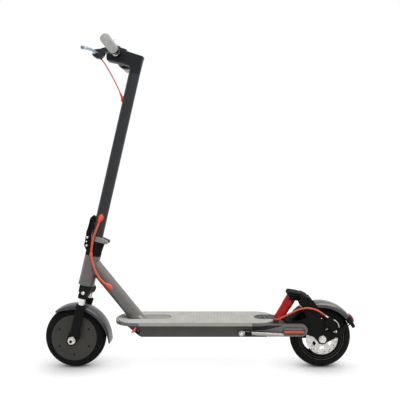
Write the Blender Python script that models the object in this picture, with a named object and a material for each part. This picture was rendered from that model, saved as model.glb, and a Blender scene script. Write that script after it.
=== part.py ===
"""Folding electric scooter with a sprung fork and a sprung rear swingarm.

Metres, +Z up, forward along -X, the rider's left along -Y.
Every place below is written in scooter coordinates: X counts rearward from the
front axle, Y from the middle plane and Z up from the ground. The root empty
moves the whole scooter so that the origin is the bottom centre of its box.
Steering coordinates (r, y, t) follow the leaning steering axis: t runs up the
axis from the height of the front axle and r runs rearward, square to it.
"""

import math

import bmesh
import bpy
from mathutils import Matrix, Vector

# Clearances: between touching pieces, between sliding ones, and past a face for a cutter
GAP = 0.0003
SLIDE_FIT = 0.0003
PAST_FACE = 0.010

# Wheels
TYRE_RADIUS = 0.108
TYRE_HALF_WIDTH = 0.025
TYRE_CORE_RADIUS = 0.086
BEAD_RADIUS = 0.0803
BEAD_HALF_WIDTH = 0.017
WHEELBASE = 0.874
WHEEL_STEPS = 36
AXLE_RADIUS = 0.006
BEARING_RADIUS = 0.016
BEARING_WIDTH = 0.010
NUT_RADIUS = 0.0115
NUT_HEIGHT = 0.009

# Front hub motor
HUB_HALF_WIDTH = TYRE_HALF_WIDTH + 0.003
HUB_WALL = 0.008
HUB_JOINT_Y = -0.024
HUB_COVER_RADIUS = BEAD_RADIUS + 0.0017
HUB_BOSS_RADIUS = 0.020
HUB_BOSS_RISE = 0.0025
HUB_COVER_CROWN = 0.0018
HUB_RELIEF_RADIUS = 0.012
HUB_RELIEF_DEPTH = 0.0012
STATOR_RADIUS = 0.060
STATOR_Y = (-0.012, 0.013)
STATOR_COLLAR_Y = -0.017

# Rear rim and brake
RIM_BED_RADIUS = BEAD_RADIUS - GAP
RIM_INNER_RADIUS = 0.066
RIM_HALF_WIDTH = 0.020
RIM_LIP = 0.003
RIM_INNER_HALF_WIDTH = 0.015
REAR_HUB_RADIUS = 0.022
REAR_HUB_HALF_WIDTH = 0.028
SPOKE_COUNT = 6
SPOKE_WIDTH = 0.014
SPOKE_HALF_THICKNESS = 0.009
DISC_RADIUS = 0.056
DISC_THICKNESS = 0.002
DISC_Y = -REAR_HUB_HALF_WIDTH - 0.0075
DISC_WINDOW_INNER = 0.025
DISC_WINDOW_OUTER = 0.040
DISC_WINDOW_ANGLES = (14, 19)
DISC_HOLE_RADIUS = 0.0022
DISC_HOLE_ROW = 0.0480
DISC_HOLES = 12
DISC_SLOT_CLEARANCE = 0.001

# Steering axis and front fork
STEER_LEAN = math.radians(12.85)
STEER_FOOT_X = -0.0057
STEERER_RADIUS = 0.015
STEERER_BORE = 0.011
HEAD_RADIUS = 0.0285
HEAD_BORE = 0.025
HEAD_BOTTOM_T = 0.188
HEAD_TOP_T = 0.296
HEAD_LIP = 0.001
HEAD_LIP_HEIGHT = 0.008
HEAD_LIP_SLOPE = 0.002
LEG_OFFSET = 0.0095
LEG_RADIUS = 0.016
LEG_FOOT_T = 0.018
LEG_COLLAR = 0.0012
LEG_COLLAR_HEIGHT = 0.011
LEG_FLOOR = 0.008
STANCHION_RADIUS = 0.0105
STANCHION_WALL = 0.0025
STANCHION_SOCKET = 0.020
FORK_TRAVEL = 0.022
FORK_CLEARANCE = 0.004
CROWN_HEIGHT = 0.0352
CROWN_GAP = 0.0008
CROWN_DEPTH = 0.030
CROWN_BOSS_RADIUS = 0.0225
CROWN_ARCH = (0.034, 0.040, 0.007)
CROWN_SHOULDER = (0.028, 0.013, 0.018, 0.010)
CROWN_ROUND = 0.003
DROPOUT_RADIUS = 0.021
DROPOUT_THICKNESS = 0.010
DROPOUT_TOP_T = LEG_FOOT_T + 0.022
STANCHION_FOOT_T = DROPOUT_TOP_T + FORK_TRAVEL + 0.0025

# Mudguards
GUARD_THICKNESS = 0.0025
GUARD_HALF_WIDTH = TYRE_HALF_WIDTH + 0.008
GUARD_SKIRT = 0.021
GUARD_CROWN_HALF_WIDTH = 0.010
GUARD_SHOULDER = (0.005, 0.003)
GUARD_EDGE_DROP = 0.009
FRONT_GUARD_RADIUS = TYRE_RADIUS + 0.012
FRONT_GUARD_FLARE = 0.010
FRONT_GUARD_ANGLES = (126.0, -9.0)
REAR_GUARD_RADIUS = TYRE_RADIUS + 0.0165
REAR_GUARD_FLARE = 0.004
REAR_GUARD_SKIRT = 0.016
REAR_GUARD_ANGLES = (148.0, 18.0)
GUARD_STEPS = 14
LEG_GUARD_GAP = 0.0048
LEG_SPREAD = GUARD_HALF_WIDTH + LEG_GUARD_GAP + LEG_RADIUS + LEG_COLLAR

# Heights along the steering axis: crown, legs, folding joint and stem
CROWN_TOP_T = HEAD_BOTTOM_T - CROWN_GAP
CROWN_BOTTOM_T = CROWN_TOP_T - CROWN_HEIGHT
CROWN_HALF_WIDTH = LEG_SPREAD + 0.016
STANCHION_TOP_T = CROWN_BOTTOM_T + STANCHION_SOCKET
LEG_TOP_T = CROWN_BOTTOM_T - FORK_TRAVEL - FORK_CLEARANCE
JOINT_GAP = 0.0005
FOLD_BASE_HEIGHT = 0.052
FOLD_BASE_TOP_T = HEAD_TOP_T + FOLD_BASE_HEIGHT
FOLD_PIN_T = FOLD_BASE_TOP_T + 0.005
LEVER_PIVOT_T = FOLD_BASE_TOP_T + 0.0075
STEM_LENGTH = 0.6145
STEM_TOP_T = FOLD_BASE_TOP_T + JOINT_GAP + STEM_LENGTH

# Folding joint and stem
FOLD_BASE_RADIUS = 0.028
FOLD_PIN_R = 0.038
FOLD_PIN_RADIUS = 0.004
FOLD_TONGUE_HALF_WIDTH = 0.0115
FOLD_TONGUE_RADIUS = 0.0065
STEM_FOOT_HALF_WIDTH = 0.0255
STEM_FOOT_HEIGHT = 0.018
STEM_FOOT_EYE_RADIUS = 0.0075
STEM_RADIUS = 0.020
STEM_WALL = 0.0025
LEVER_PIVOT_R = -0.031
LEVER_HALF_WIDTH = 0.0085
LEVER_STEM_GAP = 0.0016
LEVER_PIN_RADIUS = 0.0025
LEVER_WINDOW_DEPTH = 0.003
LEVER_FOOT_RADIUS = 0.0070
LEVER_EAR_RADIUS = 0.0075
EAR_THICKNESS = 0.005
EAR_FRONT_R = -0.0365
CLIP_HALF_HEIGHT = 0.004
CLIP_WALL = 0.0022
CLIP_LUG = (0.003, 0.0010, 0.0060)

# Side view of the latch lever: (r, height above its pivot, corner radius)
LEVER_FRONT_OUTLINE = (
    (-0.0285, 0.0825, 0.003),
    (-0.0380, 0.0685, 0.004),
    (-0.0385, 0.0365, 0.004),
    (-0.0410, 0.0165, 0.003),
)
LEVER_WINDOW_R = (-0.034, -0.027)
LEVER_WINDOW_T = (0.0305, 0.0605)
LEVER_WINDOW_CORNER = 0.002
LEVER_TIP_T = 0.0765

# Handlebar and controls: the bar lies ahead of the stem's top and above it
BAR_FORWARD = 0.0585
BAR_RISE = 0.0661
BAR_HALF_LENGTH = 0.213
BAR_RADIUS = 0.011
BAR_WALL = 0.0025
GRIP_RADIUS = 0.0165
GRIP_INNER_END = 0.095
GRIP_END_WALL = 0.002
GRIP_OUTER_END = BAR_HALF_LENGTH + GRIP_END_WALL
HEAD_BODY_HALF_WIDTH = 0.024
HEAD_FOOT_HALF_LENGTH = 0.0205
HEAD_ROUND = 0.006
SPIGOT_LENGTH = 0.035
BELL_Y = -HEAD_BODY_HALF_WIDTH - 0.026
BELL_RADIUS = 0.0165
BELL_HEIGHT = 0.026
BELL_WALL = 0.0018
BELL_CLAMP_RADIUS = 0.0145
BELL_CLAMP_HALF_WIDTH = 0.006
BELL_POST_RADIUS = 0.004
BELL_SHELF_RADIUS = 0.007
BELL_SHELF_HEIGHT = 0.005
STRIKER_HALF_THICKNESS = 0.0012
STRIKER_REACH = 0.0145
STRIKER_RISE = 0.0165
STRIKER_EYE_RADIUS = 0.0035
STRIKER_PIN_RADIUS = 0.0015
BRAKE_CLAMP = (-GRIP_INNER_END + 0.003, -GRIP_INNER_END + 0.028)
BRAKE_CLAMP_RADIUS = 0.017
BRAKE_PIVOT_FORWARD = 0.055
BRAKE_PIVOT_Y = -GRIP_INNER_END + 0.016
BRAKE_PIVOT_DROP = 0.012
BRAKE_FORK_RADIUS = 0.0095
BRAKE_FORK_HALF_HEIGHT = 0.0085
BRAKE_SLOT_HALF_HEIGHT = 0.0035
BRAKE_EYE_RADIUS = 0.0075
BRAKE_EYE_HALF_HEIGHT = 0.003
BRAKE_PIN_RADIUS = 0.0025
BRAKE_BARREL_RADIUS = 0.0042
BRAKE_BALL_RADIUS = 0.0062
THROTTLE_CLAMP = (GRIP_INNER_END - 0.031, GRIP_INNER_END - 0.0085)
THROTTLE_RADIUS = 0.021
THROTTLE_CHAMFER = 0.002
THROTTLE_RING_RADIUS = 0.017
THROTTLE_SPLIT_HALF_WIDTH = 0.0006

# Side view of the head casting above the stem: (x, z, corner radius) from the bar's axis
HEAD_OUTLINE = (
    (0.0935, -0.0070, 0.003),
    (0.0360, 0.0115, 0.010),
    (-0.0260, 0.0315, 0.008),
    (-0.0365, 0.0180, 0.004),
    (-0.0380, -0.0185, 0.004),
    (0.0380, -0.0360, 0.012),
)
PANEL_REAR_PLACE = (0.034, 0.0123)
PANEL_FRONT_PLACE = (-0.023, 0.0307)
PANEL_THICKNESS = 0.004
PANEL_HALF_WIDTH = 0.019
PANEL_BEVEL = 0.002
PANEL_LIFT = 0.0008
BUTTON_PLACE = 0.022
BUTTON_RADIUS = 0.006
BUTTON_CLEARANCE = 0.0005
BUTTON_PROUD = 0.0022
BUTTON_FOOT = 0.0020
LAMP_PLACE = (-0.0372, -0.0005)
LAMP_OUT = Vector((-1.0, 0.0, 0.04))
LAMP_RADIUS = 0.0114
LAMP_DEPTH = 0.0055

# The brake blade, the throttle's paddle and the striker's finger:
# (x, y, z from the piece's own axis), half width, half height
BLADE_STATIONS = (
    ((-0.001, -0.004, 0.0), 0.0055, 0.0026),
    ((-0.008, -0.020, 0.001), 0.0060, 0.0028),
    ((-0.014, -0.050, 0.0), 0.0055, 0.0040),
    ((-0.019, -0.085, -0.003), 0.0050, 0.0045),
    ((-0.024, -0.112, -0.007), 0.0045, 0.0045),
)
BLADE_BALL = (-0.0245, -0.115, -0.0075)
PADDLE_STATIONS = (
    ((0.010, 0.0038, -0.010), 0.0035, 0.0035),
    ((0.017, 0.0045, -0.017), 0.0035, 0.0035),
    ((0.022, 0.009, -0.021), 0.0035, 0.0060),
    ((0.026, 0.017, -0.022), 0.0035, 0.0070),
    ((0.028, 0.022, -0.022), 0.0025, 0.0050),
)
FINGER_STATIONS = (
    ((0.001, 0.0, 0.0), 0.0022, 0.0010),
    ((0.010, 0.001, 0.0), 0.0022, 0.0010),
    ((0.019, 0.001, 0.0), 0.0022, 0.0010),
)

# Deck
DECK_HALF_WIDTH = 0.0775
DECK_TOP_Z = 0.1715
DECK_THICKNESS = 0.0085
DECK_BOTTOM_Z = DECK_TOP_Z - DECK_THICKNESS
DECK_SKIN = 0.003
NOSE_FRONT_X = 0.144
NOSE_JOINT_X = NOSE_FRONT_X + 0.091
NOSE_LENGTH = 0.062
NOSE_TONGUE_X = NOSE_JOINT_X + 0.027
NOSE_TONGUE_HALF_WIDTH = 0.0275
MAT_THICKNESS = 0.0025
MAT_EDGE = 0.003
MAT_NOSE_EDGE = 0.009
MAT_SLOT_END_X = NOSE_FRONT_X + 0.198
MAT_SLOT_HALF_WIDTH = 0.0285
MAT_SLOT_LEAD = 0.046
TUB_HALF_WIDTH = 0.062
TUB_DEPTH = 0.039
TUB_BOTTOM_Z = DECK_BOTTOM_Z - TUB_DEPTH
TUB_WALL = 0.003
TUB_FRONT_X = NOSE_FRONT_X + 0.045
TUB_KEEL_X = TUB_FRONT_X + 0.047
TUB_CHIN = (0.014, 0.0115)
BASE_PLATE_THICKNESS = 0.0025
BASE_PLATE_LEAD = 0.004
CONTROLLER_LENGTH = 0.066
CONTROLLER_HALF_WIDTH = 0.032
CONTROLLER_HEIGHT = 0.026
CONTROLLER_LEAD = 0.016
BATTERY_HEIGHT = 0.028
BATTERY_LEAD = 0.012
BATTERY_TAIL = 0.0605
BATTERY_SIDE = 0.004
ELECTRICS_FLOOR = 0.003
DOWN_TUBE_RADIUS = 0.024
DOWN_TUBE_WALL = 0.003
DOWN_TUBE_DROP = 0.024
DOWN_TUBE_FOOT = (NOSE_FRONT_X + 0.0827, DECK_BOTTOM_Z)
DOWN_TUBE_BORE_START = 0.057
FLARE_RINGS = ((-0.002, 0.006), (0.003, 0.004), (0.012, 0.0005))

# The tail hangs on the rear wheel: X from the tyre's front edge
TYRE_FRONT_X = WHEELBASE - TYRE_RADIUS
GUARD_TOP_Z = TYRE_RADIUS + REAR_GUARD_RADIUS
TAIL_JOINT_X = TYRE_FRONT_X - 0.140
TAIL_END_X = TYRE_FRONT_X - 0.060
TAIL_LENGTH = 0.066
TAIL_CORNER = 0.050
TUB_REAR_X = TAIL_JOINT_X + 0.0145
BASE_PLATE_REAR_X = TAIL_JOINT_X + 0.053
CROSS_BLOCK_END_X = TAIL_END_X - 0.006
CROSS_BLOCK_WALLS = (0.008, 0.006, 0.007)

# Rear arms
SWING_PLATE_INNER = -DISC_Y + 0.004
SWING_PLATE_THICKNESS = 0.006
SWING_PLATE_OUTER = SWING_PLATE_INNER + SWING_PLATE_THICKNESS
ARM_INNER_Y = SWING_PLATE_OUTER + 0.0025
ARM_BOTTOM_Z = TUB_BOTTOM_Z - 0.0015
ARM_TOP_Z = DECK_BOTTOM_Z + 0.002
PIVOT_X = TYRE_FRONT_X + 0.036
PIVOT_Z = ARM_BOTTOM_Z + 0.0215
PIVOT_RADIUS = 0.005
PIVOT_DEPTH = 0.010
ARM_END_X = PIVOT_X + 0.017
REFLECTOR_X = (PIVOT_X - 0.073, PIVOT_X + 0.009)
REFLECTOR_Z = (PIVOT_Z - 0.0165, PIVOT_Z + 0.0115)
REFLECTOR_DEPTH = 0.002

# Side view of the swingarm. Front points count from the tyre's front edge and the
# pivot's height, top points from that edge and the mudguard's top, rear points
# from the axle
SWING_FRONT = (
    (-0.022, 0.0080),
    (-0.022, 0.0225),
    (-0.018, 0.0265),
    (0.024, 0.0275),
    (0.052, 0.0390),
)
SWING_TOP = (
    (0.045, -0.0295),
    (0.032, -0.0025),
    (0.032, 0.0110),
    (0.076, 0.0110),
    (0.093, -0.0125),
    (0.102, -0.0365),
)
SWING_REAR = (
    (-0.0025, 0.052),
    (0.005, 0.029),
    (0.027, 0.029),
    (0.052, 0.016),
    (0.043, 0.003),
    (0.019, -0.009),
)
SWING_EYE_RADIUS = 0.018
SWING_UNDER_REAR = ((-0.031, 0.008), (-0.045, 0.013))
SWING_UNDER_FRONT = ((0.040, -0.016), (0.024, -0.010), (0.016, 0.001), (0.004, 0.006))
SWING_CROSS = ((-0.020, 0.009), (-0.020, 0.0255), (0.006, 0.0255), (-0.004, 0.009))
YOKE_OUTLINE = (
    (0.0325, 0.0010),
    (0.0325, 0.0260),
    (0.0490, 0.0260),
    (0.0640, 0.0185),
    (0.0755, 0.0075),
    (0.0670, 0.0060),
    (0.0490, 0.0010),
)
PAD_OUTLINE = (
    (-0.0105, 0.0230, 0.002),
    (-0.0100, 0.0340, 0.003),
    (-0.0030, 0.0380, 0.003),
    (0.0240, 0.0340, 0.010),
    (0.0510, 0.0265, 0),
    (0.0510, 0.0115, 0),
    (0.0340, 0.0115, 0),
    (0.0260, 0.0230, 0.002),
)
PAD_HALF_WIDTH = 0.027
YOKE_EAR = ((0.0335, 0.0040), (0.0370, 0.0040), (0.0370, 0.0255), (-0.0020, 0.0255))
YOKE_EAR_RADIUS = 0.0095

# Shock and its mount on the tail
SHOCK_EYE_LOW = (TAIL_END_X + 0.010, DECK_TOP_Z - 0.0175)
SHOCK_EYE_HIGH = (TYRE_FRONT_X + 0.007, GUARD_TOP_Z + 0.0145)
SHOCK_CAN_RADIUS = 0.0155
SHOCK_CAN_CHAMFER = 0.0015
SHOCK_CAN_START = 0.019
SHOCK_CAN_END = 0.086
SHOCK_BORE_FLOOR = 0.020
SHOCK_ROD_LEAD = 0.036
SHOCK_NECK_RADIUS = 0.0068
SHOCK_ROD_RADIUS = 0.006
SHOCK_EYE_RADIUS = 0.0075
SHOCK_EYE_HALF_WIDTH = 0.011
SHOCK_EYE_PLAY = 0.0012
SHOCK_PIN_RADIUS = 0.004
SHOCK_PIN_HEAD = 0.003
CLEVIS_THICKNESS = 0.007
CLEVIS_GAP = 0.0005
SHOCK_PLATE_HALF_WIDTH = 0.027
SHOCK_PLATE_THICKNESS = 0.0035
SHOCK_PLATE_FRONT_X = TAIL_END_X - 0.068
SHOCK_PLATE_REAR_X = SHOCK_EYE_LOW[0] - 0.0045
SHOCK_EAR_RADIUS = 0.010

# Mudguard struts, from the axle: two places beside the swingarm, then two places
# on the guard as (angle, side gap to the guard's edge, depth below its radius)
STRUT_FOOT = ((0.044, 0.008), (0.060, 0.021))
STRUT_HEAD = ((27.82, -0.0015, 0.02273), (29.13, 0.0005, 0.00945))
STRUT_FOOT_GAP = 0.0017
STRUT_HALF_WIDTH = 0.0055
STRUT_HALF_THICKNESS = 0.0012
TAIL_LIGHT_ANGLES = (36.0, 23.0)
TAIL_LIGHT_RISE = (0.003, 0.006, 0.0065, 0.006, 0.003)
TAIL_LIGHT_HALF_WIDTH = 0.010
TAIL_LIGHT_FLAT_HALF_WIDTH = 0.006

# Caliper, from the rear axle: side view with corner radii, arm, cable stop
CALIPER_OUTLINE = (
    (0.012, 0.042, 0.003),
    (0.007, 0.060, 0.004),
    (0.016, 0.073, 0.004),
    (0.037, 0.070, 0.006),
    (0.054, 0.050, 0.005),
    (0.052, 0.033, 0.003),
    (0.034, 0.033, 0.003),
)
CALIPER_NEAR = DISC_Y - 0.0175
CALIPER_FAR = DISC_Y + 0.0093
CALIPER_RELIEF = (
    (-0.014, 0.027),
    (0.0005, 0.0515),
    (0.0005, 0.082),
    (-0.014, 0.122),
    (-0.034, 0.122),
    (-0.034, 0.027),
)
CALIPER_ARM_PLACE = (0.026, 0.048)
CALIPER_ARM_REACH = 0.031
CALIPER_ARM_WIDTH = 0.0045
CALIPER_ARM_THICKNESS = 0.003
CALIPER_ARM_EYE_RADIUS = 0.0065
CALIPER_PIN_RADIUS = 0.003
CABLE_STOP_PLACE = (0.014, -0.048, 0.0788)
CABLE_STOP_RADIUS = 0.0035

# Kickstand and charging port
STAND_PIVOT = (TUB_REAR_X - 0.0525, TUB_BOTTOM_Z + 0.013)
STAND_LENGTH = 0.146
STAND_TUBE_RADIUS = 0.0055
STAND_HUB_RADIUS = 0.0095
STAND_HUB_WIDTH = 0.0095
STAND_PIN_RADIUS = 0.004
STAND_BRACKET_THICKNESS = 0.006
STAND_BRACKET_OUTLINE = (
    (-0.024, 0.016),
    (-0.024, 0.022),
    (0.026, 0.022),
    (0.026, 0.016),
    (0.009, 0.010),
    (0.009, -0.011),
    (-0.010, -0.011),
    (-0.010, 0.010),
)
STAND_BRACKET_ROUND = 0.002
PORT_X = TUB_KEEL_X - 0.0055
PORT_Z = TUB_BOTTOM_Z + 0.0165
PORT_RADIUS = 0.009
CAP_RADIUS = 0.0115
CAP_THICKNESS = 0.004
CAP_HINGE_REACH = 0.0135
CAP_HINGE_STANDOFF = 0.0025
CAP_OPENING = Vector((0.8, 0, -0.6))

# Cables: radii, where they meet the tubes, and the routes' points, which count
# from the bar, from the folding joint (r, y, t), from the down tube's top and
# from the rear axle
BRAKE_CABLE_RADIUS = 0.0016
SLEEVE_RADIUS = 0.0032
REAR_SLEEVE_RADIUS = 0.0028
STEM_CABLE_TOP_T = STEM_TOP_T - 0.093
STEM_CABLE_SIDE_T = FOLD_BASE_TOP_T + 0.086
BOOT_STANDOFF = 0.007
DOWN_TUBE_BOOT = 0.110
UPPER_ROUTE = (
    (-0.0350, -0.060, -0.043),
    (-0.0240, -0.048, -0.063),
    (-0.0135, -0.034, -0.084),
    (-0.0030, -0.020, -0.107),
    (0.0060, -0.008, -0.129),
)
FOLD_ROUTE = (
    (0.0005, -0.0330, 0.064),
    (-0.0030, -0.0345, 0.037),
    (-0.0060, -0.0350, 0.010),
    (-0.0040, -0.0348, -0.018),
)
LOWER_ROUTE = (
    (0.0140, -0.0355, -0.006),
    (0.0205, -0.0360, -0.024),
    (0.0300, -0.0360, -0.042),
    (0.0420, -0.0360, -0.060),
)
REAR_ROUTE = (
    (-0.1665, -0.0330, 0.0660),
    (-0.1550, -0.0390, 0.0685),
    (-0.1390, -0.0440, 0.0760),
    (-0.1220, -0.0490, 0.0850),
    (-0.1040, -0.0505, 0.0935),
    (-0.0860, -0.0510, 0.1010),
    (-0.0680, -0.0510, 0.1055),
    (-0.0500, -0.0510, 0.1060),
    (-0.0320, -0.0510, 0.1030),
    (-0.0140, -0.0505, 0.0960),
    (0.0020, -0.0495, 0.0865),
)

# The box of the whole scooter runs from the front tyre to the rear mudguard's tip
GUARD_TIP_REACH = (REAR_GUARD_RADIUS + REAR_GUARD_FLARE) * math.cos(
    math.radians(REAR_GUARD_ANGLES[1])
)
FRONT_AXLE_X = (TYRE_RADIUS - WHEELBASE - GUARD_TIP_REACH) / 2

# Places that follow from the sizes above
STEER = Matrix.Translation((STEER_FOOT_X, 0, TYRE_RADIUS)) @ Matrix.Rotation(
    STEER_LEAN, 4, "Y"
)
ACROSS = Matrix.Rotation(math.radians(-90), 4, "X")
FRONT_AXLE = Matrix.Translation((0, 0, TYRE_RADIUS)) @ ACROSS
REAR_AXLE = Matrix.Translation((WHEELBASE, 0, TYRE_RADIUS)) @ ACROSS
REAR_CENTRE = Vector((WHEELBASE, 0, TYRE_RADIUS))
BAR = STEER @ Vector((0, 0, STEM_TOP_T)) + Vector((-BAR_FORWARD, 0, BAR_RISE))
BRAKE_PIVOT = BAR + Vector((-BRAKE_PIVOT_FORWARD, BRAKE_PIVOT_Y, -BRAKE_PIVOT_DROP))
STRIKER_PIVOT = BAR + Vector((0, BELL_Y + STRIKER_REACH, STRIKER_RISE))
DOWN_TUBE_TOP = STEER @ Vector((0, 0, HEAD_TOP_T - DOWN_TUBE_DROP))
CALIPER_ARM_PIVOT = REAR_CENTRE + Vector((CALIPER_ARM_PLACE[0], 0, CALIPER_ARM_PLACE[1]))
CABLE_STOP = REAR_CENTRE + Vector(CABLE_STOP_PLACE)

# Materials: colour, roughness and metallic value
FINISHES = {
    "frame_paint": ((0.145, 0.138, 0.125), 0.45, 0.55),
    "deck_trim": ((0.42, 0.40, 0.36), 0.50, 0.60),
    "tub_paint": ((0.065, 0.063, 0.058), 0.55, 0.30),
    "mat_rubber": ((0.52, 0.50, 0.45), 0.85, 0.0),
    "black_alloy": ((0.018, 0.018, 0.017), 0.45, 0.4),
    "stem_black": ((0.030, 0.030, 0.032), 0.42, 0.4),
    "black_plastic": ((0.022, 0.023, 0.025), 0.50, 0.0),
    "bright_steel": ((0.70, 0.70, 0.68), 0.30, 1.0),
    "alloy": ((0.45, 0.45, 0.44), 0.40, 0.9),
    "motor_paint": ((0.055, 0.054, 0.050), 0.50, 0.5),
    "tyre_rubber": ((0.012, 0.012, 0.012), 0.80, 0.0),
    "guard_plastic": ((0.11, 0.11, 0.125), 0.30, 0.0),
    "rear_guard_plastic": ((0.20, 0.20, 0.19), 0.30, 0.0),
    "grip_rubber": ((0.50, 0.50, 0.47), 0.80, 0.0),
    "orange_rubber": ((0.80, 0.12, 0.04), 0.50, 0.0),
    "shock_red": ((0.50, 0.015, 0.012), 0.35, 0.3),
    "red_lens": ((0.35, 0.01, 0.01), 0.15, 0.0),
    "window": ((0.01, 0.01, 0.012), 0.10, 0.0),
    "lamp_lens": ((0.80, 0.80, 0.78), 0.08, 0.0),
    "battery_wrap": ((0.02, 0.06, 0.20), 0.50, 0.0),
}

BODIES = {}


# Scene, bodies and materials


def clear_scene():
    """Remove every object that the file starts with."""
    for obj in list(bpy.data.objects):
        bpy.data.objects.remove(obj)


def material(name):
    """Return the named finish as a Principled material, made once."""
    found = bpy.data.materials.get(name)
    if found:
        return found
    colour, roughness, metallic = FINISHES[name]
    made = bpy.data.materials.new(name)
    made.use_nodes = True
    shader = made.node_tree.nodes["Principled BSDF"]
    shader.inputs["Base Color"].default_value = (*colour, 1.0)
    shader.inputs["Roughness"].default_value = roughness
    shader.inputs["Metallic"].default_value = metallic
    made.diffuse_color = (*colour, 1.0)
    return made


def add_body(name, place, parent=None):
    """Add the empty that carries one moving body, at its joint."""
    empty = bpy.data.objects.new(name + "_pivot", None)
    bpy.context.scene.collection.objects.link(empty)
    empty.empty_display_size = 0.03
    if parent:
        empty.parent = BODIES[parent][0]
        empty.matrix_basis = BODIES[parent][1].inverted() @ place
    else:
        empty.matrix_basis = Matrix.Translation((FRONT_AXLE_X, 0, 0)) @ place
    BODIES[name] = (empty, place)


def add_object(name, bm, body, smooth_angle=35):
    """Turn a mesh in scooter coordinates into an object of a body."""
    empty, place = BODIES[body]
    bm.normal_update()
    bmesh.ops.recalc_face_normals(bm, faces=bm.faces[:])
    bm.transform(place.inverted())
    mesh = bpy.data.meshes.new(name)
    bm.to_mesh(mesh)
    bm.free()
    mesh.shade_smooth()
    mesh.set_sharp_from_angle(angle=math.radians(smooth_angle))
    obj = bpy.data.objects.new(name, mesh)
    bpy.context.scene.collection.objects.link(obj)
    obj.parent = empty
    return obj


def piece(name, bm, finish, body, smooth_angle=35):
    """Add a sub-part with its finish."""
    obj = add_object(name, bm, body, smooth_angle)
    obj.data.materials.append(material(finish))
    return obj


def boolean(obj, operation, bm, body):
    """Join to, or cut from, a piece the shape of another mesh."""
    number = len(obj.modifiers) + 1
    tool = add_object(f"{obj.name}_{operation.lower()}_{number}", bm, body)
    tool.hide_render = True
    tool.display_type = "WIRE"
    step = obj.modifiers.new(f"{operation.lower()}_{number}", "BOOLEAN")
    step.operation = operation
    step.object = tool
    step.solver = "EXACT"


def cut(obj, bm, body):
    """Cut a shape out of a piece."""
    boolean(obj, "DIFFERENCE", bm, body)


def join(obj, bm, body):
    """Weld a shape to a piece."""
    boolean(obj, "UNION", bm, body)


def soften(obj, width, steps=2, angle=40):
    """Round the sharp edges of a piece."""
    step = obj.modifiers.new("round_edges", "BEVEL")
    step.width = width
    step.segments = steps
    step.limit_method = "ANGLE"
    step.angle_limit = math.radians(angle)
    step.use_clamp_overlap = True


# Shapes


def steer(r, y, t):
    """Return the scooter coordinates of a place in steering coordinates."""
    return STEER @ Vector((r, y, t))


def merged(*meshes):
    """Put separate closed shapes into one mesh."""
    bm = bmesh.new()
    for part in meshes:
        mesh = bpy.data.meshes.new("merge")
        part.to_mesh(mesh)
        part.free()
        bm.from_mesh(mesh)
        bpy.data.meshes.remove(mesh)
    return bm


def turned(profile, place, steps=32):
    """Spin a closed profile of (radius, height) points about an axis."""
    bm = bmesh.new()
    on_axis = profile[0][0] == 0 and profile[-1][0] == 0
    points = [bm.verts.new((radius, 0, height)) for radius, height in profile]
    pairs = list(zip(points, points[1:]))
    if not on_axis:
        pairs.append((points[-1], points[0]))
    edges = [bm.edges.new(pair) for pair in pairs]
    bmesh.ops.spin(
        bm,
        geom=points + edges,
        axis=(0, 0, 1),
        cent=(0, 0, 0),
        steps=steps,
        angle=math.tau,
    )
    bmesh.ops.remove_doubles(bm, verts=bm.verts[:], dist=1e-6)
    if on_axis:
        flat = [profile[0][1] == profile[1][1], profile[-1][1] == profile[-2][1]]
        ends = [profile[0][1], profile[-1][1]]
        middles = [
            vert
            for vert in bm.verts
            if math.hypot(vert.co.x, vert.co.y) < 1e-6
            and any(
                level and abs(vert.co.z - height) < 1e-6
                for level, height in zip(flat, ends)
            )
        ]
        bmesh.ops.dissolve_verts(bm, verts=middles)
    bm.transform(place)
    return bm


def along(start, end):
    """Return the placement whose Z axis runs from start to end, and its length."""
    start = Vector(start)
    run = Vector(end) - start
    turn = Vector((0, 0, 1)).rotation_difference(run.normalized())
    return Matrix.Translation(start) @ turn.to_matrix().to_4x4(), run.length


def rod(start, end, radius, steps=24, chamfer=0.0):
    """Return a solid round bar between two points."""
    place, length = along(start, end)
    profile = [(0, 0), (radius - chamfer, 0), (radius, chamfer)]
    profile += [(radius, length - chamfer), (radius - chamfer, length), (0, length)]
    if not chamfer:
        profile = [(0, 0), (radius, 0), (radius, length), (0, length)]
    return turned(profile, place, steps)


def pipe(start, end, outer, inner, steps=24):
    """Return a tube between two points."""
    place, length = along(start, end)
    profile = [(inner, 0), (outer, 0), (outer, length), (inner, length)]
    return turned(profile, place, steps)


def prism(outline, low, high, place=Matrix()):
    """Extrude an outline of (x, z) points from y = low to y = high."""
    bm = bmesh.new()
    face = bm.faces.new([bm.verts.new((x, low, z)) for x, z in outline])
    grown = bmesh.ops.extrude_face_region(bm, geom=[face])
    moved = [part for part in grown["geom"] if isinstance(part, bmesh.types.BMVert)]
    bmesh.ops.translate(bm, verts=moved, vec=(0, high - low, 0))
    bm.transform(place)
    return bm


def slab(outline, low, high):
    """Extrude a plan outline of (x, y) points from z = low to z = high."""
    bm = bmesh.new()
    face = bm.faces.new([bm.verts.new((x, y, low)) for x, y in outline])
    grown = bmesh.ops.extrude_face_region(bm, geom=[face])
    moved = [part for part in grown["geom"] if isinstance(part, bmesh.types.BMVert)]
    bmesh.ops.translate(bm, verts=moved, vec=(0, 0, high - low))
    return bm


def box(low, high, place=Matrix()):
    """Return a box between two corners."""
    outline = [(low[0], low[2]), (high[0], low[2]), (high[0], high[2]), (low[0], high[2])]
    return prism(outline, low[1], high[1], place)


def arc(centre, radius, start, end, steps):
    """Return points on a circle in a plane, between two angles in degrees."""
    turns = [start + (end - start) * k / steps for k in range(steps + 1)]
    return [
        (
            centre[0] + radius * math.cos(math.radians(turn)),
            centre[1] + radius * math.sin(math.radians(turn)),
        )
        for turn in turns
    ]


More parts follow.
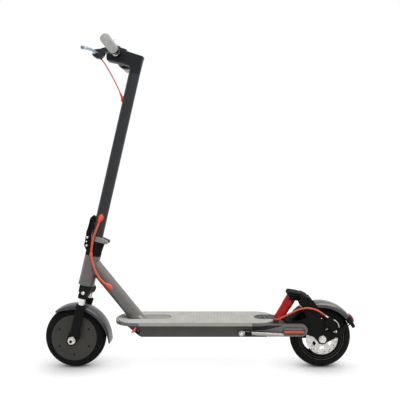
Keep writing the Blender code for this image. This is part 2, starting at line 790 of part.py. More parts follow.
def filleted(corners, steps=4):
    """Round the corners of an outline given as (a, b, radius) points."""
    outline = []
    count = len(corners)
    for k, (a, b, radius) in enumerate(corners):
        here = Vector((a, b))
        if radius == 0:
            outline.append((a, b))
            continue
        before = (Vector(corners[k - 1][:2]) - here).normalized()
        after = (Vector(corners[(k + 1) % count][:2]) - here).normalized()
        half = before.angle(after) / 2
        reach = radius / math.tan(half)
        centre = here + (before + after).normalized() * (radius / math.sin(half))
        start = here + before * reach - centre
        end = here + after * reach - centre
        sweep = start.angle_signed(end)
        for step in range(steps + 1):
            spoke = Matrix.Rotation(-sweep * step / steps, 2) @ start
            outline.append(tuple(centre + spoke))
    return outline


def lofted(sections):
    """Bridge rings of points, each with as many points, and close the ends."""
    bm = bmesh.new()
    rings = [[bm.verts.new(point) for point in ring] for ring in sections]
    for ring, following in zip(rings, rings[1:]):
        for k in range(len(ring)):
            after = (k + 1) % len(ring)
            bm.faces.new((ring[k], ring[after], following[after], following[k]))
    bm.faces.new(rings[0])
    bm.faces.new(list(reversed(rings[-1])))
    return bm


def oval_ring(centre, run, up, width, height, sides=10):
    """Return an oval ring of points about a centre, square to a run."""
    run = Vector(run).normalized()
    side = run.cross(Vector(up)).normalized()
    lift = side.cross(run)
    return [
        Vector(centre)
        + side * width * math.cos(math.tau * k / sides)
        + lift * height * math.sin(math.tau * k / sides)
        for k in range(sides)
    ]


def bent_bar(stations, up=(0, 0, 1), sides=10):
    """Loft an oval bar through (centre, half width, half height) stations."""
    centres = [Vector(station[0]) for station in stations]
    rings = []
    for k, (centre, width, height) in enumerate(stations):
        ahead = centres[min(k + 1, len(centres) - 1)]
        behind = centres[max(k - 1, 0)]
        rings.append(oval_ring(centre, ahead - behind, up, width, height, sides))
    return lofted(rings)


def smooth_route(points, spacing):
    """Read evenly spaced points from one smooth curve through a route's points."""
    knots = [Vector(point) for point in points]
    padded = [2 * knots[0] - knots[1], *knots, 2 * knots[-1] - knots[-2]]
    fine = []
    for p0, p1, p2, p3 in zip(padded, padded[1:], padded[2:], padded[3:]):
        for step in range(12):
            u = step / 12
            fine.append(
                0.5
                * (
                    2 * p1
                    + (p2 - p0) * u
                    + (2 * p0 - 5 * p1 + 4 * p2 - p3) * u**2
                    + (3 * p1 - p0 - 3 * p2 + p3) * u**3
                )
            )
    fine.append(knots[-1])
    lengths = [0.0]
    for a, b in zip(fine, fine[1:]):
        lengths.append(lengths[-1] + (b - a).length)
    count = max(4, round(lengths[-1] / spacing))
    route = []
    place = 0
    for k in range(count + 1):
        target = lengths[-1] * k / count
        while place < len(fine) - 2 and lengths[place + 1] < target:
            place += 1
        share = (target - lengths[place]) / (lengths[place + 1] - lengths[place])
        route.append(fine[place].lerp(fine[place + 1], share))
    return route


def cable(name, points, radius, finish, body):
    """Add a held cable as a round curve along a smooth route."""
    empty, place = BODIES[body]
    curve = bpy.data.curves.new(name, "CURVE")
    curve.dimensions = "3D"
    curve.bevel_depth = radius
    curve.bevel_resolution = 2
    curve.use_fill_caps = True
    curve.resolution_u = 1
    curve.render_resolution_u = 0
    route = smooth_route(points, radius * 6)
    spline = curve.splines.new("POLY")
    spline.points.add(len(route) - 1)
    for point, spot in zip(spline.points, route):
        point.co = (*(place.inverted() @ spot), 1.0)
    obj = bpy.data.objects.new(name, curve)
    bpy.context.scene.collection.objects.link(obj)
    obj.parent = empty
    curve.materials.append(material(finish))


def hex_nut(centre, outward, radius, height):
    """Return a six-sided nut standing on a face."""
    start = Vector(centre)
    return rod(start, start + Vector(outward) * height, radius, steps=6)


# Wheels


def tyre(name, axle, body):
    """Add a solid tyre with a rounded tread and tucked-in beads."""
    height = TYRE_RADIUS - TYRE_CORE_RADIUS
    profile = [(BEAD_RADIUS, -BEAD_HALF_WIDTH)]
    for turn in range(-99, 100, 33):
        angle = math.radians(turn)
        profile.append(
            (
                TYRE_CORE_RADIUS + height * math.cos(angle),
                TYRE_HALF_WIDTH * math.sin(angle),
            )
        )
    profile.append((BEAD_RADIUS, BEAD_HALF_WIDTH))
    piece(name, turned(profile, axle, WHEEL_STEPS), "tyre_rubber", body)


def wheel_bearing(name, start, axle, body):
    """Add one sealed bearing of a wheel as a ring about its axle."""
    inner = AXLE_RADIUS + SLIDE_FIT
    end = start + BEARING_WIDTH
    profile = [
        (inner, start),
        (BEARING_RADIUS, start),
        (BEARING_RADIUS, end),
        (inner, end),
    ]
    piece(name, turned(profile, axle, 20), "bright_steel", body)


def front_wheel():
    """Add the tyre, hub motor shell, its cover and bearings."""
    body = "front_wheel"
    tyre("front_tyre", FRONT_AXLE, body)
    seat = BEARING_RADIUS + GAP
    bed = BEAD_RADIUS - GAP
    inside = HUB_HALF_WIDTH - HUB_WALL
    boss = HUB_BOSS_RADIUS
    boss_face = HUB_HALF_WIDTH + HUB_BOSS_RISE
    relief = boss_face - HUB_RELIEF_DEPTH
    shell = [
        (bed, HUB_JOINT_Y),
        (bed, HUB_HALF_WIDTH - 0.002),
        (bed - 0.014, HUB_HALF_WIDTH),
        (boss + 0.002, HUB_HALF_WIDTH),
        (boss, boss_face),
        (HUB_RELIEF_RADIUS, boss_face),
        (HUB_RELIEF_RADIUS, relief),
        (seat, relief),
        (seat, inside - 0.002),
        (boss + 0.002, inside),
        (bed - HUB_WALL, inside),
        (bed - HUB_WALL, HUB_JOINT_Y),
    ]
    piece("hub_shell", turned(shell, FRONT_AXLE, WHEEL_STEPS), "motor_paint", body)
    face = -HUB_HALF_WIDTH
    boss_face = face - HUB_BOSS_RISE - 0.001
    relief = boss_face + HUB_RELIEF_DEPTH
    cover = [
        (HUB_COVER_RADIUS, face + 0.0025),
        (HUB_COVER_RADIUS, face + 0.0008),
        (HUB_COVER_RADIUS - 0.003, face - 0.0006),
        (HUB_COVER_RADIUS - 0.012, face - 0.0006),
        (boss + 0.002, face - HUB_COVER_CROWN),
        (boss, boss_face),
        (HUB_RELIEF_RADIUS, boss_face),
        (HUB_RELIEF_RADIUS, relief),
        (seat, relief),
        (seat, face + 0.009),
        (boss + 0.002, HUB_JOINT_Y - GAP),
        (bed - 0.0005, HUB_JOINT_Y - GAP),
        (bed - 0.0005, face + 0.0025),
    ]
    piece("hub_cover", turned(cover, FRONT_AXLE, WHEEL_STEPS), "motor_paint", body)
    wheel_bearing("front_bearing_left", relief + GAP, FRONT_AXLE, body)
    right_start = HUB_HALF_WIDTH + HUB_BOSS_RISE - HUB_RELIEF_DEPTH - GAP - BEARING_WIDTH
    wheel_bearing("front_bearing_right", right_start, FRONT_AXLE, body)


def rear_rim(body):
    """Add the cast rim: a deep ring, a hub and spokes between them."""
    ring = [
        (RIM_INNER_RADIUS, -RIM_INNER_HALF_WIDTH),
        (RIM_BED_RADIUS - RIM_LIP, -RIM_HALF_WIDTH),
        (RIM_BED_RADIUS, -RIM_HALF_WIDTH),
        (RIM_BED_RADIUS, RIM_HALF_WIDTH),
        (RIM_BED_RADIUS - RIM_LIP, RIM_HALF_WIDTH),
        (RIM_INNER_RADIUS, RIM_INNER_HALF_WIDTH),
    ]
    rim = piece("rear_rim", turned(ring, REAR_AXLE, WHEEL_STEPS), "black_alloy", body)
    seat = BEARING_RADIUS + GAP
    end = REAR_HUB_HALF_WIDTH
    disc_side = -DISC_Y - DISC_THICKNESS / 2 - GAP
    hub = [
        (seat, -disc_side),
        (REAR_HUB_RADIUS, -disc_side),
        (REAR_HUB_RADIUS, end),
        (seat, end),
        (seat, end - BEARING_WIDTH - 0.001),
        (HUB_RELIEF_RADIUS, end - BEARING_WIDTH - 0.001),
        (HUB_RELIEF_RADIUS, -end + BEARING_WIDTH + 0.001),
        (seat, -end + BEARING_WIDTH + 0.001),
    ]
    join(rim, turned(hub, REAR_AXLE, 20), body)
    for k in range(SPOKE_COUNT):
        turn = Matrix.Rotation(math.tau * k / SPOKE_COUNT, 4, "Z")
        spoke = box(
            (HUB_RELIEF_RADIUS + 0.006, -SPOKE_WIDTH / 2, -SPOKE_HALF_THICKNESS),
            (RIM_INNER_RADIUS + 0.004, SPOKE_WIDTH / 2, SPOKE_HALF_THICKNESS),
            REAR_AXLE @ turn,
        )
        join(rim, spoke, body)


def brake_disc(body):
    """Add the drilled disc with its windows between six arms."""
    half = DISC_THICKNESS / 2
    place = REAR_AXLE @ Matrix.Translation((0, 0, DISC_Y))
    ring = [
        (HUB_RELIEF_RADIUS, -half),
        (DISC_RADIUS, -half),
        (DISC_RADIUS, half),
        (HUB_RELIEF_RADIUS, half),
    ]
    disc = piece("brake_disc", turned(ring, place, WHEEL_STEPS), "bright_steel", body)
    reach = 2 * DISC_THICKNESS
    upright = place @ Matrix.Rotation(math.radians(90), 4, "X")
    windows = []
    low, high = DISC_WINDOW_ANGLES
    for k in range(SPOKE_COUNT):
        middle = 360 * (k + 0.5) / SPOKE_COUNT
        outline = arc((0, 0), DISC_WINDOW_OUTER, middle - high, middle + high, 3)
        outline += arc((0, 0), DISC_WINDOW_INNER, middle + low, middle - low, 1)
        windows.append(prism(outline, -reach, reach, upright))
    cut(disc, merged(*windows), body)
    holes = []
    for k in range(DISC_HOLES):
        angle = math.tau * (k + 0.25) / DISC_HOLES
        spot = Vector((math.cos(angle), math.sin(angle), 0)) * DISC_HOLE_ROW
        low = place @ (spot - Vector((0, 0, reach)))
        high = place @ (spot + Vector((0, 0, reach)))
        holes.append(rod(low, high, DISC_HOLE_RADIUS, steps=6))
    cut(disc, merged(*holes), body)


def rear_bearings(body):
    """Add the two rear bearings on the spacer sleeve between them."""
    inner = AXLE_RADIUS + SLIDE_FIT
    end = REAR_HUB_HALF_WIDTH
    shoulder = end - BEARING_WIDTH
    sleeve = HUB_RELIEF_RADIUS - 0.003
    profile = [
        (inner, -end),
        (BEARING_RADIUS, -end),
        (BEARING_RADIUS, -shoulder),
        (sleeve, -shoulder),
        (sleeve, shoulder),
        (BEARING_RADIUS, shoulder),
        (BEARING_RADIUS, end),
        (inner, end),
    ]
    piece("rear_bearings", turned(profile, REAR_AXLE, 20), "bright_steel", body)


def rear_wheel():
    """Add the rear tyre, rim, brake disc and bearings."""
    body = "rear_wheel"
    tyre("rear_tyre", REAR_AXLE, body)
    rear_rim(body)
    brake_disc(body)
    rear_bearings(body)


# Mudguards


def mudguard(axle, angles, radius, flare, skirt):
    """Return an arched guard that follows a wheel and flares at its rear end."""
    start, end = (math.radians(angle) for angle in angles)
    rings = []
    for k in range(GUARD_STEPS + 1):
        share = k / GUARD_STEPS
        angle = start + (end - start) * share
        top = radius + flare * share**2
        edge = GUARD_HALF_WIDTH
        shoulder, drop = GUARD_SHOULDER
        outer = [
            (-edge, top - skirt),
            (-edge, top - GUARD_EDGE_DROP),
            (-edge + shoulder, top - drop),
            (-GUARD_CROWN_HALF_WIDTH, top),
            (GUARD_CROWN_HALF_WIDTH, top),
            (edge - shoulder, top - drop),
            (edge, top - GUARD_EDGE_DROP),
            (edge, top - skirt),
        ]
        wall = GUARD_THICKNESS
        inner = [
            (edge - wall, top - skirt),
            (edge - wall, top - GUARD_EDGE_DROP - wall / 2),
            (edge - shoulder - 0.001, top - drop - wall),
            (-edge + shoulder + 0.001, top - drop - wall),
            (-edge + wall, top - GUARD_EDGE_DROP - wall / 2),
            (-edge + wall, top - skirt),
        ]
        direction = Vector((math.cos(angle), 0, math.sin(angle)))
        centre = axle.translation
        rings.append(
            [centre + direction * reach + Vector((0, y, 0)) for y, reach in outer + inner]
        )
    return lofted(rings)


# Fork


def fork_crown():
    """Add the crown with its hollow steerer tube."""
    body = "steering"
    back = LEG_OFFSET + CROWN_DEPTH / 2
    front = LEG_OFFSET - CROWN_DEPTH / 2
    end = CROWN_HALF_WIDTH
    arch_inner, arch_outer, arch_rise = CROWN_ARCH
    flat, slope, side_height, shoulder_drop = CROWN_SHOULDER
    half_view = [
        (arch_inner, CROWN_BOTTOM_T + arch_rise),
        (arch_outer, CROWN_BOTTOM_T),
        (end, CROWN_BOTTOM_T),
        (end, CROWN_BOTTOM_T + side_height),
        (end - slope, CROWN_TOP_T - shoulder_drop),
        (flat, CROWN_TOP_T - 0.001),
    ]
    front_view = half_view + [(-y, t) for y, t in reversed(half_view)]
    turn = Matrix.Rotation(math.radians(90), 4, "Z")
    place = STEER @ turn
    shape = prism(front_view, -back, -front, place)
    crown = piece("fork_crown", shape, "black_alloy", body)
    soften(crown, CROWN_ROUND, 1, 40)
    boss_foot = steer(0, 0, CROWN_BOTTOM_T + arch_rise + 0.0005)
    boss = rod(boss_foot, steer(0, 0, CROWN_TOP_T), CROWN_BOSS_RADIUS, 24)
    join(crown, boss, body)
    steerer = rod(
        steer(0, 0, CROWN_BOTTOM_T + arch_rise + 0.003),
        steer(0, 0, FOLD_BASE_TOP_T - 0.006),
        STEERER_RADIUS,
        24,
    )
    join(crown, steerer, body)
    below = CROWN_BOTTOM_T - PAST_FACE
    bore = rod(steer(0, 0, below), steer(0, 0, FOLD_BASE_TOP_T), STEERER_BORE, 16)
    cut(crown, bore, body)
    sockets = [
        rod(
            steer(LEG_OFFSET, side * LEG_SPREAD, below),
            steer(LEG_OFFSET, side * LEG_SPREAD, STANCHION_TOP_T + GAP),
            STANCHION_RADIUS + GAP,
            20,
        )
        for side in (-1, 1)
    ]
    cut(crown, merged(*sockets), body)


def stanchion(name, side):
    """Add one bright inner fork tube."""
    tube = pipe(
        steer(LEG_OFFSET, side * LEG_SPREAD, STANCHION_FOOT_T),
        steer(LEG_OFFSET, side * LEG_SPREAD, STANCHION_TOP_T),
        STANCHION_RADIUS,
        STANCHION_RADIUS - STANCHION_WALL,
        20,
    )
    piece(name, tube, "bright_steel", "steering")


def fork_leg(name, side):
    """Add one lower leg with its dropout plate."""
    body = "fork_lowers"
    length = LEG_TOP_T - LEG_FOOT_T
    bore = STANCHION_RADIUS + SLIDE_FIT
    profile = [
        (0, 0),
        (LEG_RADIUS - 0.003, 0),
        (LEG_RADIUS, 0.003),
        (LEG_RADIUS, length - LEG_COLLAR_HEIGHT - 0.001),
        (LEG_RADIUS + LEG_COLLAR, length - LEG_COLLAR_HEIGHT),
        (LEG_RADIUS + LEG_COLLAR, length),
        (bore, length),
        (bore, LEG_FLOOR),
        (0, LEG_FLOOR),
    ]
    foot = steer(LEG_OFFSET, side * LEG_SPREAD, LEG_FOOT_T)
    place, _ = along(foot, steer(LEG_OFFSET, side * LEG_SPREAD, LEG_TOP_T))
    leg = piece(name, turned(profile, place, 20), "black_alloy", body)
    foot_r = -STEER_FOOT_X * math.cos(STEER_LEAN)
    outline = arc((foot_r, 0.0), DROPOUT_RADIUS - 0.004, 190, 340, 8)
    outline += [
        (LEG_OFFSET + DROPOUT_RADIUS, 0.012),
        (LEG_OFFSET + DROPOUT_RADIUS - 0.001, 0.024),
        (LEG_OFFSET + LEG_RADIUS - 0.002, DROPOUT_TOP_T),
        (LEG_OFFSET - LEG_RADIUS + 0.002, DROPOUT_TOP_T),
        (LEG_OFFSET - DROPOUT_RADIUS + 0.001, 0.020),
    ]
    inner = side * LEG_SPREAD - DROPOUT_THICKNESS / 2
    join(leg, prism(outline, inner, inner + DROPOUT_THICKNESS, STEER), body)
    low = Vector((0, inner - PAST_FACE, TYRE_RADIUS))
    high = Vector((0, inner + DROPOUT_THICKNESS + PAST_FACE, TYRE_RADIUS))
    cut(leg, rod(low, high, AXLE_RADIUS + GAP, 20), body)


def front_guard():
    """Add the front mudguard."""
    shell = mudguard(
        FRONT_AXLE,
        FRONT_GUARD_ANGLES,
        FRONT_GUARD_RADIUS,
        FRONT_GUARD_FLARE,
        GUARD_SKIRT,
    )
    piece("front_mudguard", shell, "guard_plastic", "fork_lowers")


def front_axle():
    """Add the fixed axle with its nuts, and the motor's stator on it."""
    body = "fork_lowers"
    face = LEG_SPREAD + DROPOUT_THICKNESS / 2 + GAP
    end = face + NUT_HEIGHT + 0.003
    centre = Vector((0, 0, TYRE_RADIUS))
    shaft = rod(
        centre - Vector((0, end, 0)), centre + Vector((0, end, 0)), AXLE_RADIUS, 20
    )
    axle = piece("front_axle", shaft, "bright_steel", body)
    for side in (-1, 1):
        start = centre + Vector((0, side * face, 0))
        join(axle, hex_nut(start, (0, side, 0), NUT_RADIUS, NUT_HEIGHT), body)
    bore = AXLE_RADIUS + GAP
    low, high = STATOR_Y
    stator = [
        (bore, STATOR_COLLAR_Y),
        (HUB_BOSS_RADIUS - 0.004, STATOR_COLLAR_Y),
        (HUB_BOSS_RADIUS, low),
        (STATOR_RADIUS, low),
        (STATOR_RADIUS, high),
        (bore, high),
    ]
    piece("motor_stator", turned(stator, FRONT_AXLE, 20), "alloy", body)


# Folding joint


def fold_base():
    """Add the collar on the steerer with its hinge tongue and lever ears."""
    body = "steering"
    base_t = HEAD_TOP_T + JOINT_GAP
    collar = rod(
        steer(0, 0, base_t), steer(0, 0, FOLD_BASE_TOP_T), FOLD_BASE_RADIUS, 28
    )
    base = piece("fold_base", collar, "black_alloy", body)
    half = FOLD_TONGUE_HALF_WIDTH
    inside = FOLD_BASE_RADIUS - 0.018
    tongue = [(inside, base_t + 0.012), (FOLD_BASE_RADIUS - 0.002, base_t + 0.016)]
    tongue += [(FOLD_PIN_R - 0.008, FOLD_PIN_T - 0.011)]
    tongue += arc((FOLD_PIN_R, FOLD_PIN_T), FOLD_TONGUE_RADIUS, -50, 135, 6)
    tongue += [(FOLD_PIN_R - 0.010, FOLD_BASE_TOP_T), (inside, FOLD_BASE_TOP_T)]
    join(base, prism(tongue, -half, half, STEER), body)
    block_top = LEVER_PIVOT_T - 0.012
    block = filleted(
        [
            (-inside, base_t + 0.010, 0),
            (-FOLD_BASE_RADIUS + 0.002, base_t + 0.014, 0.003),
            (EAR_FRONT_R - 0.001, base_t + 0.030, 0.004),
            (EAR_FRONT_R, block_top, 0.002),
            (-inside, block_top, 0),
        ],
        3,
    )
    ear_outer = LEVER_HALF_WIDTH + GAP + EAR_THICKNESS
    join(base, prism(block, -ear_outer, ear_outer, STEER), body)
    for side in (-1, 1):
        low, high = sorted((side * (LEVER_HALF_WIDTH + GAP), side * ear_outer))
        ear = [(EAR_FRONT_R, block_top - 0.004)]
        ear += [(-FOLD_BASE_RADIUS + 0.004, block_top - 0.004)]
        ear += arc((LEVER_PIVOT_R, LEVER_PIVOT_T), LEVER_EAR_RADIUS, -10, 190, 7)
        join(base, prism(ear, low, high, STEER), body)
    socket = rod(
        steer(0, 0, base_t - PAST_FACE),
        steer(0, 0, FOLD_BASE_TOP_T - 0.005),
        STEERER_RADIUS + GAP + 0.0001,
        24,
    )
    cut(base, socket, body)
    reach = FOLD_BASE_RADIUS + PAST_FACE
    pin_hole = rod(
        steer(FOLD_PIN_R, -reach, FOLD_PIN_T),
        steer(FOLD_PIN_R, reach, FOLD_PIN_T),
        FOLD_PIN_RADIUS + GAP,
        16,
    )
    lever_hole = rod(
        steer(LEVER_PIVOT_R, -reach, LEVER_PIVOT_T),
        steer(LEVER_PIVOT_R, reach, LEVER_PIVOT_T),
        LEVER_PIN_RADIUS + GAP,
        16,
    )
    cut(base, merged(pin_hole, lever_hole), body)
    clip = clip_point()
    ring = pipe(
        clip + Vector((0, 0, -CLIP_HALF_HEIGHT)),
        clip + Vector((0, 0, CLIP_HALF_HEIGHT)),
        SLEEVE_RADIUS + CLIP_WALL,
        SLEEVE_RADIUS + GAP,
        16,
    )
    half, start, end = CLIP_LUG
    near = clip.y + SLEEVE_RADIUS
    lug = box(
        (clip.x - half, near + start, clip.z - half),
        (clip.x + half, near + end, clip.z + half),
    )
    join(base, lug, body)
    join(base, ring, body)


def fold_pin():
    """Add the hinge pin of the folding joint."""
    end = STEM_FOOT_HALF_WIDTH + 0.001
    pin = rod(
        steer(FOLD_PIN_R, -end, FOLD_PIN_T),
        steer(FOLD_PIN_R, end, FOLD_PIN_T),
        FOLD_PIN_RADIUS,
        16,
    )
    piece("fold_pin", pin, "bright_steel", "steering")


def fold_lever():
    """Add the latch lever that stands in front of the stem."""
    body = "fold_lever"
    inner = -STEM_RADIUS - LEVER_STEM_GAP
    foot = arc((LEVER_PIVOT_R, LEVER_PIVOT_T), LEVER_FOOT_RADIUS, 200, 330, 5)
    outline = filleted(
        [(r, t, 0) for r, t in foot]
        + [
            (inner - 0.001, LEVER_PIVOT_T + 0.006, 0.002),
            (inner, LEVER_PIVOT_T + LEVER_TIP_T, 0.003),
        ]
        + [(r, LEVER_PIVOT_T + t, corner) for r, t, corner in LEVER_FRONT_OUTLINE],
        3,
    )
    half = LEVER_HALF_WIDTH
    lever = piece("fold_lever", prism(outline, -half, half, STEER), "black_alloy", body)
    front, rear = LEVER_WINDOW_R
    low, high = (LEVER_PIVOT_T + t for t in LEVER_WINDOW_T)
    corners = ((front, low), (rear, low), (rear, high), (front, high))
    window = filleted([(r, t, LEVER_WINDOW_CORNER) for r, t in corners], 2)
    floor = half - LEVER_WINDOW_DEPTH
    cut(lever, prism(window, floor, half + PAST_FACE, STEER), body)
    cut(lever, prism(window, -half - PAST_FACE, -floor, STEER), body)
    end = half + GAP + EAR_THICKNESS + 0.0015
    pin = rod(
        steer(LEVER_PIVOT_R, -end, LEVER_PIVOT_T),
        steer(LEVER_PIVOT_R, end, LEVER_PIVOT_T),
        LEVER_PIN_RADIUS,
        16,
    )
    join(lever, pin, body)


def stem_foot():
    """Add the bright hinge yoke that grips the stem and carries the pin."""
    body = "stem"
    bottom = FOLD_BASE_TOP_T + JOINT_GAP
    top = bottom + STEM_FOOT_HEIGHT
    half = STEM_FOOT_HALF_WIDTH
    outline = [(-0.002, bottom), (FOLD_PIN_R - 0.008, bottom)]
    outline += arc((FOLD_PIN_R, FOLD_PIN_T), STEM_FOOT_EYE_RADIUS, -45, 60, 5)
    outline += [(FOLD_PIN_R - 0.016, top - 0.003), (FOLD_PIN_R - 0.027, top)]
    outline += [(-0.002, top)]
    foot = piece("stem_foot", prism(outline, -half, half, STEER), "alloy", body)
    tube_low = steer(0, 0, bottom - PAST_FACE)
    tube_high = steer(0, 0, top + PAST_FACE)
    cut(foot, rod(tube_low, tube_high, STEM_RADIUS + GAP, 28), body)
    slot_half = FOLD_TONGUE_HALF_WIDTH + GAP
    slot = box(
        (FOLD_PIN_R - 0.0155, -slot_half, bottom - PAST_FACE),
        (FOLD_PIN_R + 0.018, slot_half, top + PAST_FACE),
        STEER,
    )
    cut(foot, slot, body)
    reach = half + PAST_FACE
    hole = rod(
        steer(FOLD_PIN_R, -reach, FOLD_PIN_T),
        steer(FOLD_PIN_R, reach, FOLD_PIN_T),
        FOLD_PIN_RADIUS + GAP,
        16,
    )
    cut(foot, hole, body)


# Stem, handlebar and controls


def stem_tube():
    """Add the hollow stem."""
    start = steer(0, 0, FOLD_BASE_TOP_T + JOINT_GAP)
    tube = pipe(
        start, steer(0, 0, STEM_TOP_T), STEM_RADIUS, STEM_RADIUS - STEM_WALL, 28
    )
    piece("stem_tube", tube, "stem_black", "stem")


def stem_head():
    """Add the head casting that bends forward to the handlebar."""
    body = "stem"
    half = HEAD_BODY_HALF_WIDTH
    bottom = STEM_TOP_T + GAP
    rear = steer(HEAD_FOOT_HALF_LENGTH, 0, bottom)
    front = steer(-HEAD_FOOT_HALF_LENGTH, 0, bottom)
    outline = filleted(
        [(rear.x, rear.z, 0)]
        + [(BAR.x + x, BAR.z + z, corner) for x, z, corner in HEAD_OUTLINE]
        + [(front.x, front.z, 0)],
        3,
    )
    head = piece("stem_head", prism(outline, -half, half), "stem_black", body)
    soften(head, HEAD_ROUND, 1, 60)
    spigot = rod(
        steer(0, 0, STEM_TOP_T - SPIGOT_LENGTH),
        steer(0, 0, STEM_TOP_T + 0.012),
        STEM_RADIUS - STEM_WALL - GAP,
        28,
    )
    join(head, spigot, body)
    reach = half + PAST_FACE
    cut(head, rod(bar_at(-reach), bar_at(reach), BAR_RADIUS + GAP, 24), body)
    socket = LAMP_RADIUS + 0.0004
    floor = -LAMP_DEPTH - 0.0005
    lamp_socket = [(0, floor), (socket, floor), (socket, 0.02), (0, 0.02)]
    cut(head, turned(lamp_socket, lamp_frame(), 24), body)
    low, high = button_line(-BUTTON_FOOT - 0.0025, 0.02)
    cut(head, rod(low, high, BUTTON_RADIUS + BUTTON_CLEARANCE, 16), body)


def bar_at(y):
    """Return the point on the handlebar's axis at a distance from the middle."""
    return BAR + Vector((0, y, 0))


def lamp_frame():
    """Return the place of the headlight, with Z out along its beam."""
    centre = BAR + Vector((LAMP_PLACE[0], 0, LAMP_PLACE[1]))
    return along(centre, centre + LAMP_OUT)[0]


def panel_place(place):
    """Return a place on the panel's foot, given as (x, z) from the bar."""
    return BAR + Vector((place[0], 0, place[1]))


def panel_up():
    """Return the unit vector square to the display panel."""
    run = panel_place(PANEL_FRONT_PLACE) - panel_place(PANEL_REAR_PLACE)
    run.normalize()
    return Vector((run.z, 0, -run.x))


def button_line(low, high):
    """Return two points on the button's axis, measured up from the panel's foot."""
    rear = panel_place(PANEL_REAR_PLACE)
    front = panel_place(PANEL_FRONT_PLACE)
    foot = rear.lerp(front, (PANEL_REAR_PLACE[0] - BUTTON_PLACE) / (rear.x - front.x))
    up = panel_up()
    return foot + up * low, foot + up * high


def display_and_lamp():
    """Add the display window, the power button and the headlight lens."""
    up = panel_up()
    rear = panel_place(PANEL_REAR_PLACE) + up * PANEL_LIFT
    front = panel_place(PANEL_FRONT_PLACE) + up * PANEL_LIFT
    run = (front - rear).normalized() * PANEL_BEVEL
    top = up * PANEL_THICKNESS
    corners = [rear, front, front + top - run, rear + top + run]
    outline = [(corner.x, corner.z) for corner in corners]
    shape = prism(outline, -PANEL_HALF_WIDTH, PANEL_HALF_WIDTH)
    panel = piece("display_window", shape, "window", "stem")
    low, high = button_line(-PAST_FACE, 0.02)
    cut(panel, rod(low, high, BUTTON_RADIUS + BUTTON_CLEARANCE, 16), "stem")
    low, high = button_line(-BUTTON_FOOT, PANEL_THICKNESS + BUTTON_PROUD)
    button = rod(low, high, BUTTON_RADIUS, 16, 0.0006)
    piece("power_button", button, "alloy", "power_button")
    lens = [
        (0, -LAMP_DEPTH),
        (LAMP_RADIUS, -LAMP_DEPTH),
        (LAMP_RADIUS, 0.0008),
        (LAMP_RADIUS - 0.0034, 0.0026),
        (0, 0.0032),
    ]
    piece("headlight", turned(lens, lamp_frame(), 24), "lamp_lens", "stem")


def handlebar():
    """Add the bar tube and its two grips."""
    body = "stem"
    ends = (bar_at(-BAR_HALF_LENGTH), bar_at(BAR_HALF_LENGTH))
    tube = pipe(*ends, BAR_RADIUS, BAR_RADIUS - BAR_WALL)
    piece("handlebar", tube, "black_alloy", body)
    grip("grip_left", -1)
    grip("grip_right", 1)


def grip(name, side):
    """Add one rubber grip, closed over the end of the bar."""
    place, length = along(bar_at(side * GRIP_INNER_END), bar_at(side * GRIP_OUTER_END))
    closed = length - GRIP_END_WALL + GAP
    profile = [
        (0, closed),
        (BAR_RADIUS + GAP, closed),
        (BAR_RADIUS + GAP, 0),
        (GRIP_RADIUS, 0),
        (GRIP_RADIUS, length - 0.002),
        (GRIP_RADIUS - 0.002, length),
        (0, length),
    ]
    piece(name, turned(profile, place, 24), "grip_rubber", "stem")


def brake_bracket():
    """Add the clamp and forked arm that carries the brake lever."""
    body = "stem"
    low, high = BRAKE_CLAMP
    clamp = pipe(bar_at(low), bar_at(high), BRAKE_CLAMP_RADIUS, BAR_RADIUS + GAP, 24)
    bracket = piece("brake_bracket", clamp, "black_plastic", body)
    px, py, pz = BRAKE_PIVOT
    root = BAR.x - BAR_RADIUS - 0.002
    outline = [(root, low + 0.003), (root, high - 0.003)]
    outline += arc((px, py), BRAKE_FORK_RADIUS, 80, 280, 7)
    half = BRAKE_FORK_HALF_HEIGHT
    join(bracket, slab(outline, pz - half, pz + half), body)
    barrel = rod(cable_barrel(-0.002), cable_barrel(-0.017), BRAKE_BARREL_RADIUS, 12)
    join(bracket, barrel, body)
    half = BRAKE_SLOT_HALF_HEIGHT
    slot = box(
        (px - 0.03, py - 0.05, pz - half),
        (px + BRAKE_FORK_RADIUS, py + 0.05, pz + half),
    )
    cut(bracket, slot, body)
    reach = Vector((0, 0, 2 * PAST_FACE))
    pin_hole = rod(BRAKE_PIVOT - reach, BRAKE_PIVOT + reach, BRAKE_PIN_RADIUS + GAP, 12)
    cut(bracket, pin_hole, body)


def cable_barrel(drop):
    """Return a point on the axis of the bracket's cable barrel, below the pivot."""
    x = BRAKE_PIVOT.x + 0.0155 + drop * 0.25
    return Vector((x, sum(BRAKE_CLAMP) / 2 + 0.006, BRAKE_PIVOT.z + drop))


def brake_lever():
    """Add the brake blade with its round eye and ball end."""
    body = "brake_lever"
    half = Vector((0, 0, BRAKE_EYE_HALF_HEIGHT))
    eye = rod(BRAKE_PIVOT - half, BRAKE_PIVOT + half, BRAKE_EYE_RADIUS, 20)
    lever = piece("brake_lever", eye, "alloy", body)
    join(lever, bent_bar(stations_at(BRAKE_PIVOT, BLADE_STATIONS), sides=8), body)
    turns = [math.pi * k / 6 for k in range(1, 6)]
    ball = [(0, -BRAKE_BALL_RADIUS)]
    ball += [
        (BRAKE_BALL_RADIUS * math.sin(turn), -BRAKE_BALL_RADIUS * math.cos(turn))
        for turn in turns
    ]
    ball += [(0, BRAKE_BALL_RADIUS)]
    place = Matrix.Translation(BRAKE_PIVOT + Vector(BLADE_BALL))
    join(lever, turned(ball, place, 10), body)
    half = Vector((0, 0, BRAKE_FORK_HALF_HEIGHT + 0.001))
    join(lever, rod(BRAKE_PIVOT - half, BRAKE_PIVOT + half, BRAKE_PIN_RADIUS, 12), body)


def stations_at(centre, stations):
    """Move the stations of a bent bar to a centre."""
    return [(centre + Vector(spot), width, height) for spot, width, height in stations]


